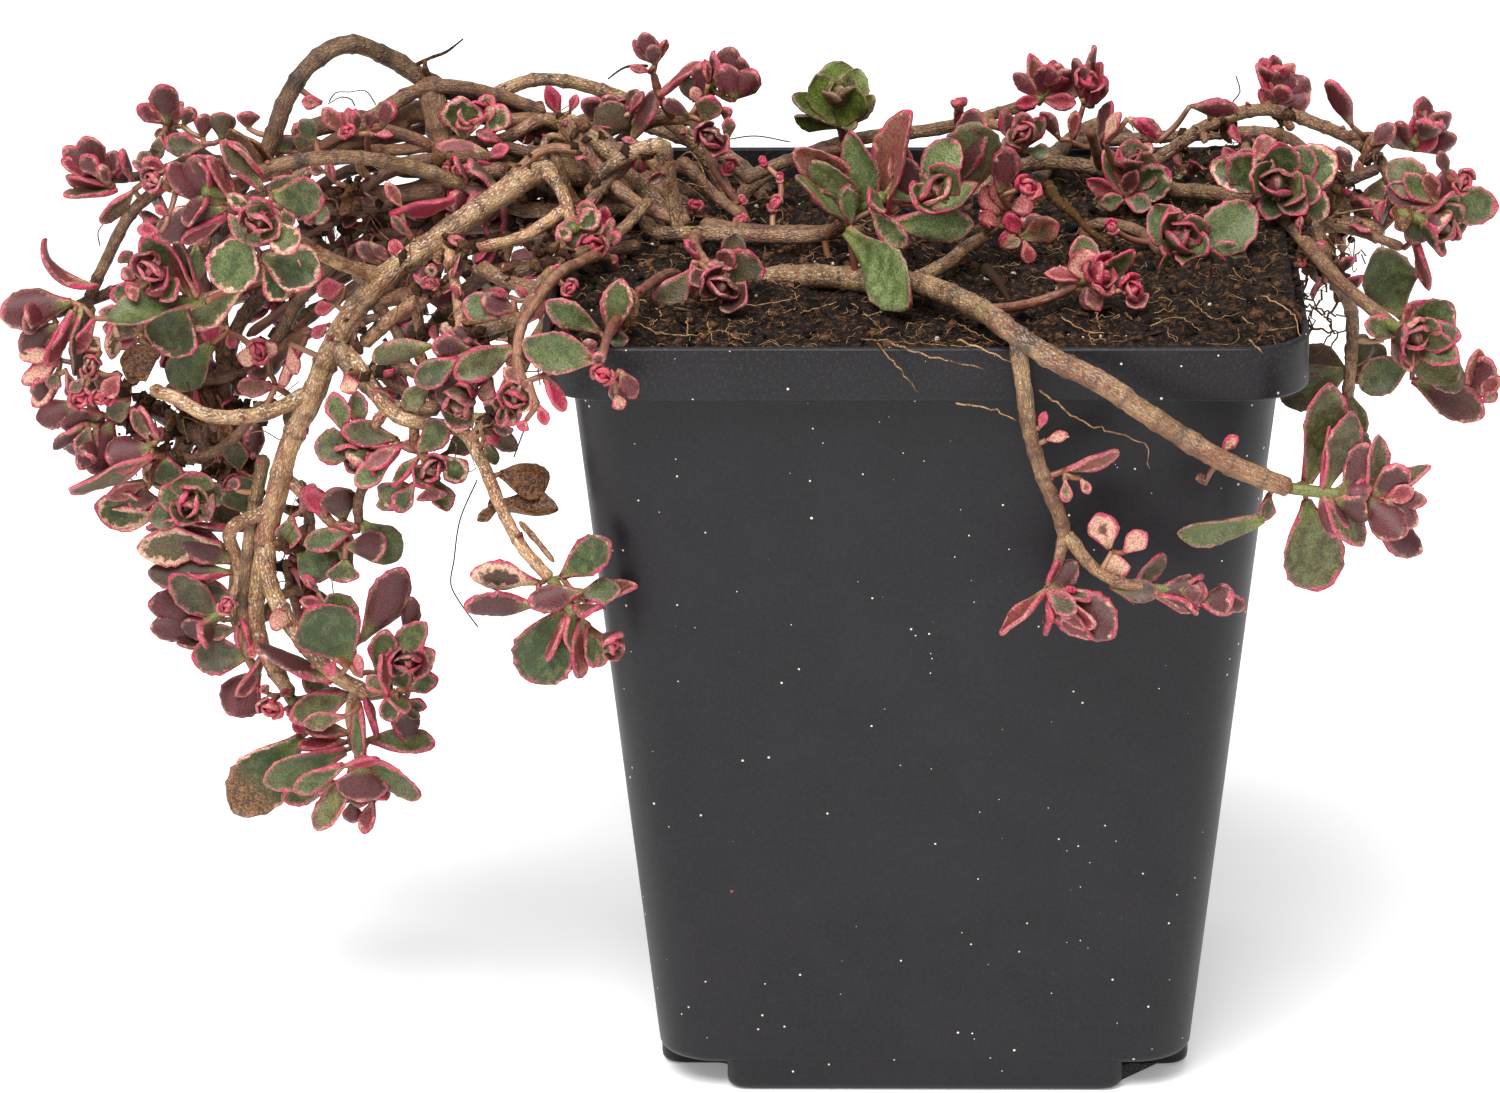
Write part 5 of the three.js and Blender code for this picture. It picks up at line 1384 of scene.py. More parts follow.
def leaf_shape(length, width, thickness=1.1, bend=0.2, cup=0.25, twist=0.0, swing=0.0,
               teeth=0.09, neck=0.2, detail=1.0):
    """A leaf along +x with its upper face to +z: points, faces, and values at each point."""
    rows = int(np.clip((6 + length * 1.1) * detail, FEWEST_ROWS, MOST_ROWS))
    along = 1 - (1 - np.linspace(0, 1, rows)) ** 1.6
    blunt = np.where(along < 0.6, 0.95, 0.55)
    outline = np.sin(np.pi * np.clip(along, 0.004, 0.994) ** 1.35) ** blunt + neck * (1 - along) ** 1.6
    phase = rng.uniform(0, 1, 2)
    bites = [np.clip(np.sin(2 * np.pi * (rng.uniform(5, 7.5) * along + shift)), 0, 1) for shift in phase]
    halves = [width / 2 * outline * (1 + teeth * bite * smoothstep(along, 0.35, 0.55)) for bite in bites]
    pitch, yaw = bend * along ** 1.3, swing * along
    step = np.diff(along, prepend=0) * length
    forward = np.column_stack([np.cos(pitch) * np.cos(yaw), np.cos(pitch) * np.sin(yaw), np.sin(pitch)])
    centre = np.cumsum(forward * step[:, None], axis=0)
    level = np.column_stack([-np.sin(yaw), np.cos(yaw), np.zeros(rows)])
    above = np.cross(forward, level)
    roll = (twist * along)[:, None]
    across = level * np.cos(roll) + above * np.sin(roll)
    above = above * np.cos(roll) - level * np.sin(roll)
    half = np.where(AROUND > 0, halves[0][:, None], halves[1][:, None])
    crease = 1 - 0.35 * np.exp(-((AROUND / 0.25) ** 2)) * (SHEET > 0)
    body = thickness / 2 * (1.1 - 0.45 * along)[:, None] * np.clip(half / 0.7, 0.25, 1)
    sheet = body * np.sqrt(1 - AROUND ** 4) * SHEET * crease
    wave = 0.07 * width * np.sin(along * 9 + phase[0] * 6)[:, None] * AROUND ** 3
    rise = sheet + cup * half * np.abs(AROUND) ** 2.2 + wave
    points = centre[:, None, :] + across[:, None, :] * (half * AROUND)[:, :, None]
    points = points + above[:, None, :] * rise[:, :, None]
    edge = np.minimum((1 - np.abs(AROUND)) * half, ((1 - along) * length)[:, None] * 0.8)
    values = {"rim": edge.ravel(), "along": np.repeat(along, len(AROUND)),
              "under": np.broadcast_to(SHEET < 0, half.shape).ravel() * 1.0}
    return points.reshape(-1, 3), LEAF_FACES[rows], values


sample_points, sample_faces, _ = leaf_shape(10, 7)
print("points and faces of a 10 mm leaf:", len(sample_points), len(sample_faces))

# %% [markdown]
# ## Looks of leaves
#
# One plant carries many kinds of leaf. The green ones have a pink rim, some
# with a cream band inside it. Older and cooler-grown leaves turn purple, the
# youngest are magenta, and a few are coral, pale pink, plain green, dark or
# dry, or dry at the tip only. Each look is five numbers, and chance moves
# them a little for every leaf.

# %% Looks and how to place a leaf
# The columns are purple flush, cream band, magenta blush, dryness and extra millimetres before
# the rim. The dryness of look t starts past the leaf's middle.
LOOKS = {
    "g": (0.12, 0.0, 0.0, 0.0, 0.0), "c": (0.05, 0.6, 0.0, 0.0, 0.0), "p": (0.75, 0.1, 0.05, 0.0, 0.1),
    "k": (0.4, 0.3, 0.45, 0.0, 0.0), "r": (0.7, 0.0, 0.9, 0.0, 0.0), "n": (0.0, 0.0, 0.0, 0.05, 0.35),
    "d": (0.4, 0.0, 0.0, 0.0, 0.3), "o": (0.1, 2.0, 0.35, 0.1, 0.0), "b": (0.5, 0.0, 0.0, 1.0, 0.6),
    "w": (0.1, 1.5, 0.2, 0.0, 0.0), "e": (0.2, 0.8, 0.05, 0.0, 0.0), "h": (0.25, 0.0, 0.1, 0.0, 0.4),
    "t": (0.1, 0.5, 0.0, 0.85, 0.2),
}
DRY_TIP = (0.5, 0.78)


def add_leaf(heap, base, direction, face, length, look, width=0.7, **shape):
    """Places one leaf. Face is the way its upper side looks, width a share of the length."""
    flush, pale, blush, dry, margin = LOOKS[look]
    points, faces, values = leaf_shape(length, length * width, **shape)
    forward = unit(direction)
    above = unit(np.asarray(face) - forward * np.dot(face, forward))
    axes = np.stack([forward, np.cross(above, forward), above])
    values["rim"] = values["rim"] + margin
    if look == "t":
        dry = dry * smoothstep(values["along"], *DRY_TIP)
    chance = rng.uniform(0, 1)
    heap.add(points @ axes + base, faces, flush=np.clip(flush + rng.normal(0, 0.1), 0, 1),
             pale=pale * rng.uniform(0.7, 1.1), blush=np.clip(blush + rng.normal(0, 0.06), 0, 1),
             dry=dry, chance=chance, **values)


print("looks:", " ".join(LOOKS))

# %% [markdown]
# ## Leaf material
#
# The leaf's colour is built from the margin inwards: an uneven pink rim, a
# cream band with a jagged inner edge, and a grey-green heart with a grainy,
# almost crystalline skin, whose speckle also carries painted glints of light.
# The underside and the flushed leaves are purple-brown. The base is
# yellow-green. The shader reads how much of each a leaf has.

# %% Leaf group
leaf_colours = {
    "Heart": srgb(94, 106, 60), "Shade": srgb(50, 63, 29), "Edge": srgb(180, 34, 80),
    "Band": srgb(208, 164, 138), "Purple": srgb(74, 38, 37), "Magenta": srgb(160, 28, 64),
    "Base": srgb(122, 128, 66), "Brown": srgb(136, 92, 58),
}


def shaken(tree, pattern, amount):
    """A pattern around 0.5, as a shift to either side."""
    return times(tree, minus(tree, pattern, 0.5), amount)


leaf_inputs = {
    "Place": (0.0, 0.0, 0.0), "Rim": 1.0, "Along": 0.5, "Under": 0.0, "Flush": 0.0, "Pale": 0.0,
    "Blush": 0.0, "Dry": 0.0, "Chance": 0.5, **leaf_colours,
}
leaf_outputs = {"Color": "Color", "Roughness": "Float", "Height": "Float"}
leaf_group, ins, outs = effect("fleshy_leaf", leaf_inputs, leaf_outputs)
tree = leaf_group
ragged = cloud(tree, ins["Place"], 1.5, 3.0)
jagged = cloud(tree, ins["Place"], 0.9, 2.0)
blotches = cloud(tree, ins["Place"], 0.55, 3.0, 0.4)
papillae = cloud(tree, ins["Place"], 4.2, 3.0)
patches = cloud(tree, ins["Place"], 0.3, 2.0)
shifted = plus(tree, ins["Rim"], shaken(tree, patches, 1.6))
fine_edge = plus(tree, shifted, shaken(tree, ragged, 1.2))
wide_edge = plus(tree, shifted, shaken(tree, jagged, 2.2))
tone = plus(tree, ramp(tree, blotches, 0.3, 0.7), minus(tree, ins["Chance"], 0.5))
leaf_colour = mix_colours(tree, tone, ins["Shade"], ins["Heart"])
flushed = plus(tree, ins["Flush"], times(tree, ins["Under"], 0.45))
flushed = ramp(tree, plus(tree, flushed, shaken(tree, blotches, 1.2)), 0.1, 0.9)
shoulder = ramp(tree, wide_edge, 0.2, 2.0, 0.7, 0.0)
shoulder = times(tree, shoulder, ramp(tree, patches, 0.35, 0.65, 0.2, 1.0))
flushed = arithmetic(tree, "MAXIMUM", flushed, shoulder)
leaf_colour = mix_colours(tree, flushed, leaf_colour, ins["Purple"])
band_edge = minus(tree, wide_edge, times(tree, ins["Pale"], 1.3))
leaf_colour = mix_colours(tree, ramp(tree, band_edge, -0.25, 0.3, 0.95, 0.0), leaf_colour, ins["Band"])
blushed = times(tree, ins["Blush"], ramp(tree, ragged, 0.25, 0.6, 0.55, 1.0))
leaf_colour = mix_colours(tree, blushed, leaf_colour, ins["Magenta"])
stalk = ramp(tree, ins["Along"], 0.05, 0.34, 0.7, 0.0)
leaf_colour = mix_colours(tree, stalk, leaf_colour, ins["Base"])
halo = ramp(tree, fine_edge, 0.25, 0.9, 0.22, 0.0)
leaf_colour = mix_colours(tree, halo, leaf_colour, ins["Band"])
edge = ramp(tree, fine_edge, 0.1, 0.55, 0.92, 0.0)
edge_colour = mix_colours(tree, ramp(tree, blotches, 0.4, 0.66, 0.0, 0.6), ins["Edge"], ins["Purple"])
faded = ramp(tree, ins["Chance"], 0.35, 0.8, 0.05, 0.65)
faded = times(tree, faded, ramp(tree, patches, 0.35, 0.6, 0.4, 1.0))
edge_colour = mix_colours(tree, faded, edge_colour, srgb(196, 112, 116))
leaf_colour = mix_colours(tree, edge, leaf_colour, edge_colour)
wrinkles = ramp(tree, cloud(tree, ins["Place"], 1.1, 4.0, 2.5), 0.4, 0.6)
withered = mix_colours(tree, wrinkles, srgb(66, 40, 26), ins["Brown"])
leaf_colour = mix_colours(tree, ins["Dry"], leaf_colour, withered)
# The grainy skin is a real speckle of the papillae with painted glints of light on it: the colour is
# multiplied by 0.55 to 1.35.
speckle_and_painted_glint = ramp(tree, papillae, 0.34, 0.66, 0.55, 1.35)
speckle_and_glint_colour = add_node(tree, "CombineColor", {"Red": speckle_and_painted_glint, "Green": speckle_and_painted_glint, "Blue": speckle_and_painted_glint}).outputs[0]
leaf_colour = mix_colours(tree, 1.0, leaf_colour, speckle_and_glint_colour, "MULTIPLY")
tree.links.new(leaf_colour, outs["Color"])
tree.links.new(ramp(tree, papillae, 0.3, 0.7, 0.38, 0.56), outs["Roughness"])
tree.links.new(papillae, outs["Height"])
print("nodes in the leaf group:", len(tree.nodes))

# %% Leaf materials
LEAF_SHINE = 0.4


def leaf_finish(name, tints):
    """A leaf material. The tints replace some of the usual colours."""
    material, tree, shader = new_finish(name)
    wires = {label.capitalize(): read_value(tree, label) for label in LEAF_LABELS}
    changed = {label: srgb(*tint) for label, tint in tints.items()}
    skin = use_effect(tree, leaf_group, {"Place": millimetres(tree), **wires, **leaf_colours, **changed})
    wire_finish(tree, shader, skin["Color"], skin["Roughness"], skin["Height"], 0.09)
    shader.inputs["Specular IOR Level"].default_value = LEAF_SHINE
    return material


TINTS = {
    "green": {},
    "purple": {"Heart": (92, 86, 58), "Shade": (58, 54, 36)},
    "red": {"Edge": (184, 32, 76), "Purple": (92, 36, 43)},
    "fresh": {"Edge": (104, 66, 44), "Heart": (100, 118, 44), "Shade": (56, 74, 22)},
    "coral": {"Band": (238, 166, 148), "Magenta": (222, 64, 98), "Purple": (150, 50, 62)},
    "bright": {"Heart": (128, 142, 92), "Shade": (84, 102, 54)},
    # The next finish darkens the green leaf colours and the rim: painted shade, for the rosette that hangs
    # low beside the pot under the leaves.
    "shaded": {"Edge": (120, 44, 56), "Heart": (66, 82, 36), "Shade": (34, 46, 18)},
}
LEAF_FINISHES = {name: leaf_finish("leaf_" + name, tints) for name, tints in TINTS.items()}
# A leaf of a rosette gets one of these looks by chance.
LEAF_LOOKS = {
    "green": "ggggc", "purple": "ppgp", "red": "rpkp", "fresh": "nnn", "shaded": "nnn",
    "coral": "oro", "bright": "gggcc",
}
print("leaf materials:", " ".join(LEAF_FINISHES))

# %% [markdown]
# ## Leaves as the viewer sees them
#
# A leaf from the lists has a width as the photograph shows it. A leaf that
# looks narrower than leaves really are must be turned on its side, and the
# share of its true width that is still seen says how far. Bend, cup and
# twist are left to chance, within what real leaves do.

# %% Placing the leaves from the lists
TOWARD_VIEWER = unit([0, -1, 0.32])
SEEN_UP = unit(np.cross(TOWARD_VIEWER, [1, 0, 0]))
NARROWEST = 0.44
LEAN_SHARE = 0.12
LENGTH_SEEN = 1.04
# The slots of these rosettes are named after their usual finish. The photograph shows another.
FINISH_NOW = {
    # rosette_right_dark gets the darker finish as painted shade.
    "shoot_green": "fresh", "rosette_right_dark": "shaded", "rosette_coral": "coral",
    "rosette_centre": "bright",
}
ROW_STEP = 0.4
leaf_bases = []


def show_leaf(heap, root, heading, length, look, share):
    """A leaf that looks as wide as this share of its length. A capital look shows its underside."""
    true_share = max(share, NARROWEST)
    roll = math.acos(share / true_share) * rng.choice([-1, 1]) + rng.normal(0, 0.12)
    leaf_bases.append(root)
    sideways = unit(np.cross(heading, TOWARD_VIEWER))
    face = TOWARD_VIEWER * math.cos(roll) + sideways * math.sin(roll)
    curl, fold = (3, 2) if look == "b" else (1, 1)
    add_leaf(heap, root, heading, -face if look.isupper() else face, length, look.lower(), true_share,
             bend=rng.uniform(-0.3, 0.3) * curl, cup=rng.uniform(0.15, 0.45) * fold,
             twist=rng.uniform(-0.3, 0.3) * curl, swing=rng.uniform(-0.2, 0.2))


def add_clock_leaves(heap, centre, rows, axis):
    """The leaves of one rosette, by clock angle."""
    start = at_pixel(*centre)
    for clock, length, lean, look, share, *along in rows:
        clock, lean = math.radians(clock), math.radians(lean)
        flat = np.array([math.cos(clock), 0, 0]) + math.sin(clock) * SEEN_UP
        heading = flat * math.cos(lean) + TOWARD_VIEWER * math.sin(lean)
        show_leaf(heap, start + axis * (along[0] if along else 0), heading, length, look, share)


def add_drawn_leaves(heap, depth, rows):
    """A group of leaves, each from its base to its tip, the later ones nearer to the viewer."""
    for index, (across, down, tip_across, tip_down, wide, look, *nearer) in enumerate(rows):
        near = depth - ROW_STEP * index
        root = at_pixel(across, down, near)
        flat = at_pixel(tip_across, tip_down, near - sum(nearer)) - root
        reach = flat + TOWARD_VIEWER * LEAN_SHARE * np.linalg.norm(flat)
        seen = math.hypot(tip_across - across, tip_down - down)
        show_leaf(heap, root, unit(reach), np.linalg.norm(reach) * LENGTH_SEEN, look, wide / seen)


print("direction to the viewer:", np.round(TOWARD_VIEWER, 3))

# %% [markdown]
# ## Rosettes
#
# Leaves grow in opposite pairs, each pair about a quarter turn on from the
# one below. The outer pairs lie low and the inner ones stand up. The last
# ones are short, broad and cupped, and close into a bud like a tiny rose:
# that is the heart. A rosette whose outer leaves are in the lists only gets
# its inner pairs and its heart by rule. Many hearts are listed too, and
# the names that aren't rosettes are lone buds. The columns are the pixel, the
# depth, the radius in pixels, the way the heart faces and its finish.

# %% Hearts listed one by one
HEARTS = {
    "rosette_left_cream": (260, 222, -28, 23, (0, -1, 0.1), "purple"),
    "rosette_left_green": (153, 270, -14, 24, (-0.3, -1, 0.1), "purple"),
    "rosette_left_purple": (154, 180, -16, 15, (-0.6, -1, 0.4), "red"),
    "rosette_left_open": (190, 503, -13, 25, (0, -1, 0.1), "green"),
    "rosette_trunk_side": (228, 605, -13, 13, (-0.3, -1, 0.2), "red"),
    "rosette_trunk_low": (270, 706, -17, 16, (0, -1, -0.2), "red"),
    "rosette_fork_end": (406, 662, -26, 24, (0.3, -1, 0.1), "purple"),
    "rosette_under_left": (430, 468, -31, 21, (0.1, -1, -0.1), "purple"),
    "rosette_crown_front": (592, 246, -14, 18, (0.1, -1, 0.3), "red"),
    "rosette_soil_left": (722, 288, -33, 28, (0.1, -1, 0.3), "purple"),
    "shoot_crown_top": (711, 138, 12, 21, (0, -1, 0.2), "purple"),
    "rosette_hanging": (611, 643, -55, 19, (0.7, -0.8, -0.5), "purple"),
    "rosette_left_low": (92, 366, -9, 15, (-0.2, -1, 0), "purple"),
    "low_bud_a": (82, 398, -10, 15, (-0.3, -1, 0), "red"),
    "low_bud_b": (101, 397, -10, 14, (0.1, -1, 0), "red"),
    "hidden_rose": (258, 350, -6, 15, (0, -1, 0.1), "red"),
    "rim_cup": (603, 374, -62, 14, (0, -1, 0.1), "red"),
    "twig_cup": (516, 396, -47, 20, (-0.1, -1, 0), "green"),
    "front_left_bud": (570, 288, -32, 11, (0, -1, 0.2), "red"),
    "small_green": (430, 284, -22, 10, (0, -1, 0.6), "green"),
    "purple_bud": (347, 132, 1, 10, (0, -1, 0.3), "purple"),
    "arch_foot_a": (462, 170, 4, 10, (0, -1, 0.2), "red"),
    "arch_foot_b": (446, 168, 4, 6, (0, -1, 0.2), "red"),
    "crown_bud_a": (695, 205, 6, 9, (0.2, -1, 0.2), "red"),
    "crown_bud_b": (728, 166, 14, 11, (0.3, -1, 0), "red"),
    "crown_bud_c": (740, 220, 4, 8, (0, -1, 0.5), "purple"),
    "soil_bud_a": (775, 204, 4, 10, (0, -1, 0.5), "red"),
    "soil_bud_b": (780, 178, 8, 6, (0, -1, 0.5), "red"),
    "soil_bud_c": (743, 200, 8, 6, (0, -1, 0.5), "red"),
    "soil_bud_d": (763, 162, 10, 6, (0, -1, 0.8), "red"),
    "soil_bud_e": (1112, 228, -8, 10, (0, -1, 0.5), "red"),
    "soil_bud_f": (833, 275, -8, 6, (0, -1, 0.5), "red"),
    "soil_bud_g": (1132, 290, -40, 19, (0.5, -1, 0.2), "red"),
    "stalk_bud": (959, 104, 42, 9, (0, -0.3, 1), "red"),
    "rosette_centre": (933, 190, -24, 30, (0.3, -1, 0.35), "green"),
    "small_dark_rose": (1022, 134, 30, 17, (0, -1, 0.2), "green"),
    "rosette_coral": (1027, 187, -12, 15, (0.3, -1, 0.3), "coral"),
    "second_red": (1088, 82, 36, 17, (0.2, -0.8, 0.6), "red"),
    "front_bud": (1070, 590, -59, 6, (0.3, -1, 0.3), "red"),
    "right_bud": (1298, 262, -6, 8, (0, -1, 0.3), "purple"),
    "side_bud": (252, 652, -17, 6, (0, -1, 0), "red"),
    "right_edge_heart": (1463, 182, -6, 15, (0.3, -1, 0.2), "purple"),
}
print("hearts by eye:", len(HEARTS))

# %% Growing a heart
PAIR_TURN = 97
HEART_SPAN = 0.4
CAMERA_DISTANCE = 1090
# The heart of a rosette, from outside in: length, width, rise and bend of each pair of leaves.
HEART = [(0.56, 0.95, 38, 0.6), (0.46, 1.1, 54, 0.9), (0.37, 1.25, 68, 1.15), (0.27, 1.2, 78, 1.2)]
HEART_LOOKS = {
    "green": "h", "purple": "h", "red": "r", "fresh": "n", "shaded": "n", "coral": "r", "bright": "h",
}


def pair_axes(turn, rise):
    """Heading and upper side of a leaf that points away from the axis and rises."""
    turn, rise = math.radians(turn), math.radians(rise)
    radial = np.array([math.cos(turn), math.sin(turn), 0])
    upward = np.array([0, 0, 1])
    heading = radial * math.cos(rise) + upward * math.sin(rise)
    return radial, heading, upward * math.cos(rise) - radial * math.sin(rise)


def turn_to(axis):
    """The rotation that stands things made around +z on this axis."""
    return np.array(Vector((0, 0, 1)).rotation_difference(Vector(axis)).to_matrix())


def grow_heart(heap, at, axis, length, core, finish):
    """Four pairs of small cupped leaves that close like a rose."""
    upright = turn_to(axis)
    turn_start = rng.uniform(0, 360)
    looks = LEAF_LOOKS[finish]
    for index, (size, width, rise, bend) in enumerate(HEART):
        for side in range(2):
            turn = turn_start + index * PAIR_TURN + side * 180 + rng.uniform(-6, 6)
            radial, heading, face = pair_axes(turn, rise + rng.uniform(-5, 5))
            root = radial * core * (0.75 - 0.15 * index) + [0, 0, index * length * 0.035]
            look = looks[rng.integers(len(looks))] if index < 2 else HEART_LOOKS[finish]
            add_leaf(heap, at + upright @ root, upright @ heading, upright @ face, length * size, look,
                     width, bend=bend, cup=0.4 + 0.05 * index, thickness=0.9, neck=0.4, teeth=0.03)


def heart_by_eye(heap, row):
    """A heart from the list."""
    across, down, depth, radius, facing, finish = row
    length = radius / (PIXELS_PER_UNIT / (CAMERA_DISTANCE + depth)) / HEART_SPAN
    root = at_pixel(across, down, depth) - unit(facing) * length * 0.2
    leaf_bases.append(root)
    grow_heart(heap, root, unit(facing), length, 0.09 * length, finish)


print("leaves of a heart:", 2 * len(HEART))

# %% Growing a rosette
FIRST_TURN = 20
FIRST_RISE, LAST_RISE, SHOOT_RISE = 8, 52, 34
CORE_RADIUS = 0.9


def grow_rosette(heap, row, first_rise=FIRST_RISE, first_pair=0, with_heart=True):
    """Pairs of leaves by rule, a heart, and the end of the shoot that carries them."""
    at, facing, length, pairs, spread, finish = row
    at, axis = np.array(at, float), unit(facing)
    upright = turn_to(axis)
    step = spread * length / 9
    core = CORE_RADIUS + 0.06 * length
    looks = LEAF_LOOKS[finish]
    for pair in range(first_pair, pairs - 1):
        inward = pair / (pairs - 1)
        for side in range(2):
            turn = FIRST_TURN + pair * PAIR_TURN + side * 180 + rng.uniform(-9, 9)
            rise = first_rise + (LAST_RISE - FIRST_RISE) * inward + rng.uniform(-7, 7)
            radial, heading, face = pair_axes(turn, rise)
            root = radial * core * (0.6 - 0.35 * inward) + [0, 0, pair * step * 0.9]
            long = length * (1 - inward * 0.5) * rng.uniform(0.88, 1.08)
            look, width = looks[rng.integers(len(looks))], rng.uniform(0.62, 0.74)
            add_leaf(heap, at + upright @ root, upright @ heading, upright @ face, long, look, width,
                     bend=rng.uniform(-0.25, 0.4), cup=rng.uniform(0.2, 0.45),
                     twist=rng.uniform(-0.25, 0.25), swing=rng.uniform(-0.15, 0.15))
    top = (pairs - 1) * step * 0.75
    if with_heart:
        grow_heart(heap, at + axis * top, axis, length, core, finish)
    stalk = np.array([at - axis * 0.8, at + axis * top * 0.4, at + axis * (top + 0.5)])
    add_tube(heap, smooth_route(stalk, 0.8), core * 0.6, 8, rim=2.0, along=0.1, flush=0.5)


for name, row in ROSETTES.items():
    leaf_heap = Heap(*LEAF_LABELS)
    listed = name in CLOCK_LEAVES or name in DRAWN_LEAVES
    row = (*row[:5], FINISH_NOW.get(name, row[5]))
    rise = SHOOT_RISE if "shoot" in name else FIRST_RISE
    first_pair = row[3] - 2 if listed else 0
    grow_rosette(leaf_heap, row, rise, first_pair, with_heart=name not in HEARTS)
    if name in CLOCK_LEAVES:
        add_clock_leaves(leaf_heap, *CLOCK_LEAVES[name], unit(row[1]))
    if name in DRAWN_LEAVES:
        add_drawn_leaves(leaf_heap, *DRAWN_LEAVES[name])
    if name in HEARTS:
        heart_by_eye(leaf_heap, HEARTS[name])
    leaf_heap.piece(name + "_leaves", LEAF_FINISHES[row[5]], "leaf_" + ROSETTES[name][5], name)
print("rosettes:", len(ROSETTES))

# %% Leaves and hearts between the rosettes
for name, (depth, rows) in DRAWN_LEAVES.items():
    if name in ROSETTES:
        continue
    leaf_heap = Heap(*LEAF_LABELS)
    add_drawn_leaves(leaf_heap, depth, rows)
    leaf_heap.piece(name, LEAF_FINISHES["bright" if "centre" in name else "green"], "leaf_green")

# One long leaf curls up so much that its base and tip do not tell its course.
curl_root = at_pixel(97, 286, -4)
leaf_bases.append(curl_root)
curved_heap = Heap(*LEAF_LABELS)
add_leaf(curved_heap, curl_root, (-1, 0, -0.08), (0.1, -0.25, 1), 13.2, "k", 0.3, bend=2.0, cup=0.2)
curved_heap.piece("curved_leaves", LEAF_FINISHES["green"], "leaf_green")


def seen_route(rows, step=0.8):
    """A smooth curve through places given by pixel and depth."""
    return smooth_route([at_pixel(*row) for row in rows], step)


bud_heap = Heap(*LEAF_LABELS)
for name, row in HEARTS.items():
    if name not in ROSETTES:
        heart_by_eye(bud_heap, row)
bud_stalk = seen_route([(962, 129, 43), (960, 116, 42.5), (960, 106, 42)])
add_tube(bud_heap, bud_stalk, 0.6, 7, rim=2.0, along=0.5, flush=0.8, blush=0.5)
bud_heap.piece("single_buds", LEAF_FINISHES["red"], "leaf_red")
print("leaf points between the rosettes:", bud_heap.count)
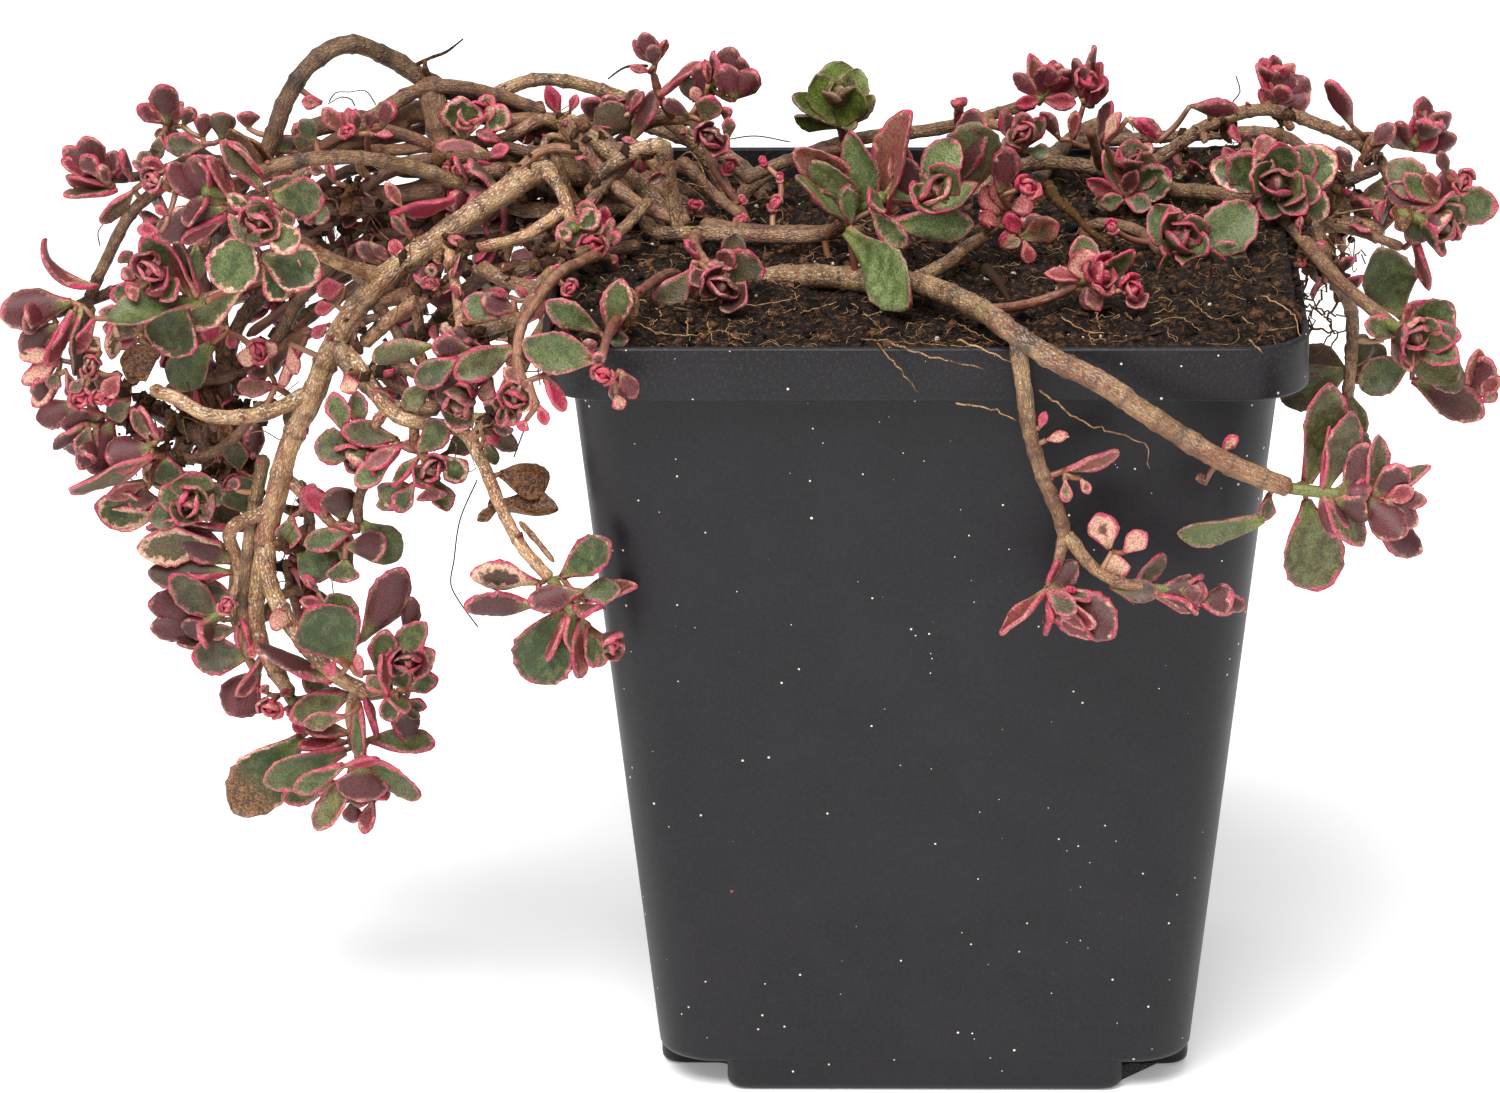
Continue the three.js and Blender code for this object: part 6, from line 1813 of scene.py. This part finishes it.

# %% [markdown]
# ## The tangle behind
#
# Seen from the front the plant is a dense tangle. Behind the stems that can
# be followed one by one there are many more. Some of them are drawn from
# pixels and depths. The rest are grown by chance, within the space that
# the mass of the plant fills, with small rosettes on some of their ends.

# %% More stems from pixels and depths
SEEN_STEMS = {
    "left_back_a": (1.1, [
        (672, 190, 22), (640, 150, 22), (590, 150, 20), (545, 120, 14), (500, 140, 12), (450, 142, 10),
        (400, 150, 8), (368, 150, 6)]),
    "left_back_b": (1.1, [
        (610, 175, 16), (560, 160, 14), (480, 158, 8), (440, 158, 6), (400, 165, 4), (360, 190, 2)]),
    "left_back_c": (1.4, [
        (620, 215, 12), (560, 186, 10), (500, 170, 8), (440, 190, 6), (400, 195, 6), (350, 215, 8)]),
    "drooping": (1.2, [
        (215, 215, 6), (218, 270, 8), (222, 340, 6), (224, 380, 4), (228, 420, 2), (230, 455, 0),
        (222, 490, -4)]),
    "left_low_shoot": (0.8, [
        (92, 305, -2), (86, 340, -2), (98, 380, -3), (118, 412, -4), (150, 452, -5)]),
    "left_low_link": (0.9, [(150, 452, -5), (196, 458, -6), (232, 440, -8), (262, 402, -10)]),
    "under_link": (0.9, [(384, 450, -20), (366, 480, -18), (358, 505, -16), (360, 530, -15)]),
    "knobbly_stub": (1.5, [
        (338, 345, -16), (352, 368, -18), (372, 388, -19), (392, 408, -20), (440, 408, -22)]),
    "thin_fork": (0.5, [(520, 522, -42), (536, 540, -45), (554, 562, -47)]),
    "trunk_side_tail": (0.9, [(236, 560, -8), (234, 610, -9), (246, 652, -11), (258, 676, -12)]),
    "lowest_tail": (0.9, [(268, 650, -12), (284, 680, -12), (292, 700, -12), (340, 690, -14)]),
    "crown_a": (1.2, [(560, 118, 6), (600, 170, 4), (640, 205, 2), (690, 222, 0)]),
    "crown_b": (1.1, [(596, 165, 10), (560, 160, 8), (500, 145, 10)]),
    "crown_c": (1.0, [(680, 158, 10), (716, 196, 8), (742, 216, 4)]),
    "crown_d": (1.0, [
        (640, 150, 6), (600, 190, 2), (570, 230, -2), (520, 240, -4), (470, 246, -4), (440, 256, -6)]),
    "crown_e": (1.1, [
        (640, 245, -4), (560, 262, -8), (500, 270, -10), (452, 300, -12), (420, 340, -14),
        (380, 356, -16)]),
    "crown_f": (0.9, [
        (650, 200, 0), (610, 240, -10), (560, 262, -22), (530, 300, -32), (520, 330, -40)]),
    "crown_g": (1.3, [(700, 225, 4), (760, 232, 2), (820, 232, 0), (862, 232, -4)]),
    "soil_a": (1.0, [(742, 180, 14), (790, 160, 18), (840, 150, 24)]),
    "soil_b": (0.9, [(1240, 210, 4), (1290, 214, 2), (1330, 205, 2)]),
    "pink_riser": (1.2, [
        (350, 132, 10), (384, 110, 11), (414, 92, 12), (446, 86, 12), (500, 96, 14), (545, 112, 16)]),
    "arch_chunk": (2.1, [(426, 78, 14), (434, 104, 12), (440, 140, 10), (446, 172, 8)]),
    "left_fill_a": (1.3, [(322, 240, 10), (270, 286, 10), (236, 330, 9), (226, 376, 8), (216, 434, 5)]),
    "left_fill_b": (1.1, [(345, 250, 6), (300, 300, 4), (274, 344, 2), (240, 372, 0), (196, 382, 0)]),
    "left_fill_c": (1.0, [(140, 322, 4), (172, 356, 4), (200, 400, 2), (224, 444, 0)]),
    "left_fill_d": (0.9, [(204, 350, 2), (210, 400, 2), (206, 452, 0), (212, 520, -2)]),
    "left_fill_e": (0.9, [(300, 480, -2), (310, 530, -4), (300, 580, -6), (312, 620, -8)]),
    "rim_fill": (1.0, [(560, 300, -34), (530, 350, -38), (505, 400, -40), (470, 440, -36)]),
    "broad_behind": (1.9, [(214, 316, 7), (202, 350, 6), (190, 385, 5), (190, 420, 4), (182, 452, 3)]),
    "clump_a": (1.5, [(150, 405, 4), (172, 420, 3), (196, 434, 2), (214, 458, 0)]),
    "clump_b": (1.3, [(236, 404, 4), (208, 420, 3), (184, 446, 2), (168, 468, 0)]),
    "clump_c": (1.1, [(196, 400, 5), (178, 424, 3), (156, 440, 2)]),
    "trunk_beside": (1.1, [
        (264, 455, -9), (252, 520, -10), (246, 570, -11), (243, 620, -11), (250, 660, -12)]),
    "trunk_right": (0.8, [(286, 560, -8), (292, 590, -8), (300, 622, -9)]),
    "curl_a": (0.8, [(362, 354, -16), (352, 336, -16), (362, 322, -15), (380, 316, -15)]),
    "curl_b": (0.8, [(372, 366, -18), (392, 384, -19), (416, 398, -20)]),
    "gap_a": (1.2, [(478, 266, -14), (510, 282, -16), (548, 290, -18)]),
    "gap_b": (1.0, [(496, 300, -14), (515, 276, -14), (540, 262, -14)]),
    "gap_c": (1.0, [(474, 332, -24), (500, 326, -26), (526, 316, -28)]),
    "right_mass_a": (1.8, [(1290, 206, 10), (1330, 200, 10), (1372, 206, 9), (1400, 214, 7)]),
    "right_mass_b": (1.5, [(1300, 226, 6), (1340, 224, 6), (1384, 232, 5)]),
    "hollow_a": (1.3, [(350, 302, -10), (385, 300, -12), (430, 286, -14)]),
    "hollow_b": (1.2, [(362, 345, -14), (390, 320, -14), (424, 296, -16)]),
    "hollow_c": (1.0, [(372, 300, -12), (396, 330, -14), (404, 356, -16)]),
    "hollow_d": (1.0, [(400, 290, -14), (416, 312, -15), (420, 340, -16)]),
    "right_behind": (1.1, [(1276, 200, 8), (1330, 186, 8), (1380, 168, 8)]),
    "right_behind_low": (0.9, [(1290, 205, 6), (1336, 224, 6), (1372, 236, 4), (1404, 248, 2)]),
}

# These stems between the others get lower tones than usual: partly painted shade of the tangle around them.
seen_heap = Heap(*BARK_LABELS)
for radius, rows in SEEN_STEMS.values():
    grow_stem(seen_heap, radius, [at_pixel(*row) for row in rows], youth=rng.uniform(0, 0.5),
              tone=rng.uniform(0.1, 0.6))
seen_heap.piece("stems_between", bark_finish, "bark")
print("more stems:", len(SEEN_STEMS))

# %% Stems and small rosettes by chance
TANGLE_STEMS = 40
BEHIND_SIDES, BEHIND_STEP = 9, 1.1
SMALL_LENGTH, BACK_LENGTH = (4.8, 7.5), (5, 9.5)


def wander(start, end, rise, sway, bends=4):
    """A bent route between two places. It lifts in the middle and sways at random."""
    rows = []
    for share in np.linspace(0, 1, bends + 2):
        drift = rng.normal(0, sway, 3) * math.sin(math.pi * share)
        rows.append(start + (end - start) * share + [0, 0, rise * math.sin(math.pi * share)] + drift)
    return rows


def grow_behind(radius, route, tones):
    """A stem of the tangle, with fewer points than the stems in front."""
    youth = rng.uniform(0, 0.8)
    grow_stem(tangle_heap, radius, route, youth=youth, tone=rng.uniform(*tones),
              sides=BEHIND_SIDES, step=BEHIND_STEP)


tangle_heap = Heap(*BARK_LABELS)
small_heaps = {finish: Heap(*LEAF_LABELS) for finish in ("green", "purple", "red")}
for index in range(TANGLE_STEMS):
    reach = (index + 0.5) / TANGLE_STEMS
    start = np.array([rng.uniform(-52, -34), rng.uniform(4, 34), rng.uniform(117, 124)])
    down = rng.uniform(0.05, 1.0)
    end = np.array([-58 - 60 * reach, rng.uniform(0, 34), 133 - down * (24 + 14 * reach)])
    route = wander(start, end, rng.uniform(2, 9), 2.2)
    # Low tones here are partly painted shade, deep in the tangle.
    grow_behind(rng.uniform(0.6, 1.15), route, (0.05, 0.5))
    if index % 3 == 0:
        finish = ("green", "purple", "red", "purple")[index // 3 % 4]
        out = unit(route[-1] - route[-2]) + [-0.2, rng.uniform(-1.0, 0.6), rng.uniform(-0.2, 0.6)]
        small = (route[-1], out, rng.uniform(*SMALL_LENGTH), 3 + rng.integers(2), 1, finish)
        grow_rosette(small_heaps[finish], small, rng.uniform(8, 30))

# Stems cross the back rim only where the photograph shows the plant above it.
CROSSINGS = np.concatenate([np.linspace(-60, -38, 5), np.linspace(-16, 12, 4), np.linspace(42, 54, 4)])
for crossing in CROSSINGS:
    start = np.array([crossing * 0.8 + rng.uniform(-5, 5), rng.uniform(28, 38), rng.uniform(117, 119)])
    end = np.array([crossing + rng.uniform(-3, 3), rng.uniform(58, 66), rng.uniform(86, 114)])
    route = wander(start, end, rng.uniform(5, 8), 1.2)
    grow_behind(rng.uniform(0.7, 1.1), route, (0.3, 0.7))
    finish = ("green", "purple", "green")[rng.integers(3)]
    out = [rng.uniform(-0.3, 0.3), 1, rng.uniform(-0.9, 0.6)]
    small = (route[-1], out, rng.uniform(*BACK_LENGTH), 4, 1, finish)
    grow_rosette(small_heaps[finish], small)
tangle_heap.piece("stems_behind", bark_finish, "bark")
for finish, heap in small_heaps.items():
    heap.piece("small_rosettes_" + finish, LEAF_FINISHES[finish], "leaf_" + finish)
print("points of the tangle:", tangle_heap.count)
print("points of its rosettes:", sum(heap.count for heap in small_heaps.values()))

# %% [markdown]
# ## Closing gaps
#
# In a few spots the photograph shows stems and leaves where the backdrop
# would still be seen between the pieces so far. These last stems and leaves
# lie there, behind the others.

# %% Stems and leaves in the gaps
GAP_STEMS = [
    (1.6, [(292, 134, 13), (330, 124, 13), (366, 120, 14), (410, 126, 14)]),
    (1.9, [(388, 128, 15), (412, 112, 15), (436, 116, 15), (462, 130, 14)]),
    (1.3, [(300, 148, 12), (340, 146, 12), (380, 132, 13)]),
    (1.0, [(312, 170, 5), (278, 186, 4), (246, 200, 3), (226, 214, 2)]),
    (1.0, [(208, 236, 3), (200, 262, 2), (206, 294, 1)]),
    (1.1, [(446, 250, -6), (464, 268, -7), (478, 288, -9)]),
    (1.1, [(380, 374, -14), (404, 368, -15), (428, 380, -16)]),
    (1.2, [(268, 372, 0), (286, 348, -2), (312, 330, -4)]),
    (1.0, [(330, 604, -8), (300, 590, -8), (276, 600, -9), (262, 622, -10)]),
    (1.6, [(1300, 214, 0), (1318, 240, -2), (1330, 262, -3), (1340, 282, -4)]),
]
GAP_LEAVES = [
    (246, 530, 212, 506, 24, "d"), (352, 570, 328, 538, 26, "g"), (338, 574, 322, 552, 20, "d"),
    (312, 404, 286, 424, 26, "d"), (116, 378, 92, 392, 22, "d"), (130, 388, 116, 402, 20, "P"),
    (196, 246, 196, 280, 22, "d"), (300, 176, 268, 190, 18, "g"), (308, 212, 330, 218, 20, "d"),
    (316, 142, 300, 122, 18, "d"), (402, 392, 384, 370, 18, "d"), (340, 548, 352, 536, 16, "d"),
    (410, 690, 392, 664, 20, "d"), (330, 690, 304, 676, 22, "d"), (86, 398, 66, 388, 20, "P"),
    (44, 408, 40, 378, 18, "P"), (240, 470, 236, 440, 22, "d"), (1384, 340, 1372, 318, 20, "n"),
]
gap_heap = Heap(*BARK_LABELS)
for radius, rows in GAP_STEMS:
    grow_stem(gap_heap, radius, [at_pixel(*row) for row in rows], youth=rng.uniform(0, 0.5), tone=0.3)
gap_heap.piece("stems_in_gaps", bark_finish, "bark")
gap_leaf_heap = Heap(*LEAF_LABELS)
add_drawn_leaves(gap_leaf_heap, 2, GAP_LEAVES)
gap_leaf_heap.piece("leaves_in_gaps", LEAF_FINISHES["green"], "leaf_green")
print("stems and leaves in gaps:", len(GAP_STEMS), len(GAP_LEAVES))

# %% [markdown]
# ## Twigs that carry the listed leaves
#
# Each leaf and bud that was placed one by one has to grow from something. We go
# from the nearest to the farthest: each base is joined by a thin twig to the
# closest stem or twig that is already there. So the twigs branch the way
# real side shoots do.

# %% Joining leaves to the plant
JOINED, LONGEST_TWIG = 0.9, 26
TWIG_SIDES = 7
grown = list(centre_lines)
bases = np.array(leaf_bases)
gap = np.full(len(bases), np.inf)
nearest = np.zeros((len(bases), 3))
done = np.zeros(len(bases), bool)


def closer(places):
    """Notes, for every base, the closest of the given places."""
    for index, base in enumerate(bases):
        distance = np.linalg.norm(places - base, axis=1)
        best = int(distance.argmin())
        if distance[best] < gap[index]:
            gap[index] = distance[best]
            nearest[index] = places[best]


closer(np.vstack(grown))
twig_heap = Heap(*BARK_LABELS)
for _ in bases:
    index = int(np.where(done, np.inf, gap).argmin())
    done[index] = True
    if JOINED < gap[index] < LONGEST_TWIG:
        start, end, length = nearest[index].copy(), bases[index], gap[index]
        middle = (start + end) / 2 + rng.normal(0, 0.06 * length, 3) - [0, 0, 0.05 * length]
        line = smooth_route([start, middle, end], 1.0)
        radii = np.linspace(0.42 + 0.02 * length, 0.4, len(line))
        add_tube(twig_heap, line, radii, TWIG_SIDES, along=rng.uniform(0, PATTERN_SHIFT),
                 young=rng.uniform(0.4, 1.0), tone=rng.uniform(0.2, 0.6))
        grown.append(line)
        closer(line)
twig_heap.piece("leaf_twigs", bark_finish, "bark")
print("twigs:", len(grown) - len(centre_lines))

# %% [markdown]
# ## Dead leaves, clods and buds
#
# The tangle holds its own litter: shrivelled brown leaves, crumbs of peat and
# fine dry fibres. Each is hung on the stem or twig closest to a random spot
# in one of a few regions, so that nothing floats. Small pink buds sit at some
# of the rings where leaves once grew.

# %% Litter in the tangle
# The columns are the pixels of two corners, the depth of the near and the far side, and how many.
LITTER = {
    "under_curl": (330, 190, 400, 240, -2, 14, 16), "left_low": (140, 390, 260, 475, -4, 6, 44),
    "left_hollow": (110, 300, 300, 400, 0, 12, 36), "trunk_side": (275, 480, 330, 600, -12, -2, 14),
    "crown_front": (400, 240, 560, 335, -26, 4, 42), "under_trunk": (350, 330, 470, 420, -22, -4, 16),
    "upper_left": (290, 120, 560, 240, 4, 24, 20), "crown": (480, 120, 720, 250, -4, 20, 24),
    "rim_corner": (470, 350, 550, 430, -42, -32, 14), "right_edge": (1300, 160, 1400, 240, 2, 14, 36),
    "back_right": (1170, 125, 1320, 200, 26, 44, 20), "right_hang": (1298, 232, 1346, 288, -6, 0, 16),
}
SHED_LOOKS = "bbbpprg"
CLODS_EACH, LARGEST_CLOD = 4, 2.2
stem_places = np.vstack(grown)


def hold_in(region):
    """The place on a stem or twig that is closest to a random spot of a region."""
    left, top, right, bottom, near, far = region
    spot = at_pixel(rng.uniform(left, right), rng.uniform(top, bottom), rng.uniform(near, far))
    return stem_places[np.linalg.norm(stem_places - spot, axis=1).argmin()]


litter_heap = Heap(*LEAF_LABELS)
clod_heap = Heap("tone")
root_heap = Heap("tone")
for *region, count in LITTER.values():
    for _ in range(count):
        hold = hold_in(region)
        heading = unit(rng.normal(0, 1, 3) - [0, 0, 0.5])
        face, length = rng.normal(0, 1, 3), rng.uniform(3, 6.5)
        look, width = SHED_LOOKS[rng.integers(len(SHED_LOOKS))], rng.uniform(0.3, 0.6)
        add_leaf(litter_heap, hold, heading, face, length, look, width, thickness=0.7, detail=0.7,
                 bend=rng.normal(0, 0.9), cup=rng.uniform(0.3, 1.1), twist=rng.normal(0, 0.8))
        for _ in range(CLODS_EACH):
            place = hold + rng.normal(0, 0.8, 3)
            size = min(rng.gamma(2.0, 0.6) + 0.6, LARGEST_CLOD)
            add_lump(clod_heap, place, size, tone=rng.uniform(-0.9, 0.9))
    for _ in range(count // 2):
        hold = hold_in(region)
        route = np.cumsum([hold, *rng.normal([0, 0, -0.8], 1.8, (4, 3))], axis=0)
        line = smooth_route(route, 1.0)
        add_tube(root_heap, line, rng.uniform(0.06, 0.13), 4, tone=rng.uniform(-0.5, 1.0))
litter_heap.piece("dead_leaves", LEAF_FINISHES["purple"], "leaf_purple")
clod_heap.piece("clods", chip_finish, "potting_mix")
root_heap.piece("tangled_roots", fibre_finish, "potting_mix")
print("litter points:", litter_heap.count + clod_heap.count + root_heap.count)

# %% Buds at the rings
BUD_SHARE = 0.2
node_heap = Heap(*LEAF_LABELS)
for place, radius in nodes_on_stems:
    if rng.random() < BUD_SHARE:
        out = unit(rng.normal(0, 1, 3) + [0, -0.6, 0.4])
        add_lump(node_heap, place + out * radius, rng.uniform(0.6, 1.3), rim=rng.uniform(0.3, 0.9),
                 along=0.5, flush=0.9, blush=rng.uniform(0.1, 0.7), chance=0.5)
node_heap.piece("node_buds", LEAF_FINISHES["red"], "leaf_red")
print("bud points:", node_heap.count)

# %% [markdown]
# ## Loose roots, twigs and threads
#
# Fine tan roots lie on the mix and hang over the rim. A few dark threads and
# dry twigs stand out against the white. A root on the mix is given by pixels
# only: its depth is the one at which the mix is seen there.

# %% Roots on the mix
def mix_at_pixel(across, down, lift):
    """The place on the mix that the photograph shows at a pixel, a little above it."""
    places = [at_pixel(across, down, depth) for depth in np.arange(-52, 50, 0.5)]

    def miss(place):
        """How far a place is from the wanted height above the mix."""
        return abs(place[2] - lift - soil_height(*np.clip(place[:2], -MIX_EDGE, MIX_EDGE)))

    return min(places, key=miss)


SOIL_ROOTS = [
    [(800, 313), (843, 303), (884, 330)], [(861, 340), (920, 343), (980, 349)],
    [(626, 318), (660, 332), (700, 335), (722, 330)], [(722, 330), (735, 338), (752, 344)],
    [(655, 335), (668, 330)], [(686, 318), (690, 344)], [(707, 322), (713, 340)],
    [(958, 324), (985, 338), (1006, 346)], [(1190, 300), (1215, 318), (1246, 312)],
    [(1150, 325), (1180, 318), (1200, 330)], [(1262, 296), (1290, 312), (1300, 336)],
    [(1060, 318), (1085, 330), (1120, 336)], [(700, 300), (760, 305), (800, 296)],
    [(640, 300), (660, 312), (650, 326)], [(1240, 318), (1268, 330), (1296, 326)],
    [(1096, 310), (1100, 330)],
]
HANGING_ROOTS = [
    [(878, 344, -55), (900, 370, -57), (921, 395, -57)],
    [(884, 341, -54), (935, 358, -57), (984, 369, -57)],
    [(958, 340, -54), (990, 352, -57), (1013, 364, -57)],
    [(957, 403, -57), (990, 409, -58), (1017, 421, -58)],
    [(1038, 390, -60), (1090, 425, -60), (1145, 445, -58), (1149, 468, -57)],
    [(1250, 340, -55), (1262, 352, -57)],
]
# Dark roots that dangle beside the pot, on its right.
DARK_ROOTS = [
    [(1300, 246, -4), (1307, 275, -6), (1302, 300, -8), (1313, 325, -10), (1306, 350, -12)],
    [(1316, 262, -6), (1327, 284, -8), (1318, 305, -8), (1331, 330, -9), (1322, 352, -10)],
    [(1310, 258, -5), (1304, 290, -6), (1316, 306, -7), (1308, 330, -8)],
    [(1330, 285, -8), (1338, 300, -8), (1328, 318, -8), (1336, 338, -9), (1312, 356, -10)],
    [(1322, 240, -3), (1340, 246, -3), (1352, 258, -3), (1362, 250, -3), (1364, 262, -3)],
    [(1300, 300, -9), (1320, 312, -9), (1346, 316, -10)],
    [(1304, 322, -9), (1324, 330, -9), (1348, 332, -10)],
]
ROOT_SIDES, ROOT_LIFT, DARK_TONE = 5, 0.7, -1.6


def add_root(line, start_radius, end_radius, shake, dark=False):
    """A thin, shaky root along a line."""
    line = line + rng.normal(0, shake, line.shape)
    tone = DARK_TONE if dark else rng.uniform(0.4, 1.2)
    add_tube(fine_heap, line, np.linspace(start_radius, end_radius, len(line)), ROOT_SIDES, tone=tone)


fine_heap = Heap("tone")
for pixels in SOIL_ROOTS:
    places = [mix_at_pixel(*pixel, ROOT_LIFT) for pixel in pixels]
    add_root(smooth_route(places, 0.8), 0.13, 0.06, 0.12)
for rows in HANGING_ROOTS:
    add_root(seen_route(rows), 0.15, 0.08, 0.12)
for rows in DARK_ROOTS:
    add_root(seen_route(rows, 0.7), 0.24, 0.12, 0.3, dark=True)
fine_heap.piece("loose_roots", fibre_finish, "potting_mix")
print("points of the loose roots:", fine_heap.count)

# %% Twigs and threads
DRY_TWIGS = {
    "arch_twig": (0.32, [(414, 66, 14), (430, 58, 14), (446, 52, 13), (463, 39, 12)]),
    "arch_stub": (0.8, [(428, 78, 14), (425, 68, 13), (425, 60, 13)]),
    "crown_twig": (0.28, [(648, 66, 19), (626, 67, 19), (613, 75, 19), (608, 79, 19)]),
    "dead_stub": (0.9, [
        (1048, 184, 4), (1060, 204, 0), (1072, 212, -2), (1086, 228, -4), (1112, 245, -8)]),
    "soil_stub": (1.0, [(985, 268, -20), (998, 282, -24), (1012, 306, -28)]),
}
THREADS = {
    "left_thread": [
        (477, 480, -20), (460, 520, -20), (454, 560, -20), (451, 585, -20), (461, 604, -21),
        (478, 627, -22)],
    "cup_thread": [(524, 430, -46), (518, 446, -45), (514, 457, -44)],
    "arch_hair_a": [(329, 102, 10), (335, 93, 10), (350, 92, 9), (366, 91, 8), (376, 105, 8)],
    "arch_hair_b": [(328, 104, 10), (342, 97, 9), (352, 100, 8), (355, 106, 8)],
    "back_hair": [(724, 140, 50), (755, 136, 51), (790, 142, 52)],
    "left_hair": [(104, 223, -1), (98, 232, -1), (100, 246, -1)],
    "right_hair": [(1236, 76, 30), (1240, 92, 29), (1232, 104, 28), (1238, 116, 27)],
}
golden_finish = crumb_finish("golden_bark", srgb(70, 46, 16), srgb(176, 132, 52), 0.7)
twigs = Heap("tone")
golden = Heap("tone")
for name, (radius, rows) in DRY_TWIGS.items():
    line = seen_route(rows)
    radii = np.linspace(radius, radius * 0.4, len(line)) * rng.uniform(0.8, 1.2, len(line))
    add_tube(golden if name == "dead_stub" else twigs, line, radii, 7, tone=rng.uniform(-0.6, 0.4))
golden.piece("golden_twig", golden_finish, "potting_mix")
for rows in THREADS.values():
    add_tube(twigs, seen_route(rows), 0.11, 4, tone=-0.9)
twigs.piece("dry_twigs", chip_finish, "potting_mix")
print("points of twigs and threads:", golden.count + twigs.count)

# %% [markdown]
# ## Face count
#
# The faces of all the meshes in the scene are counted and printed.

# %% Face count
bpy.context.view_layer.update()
faces = sum(len(o.data.polygons) for o in scene.objects if o.type == "MESH")
print("faces in the scene:", faces)
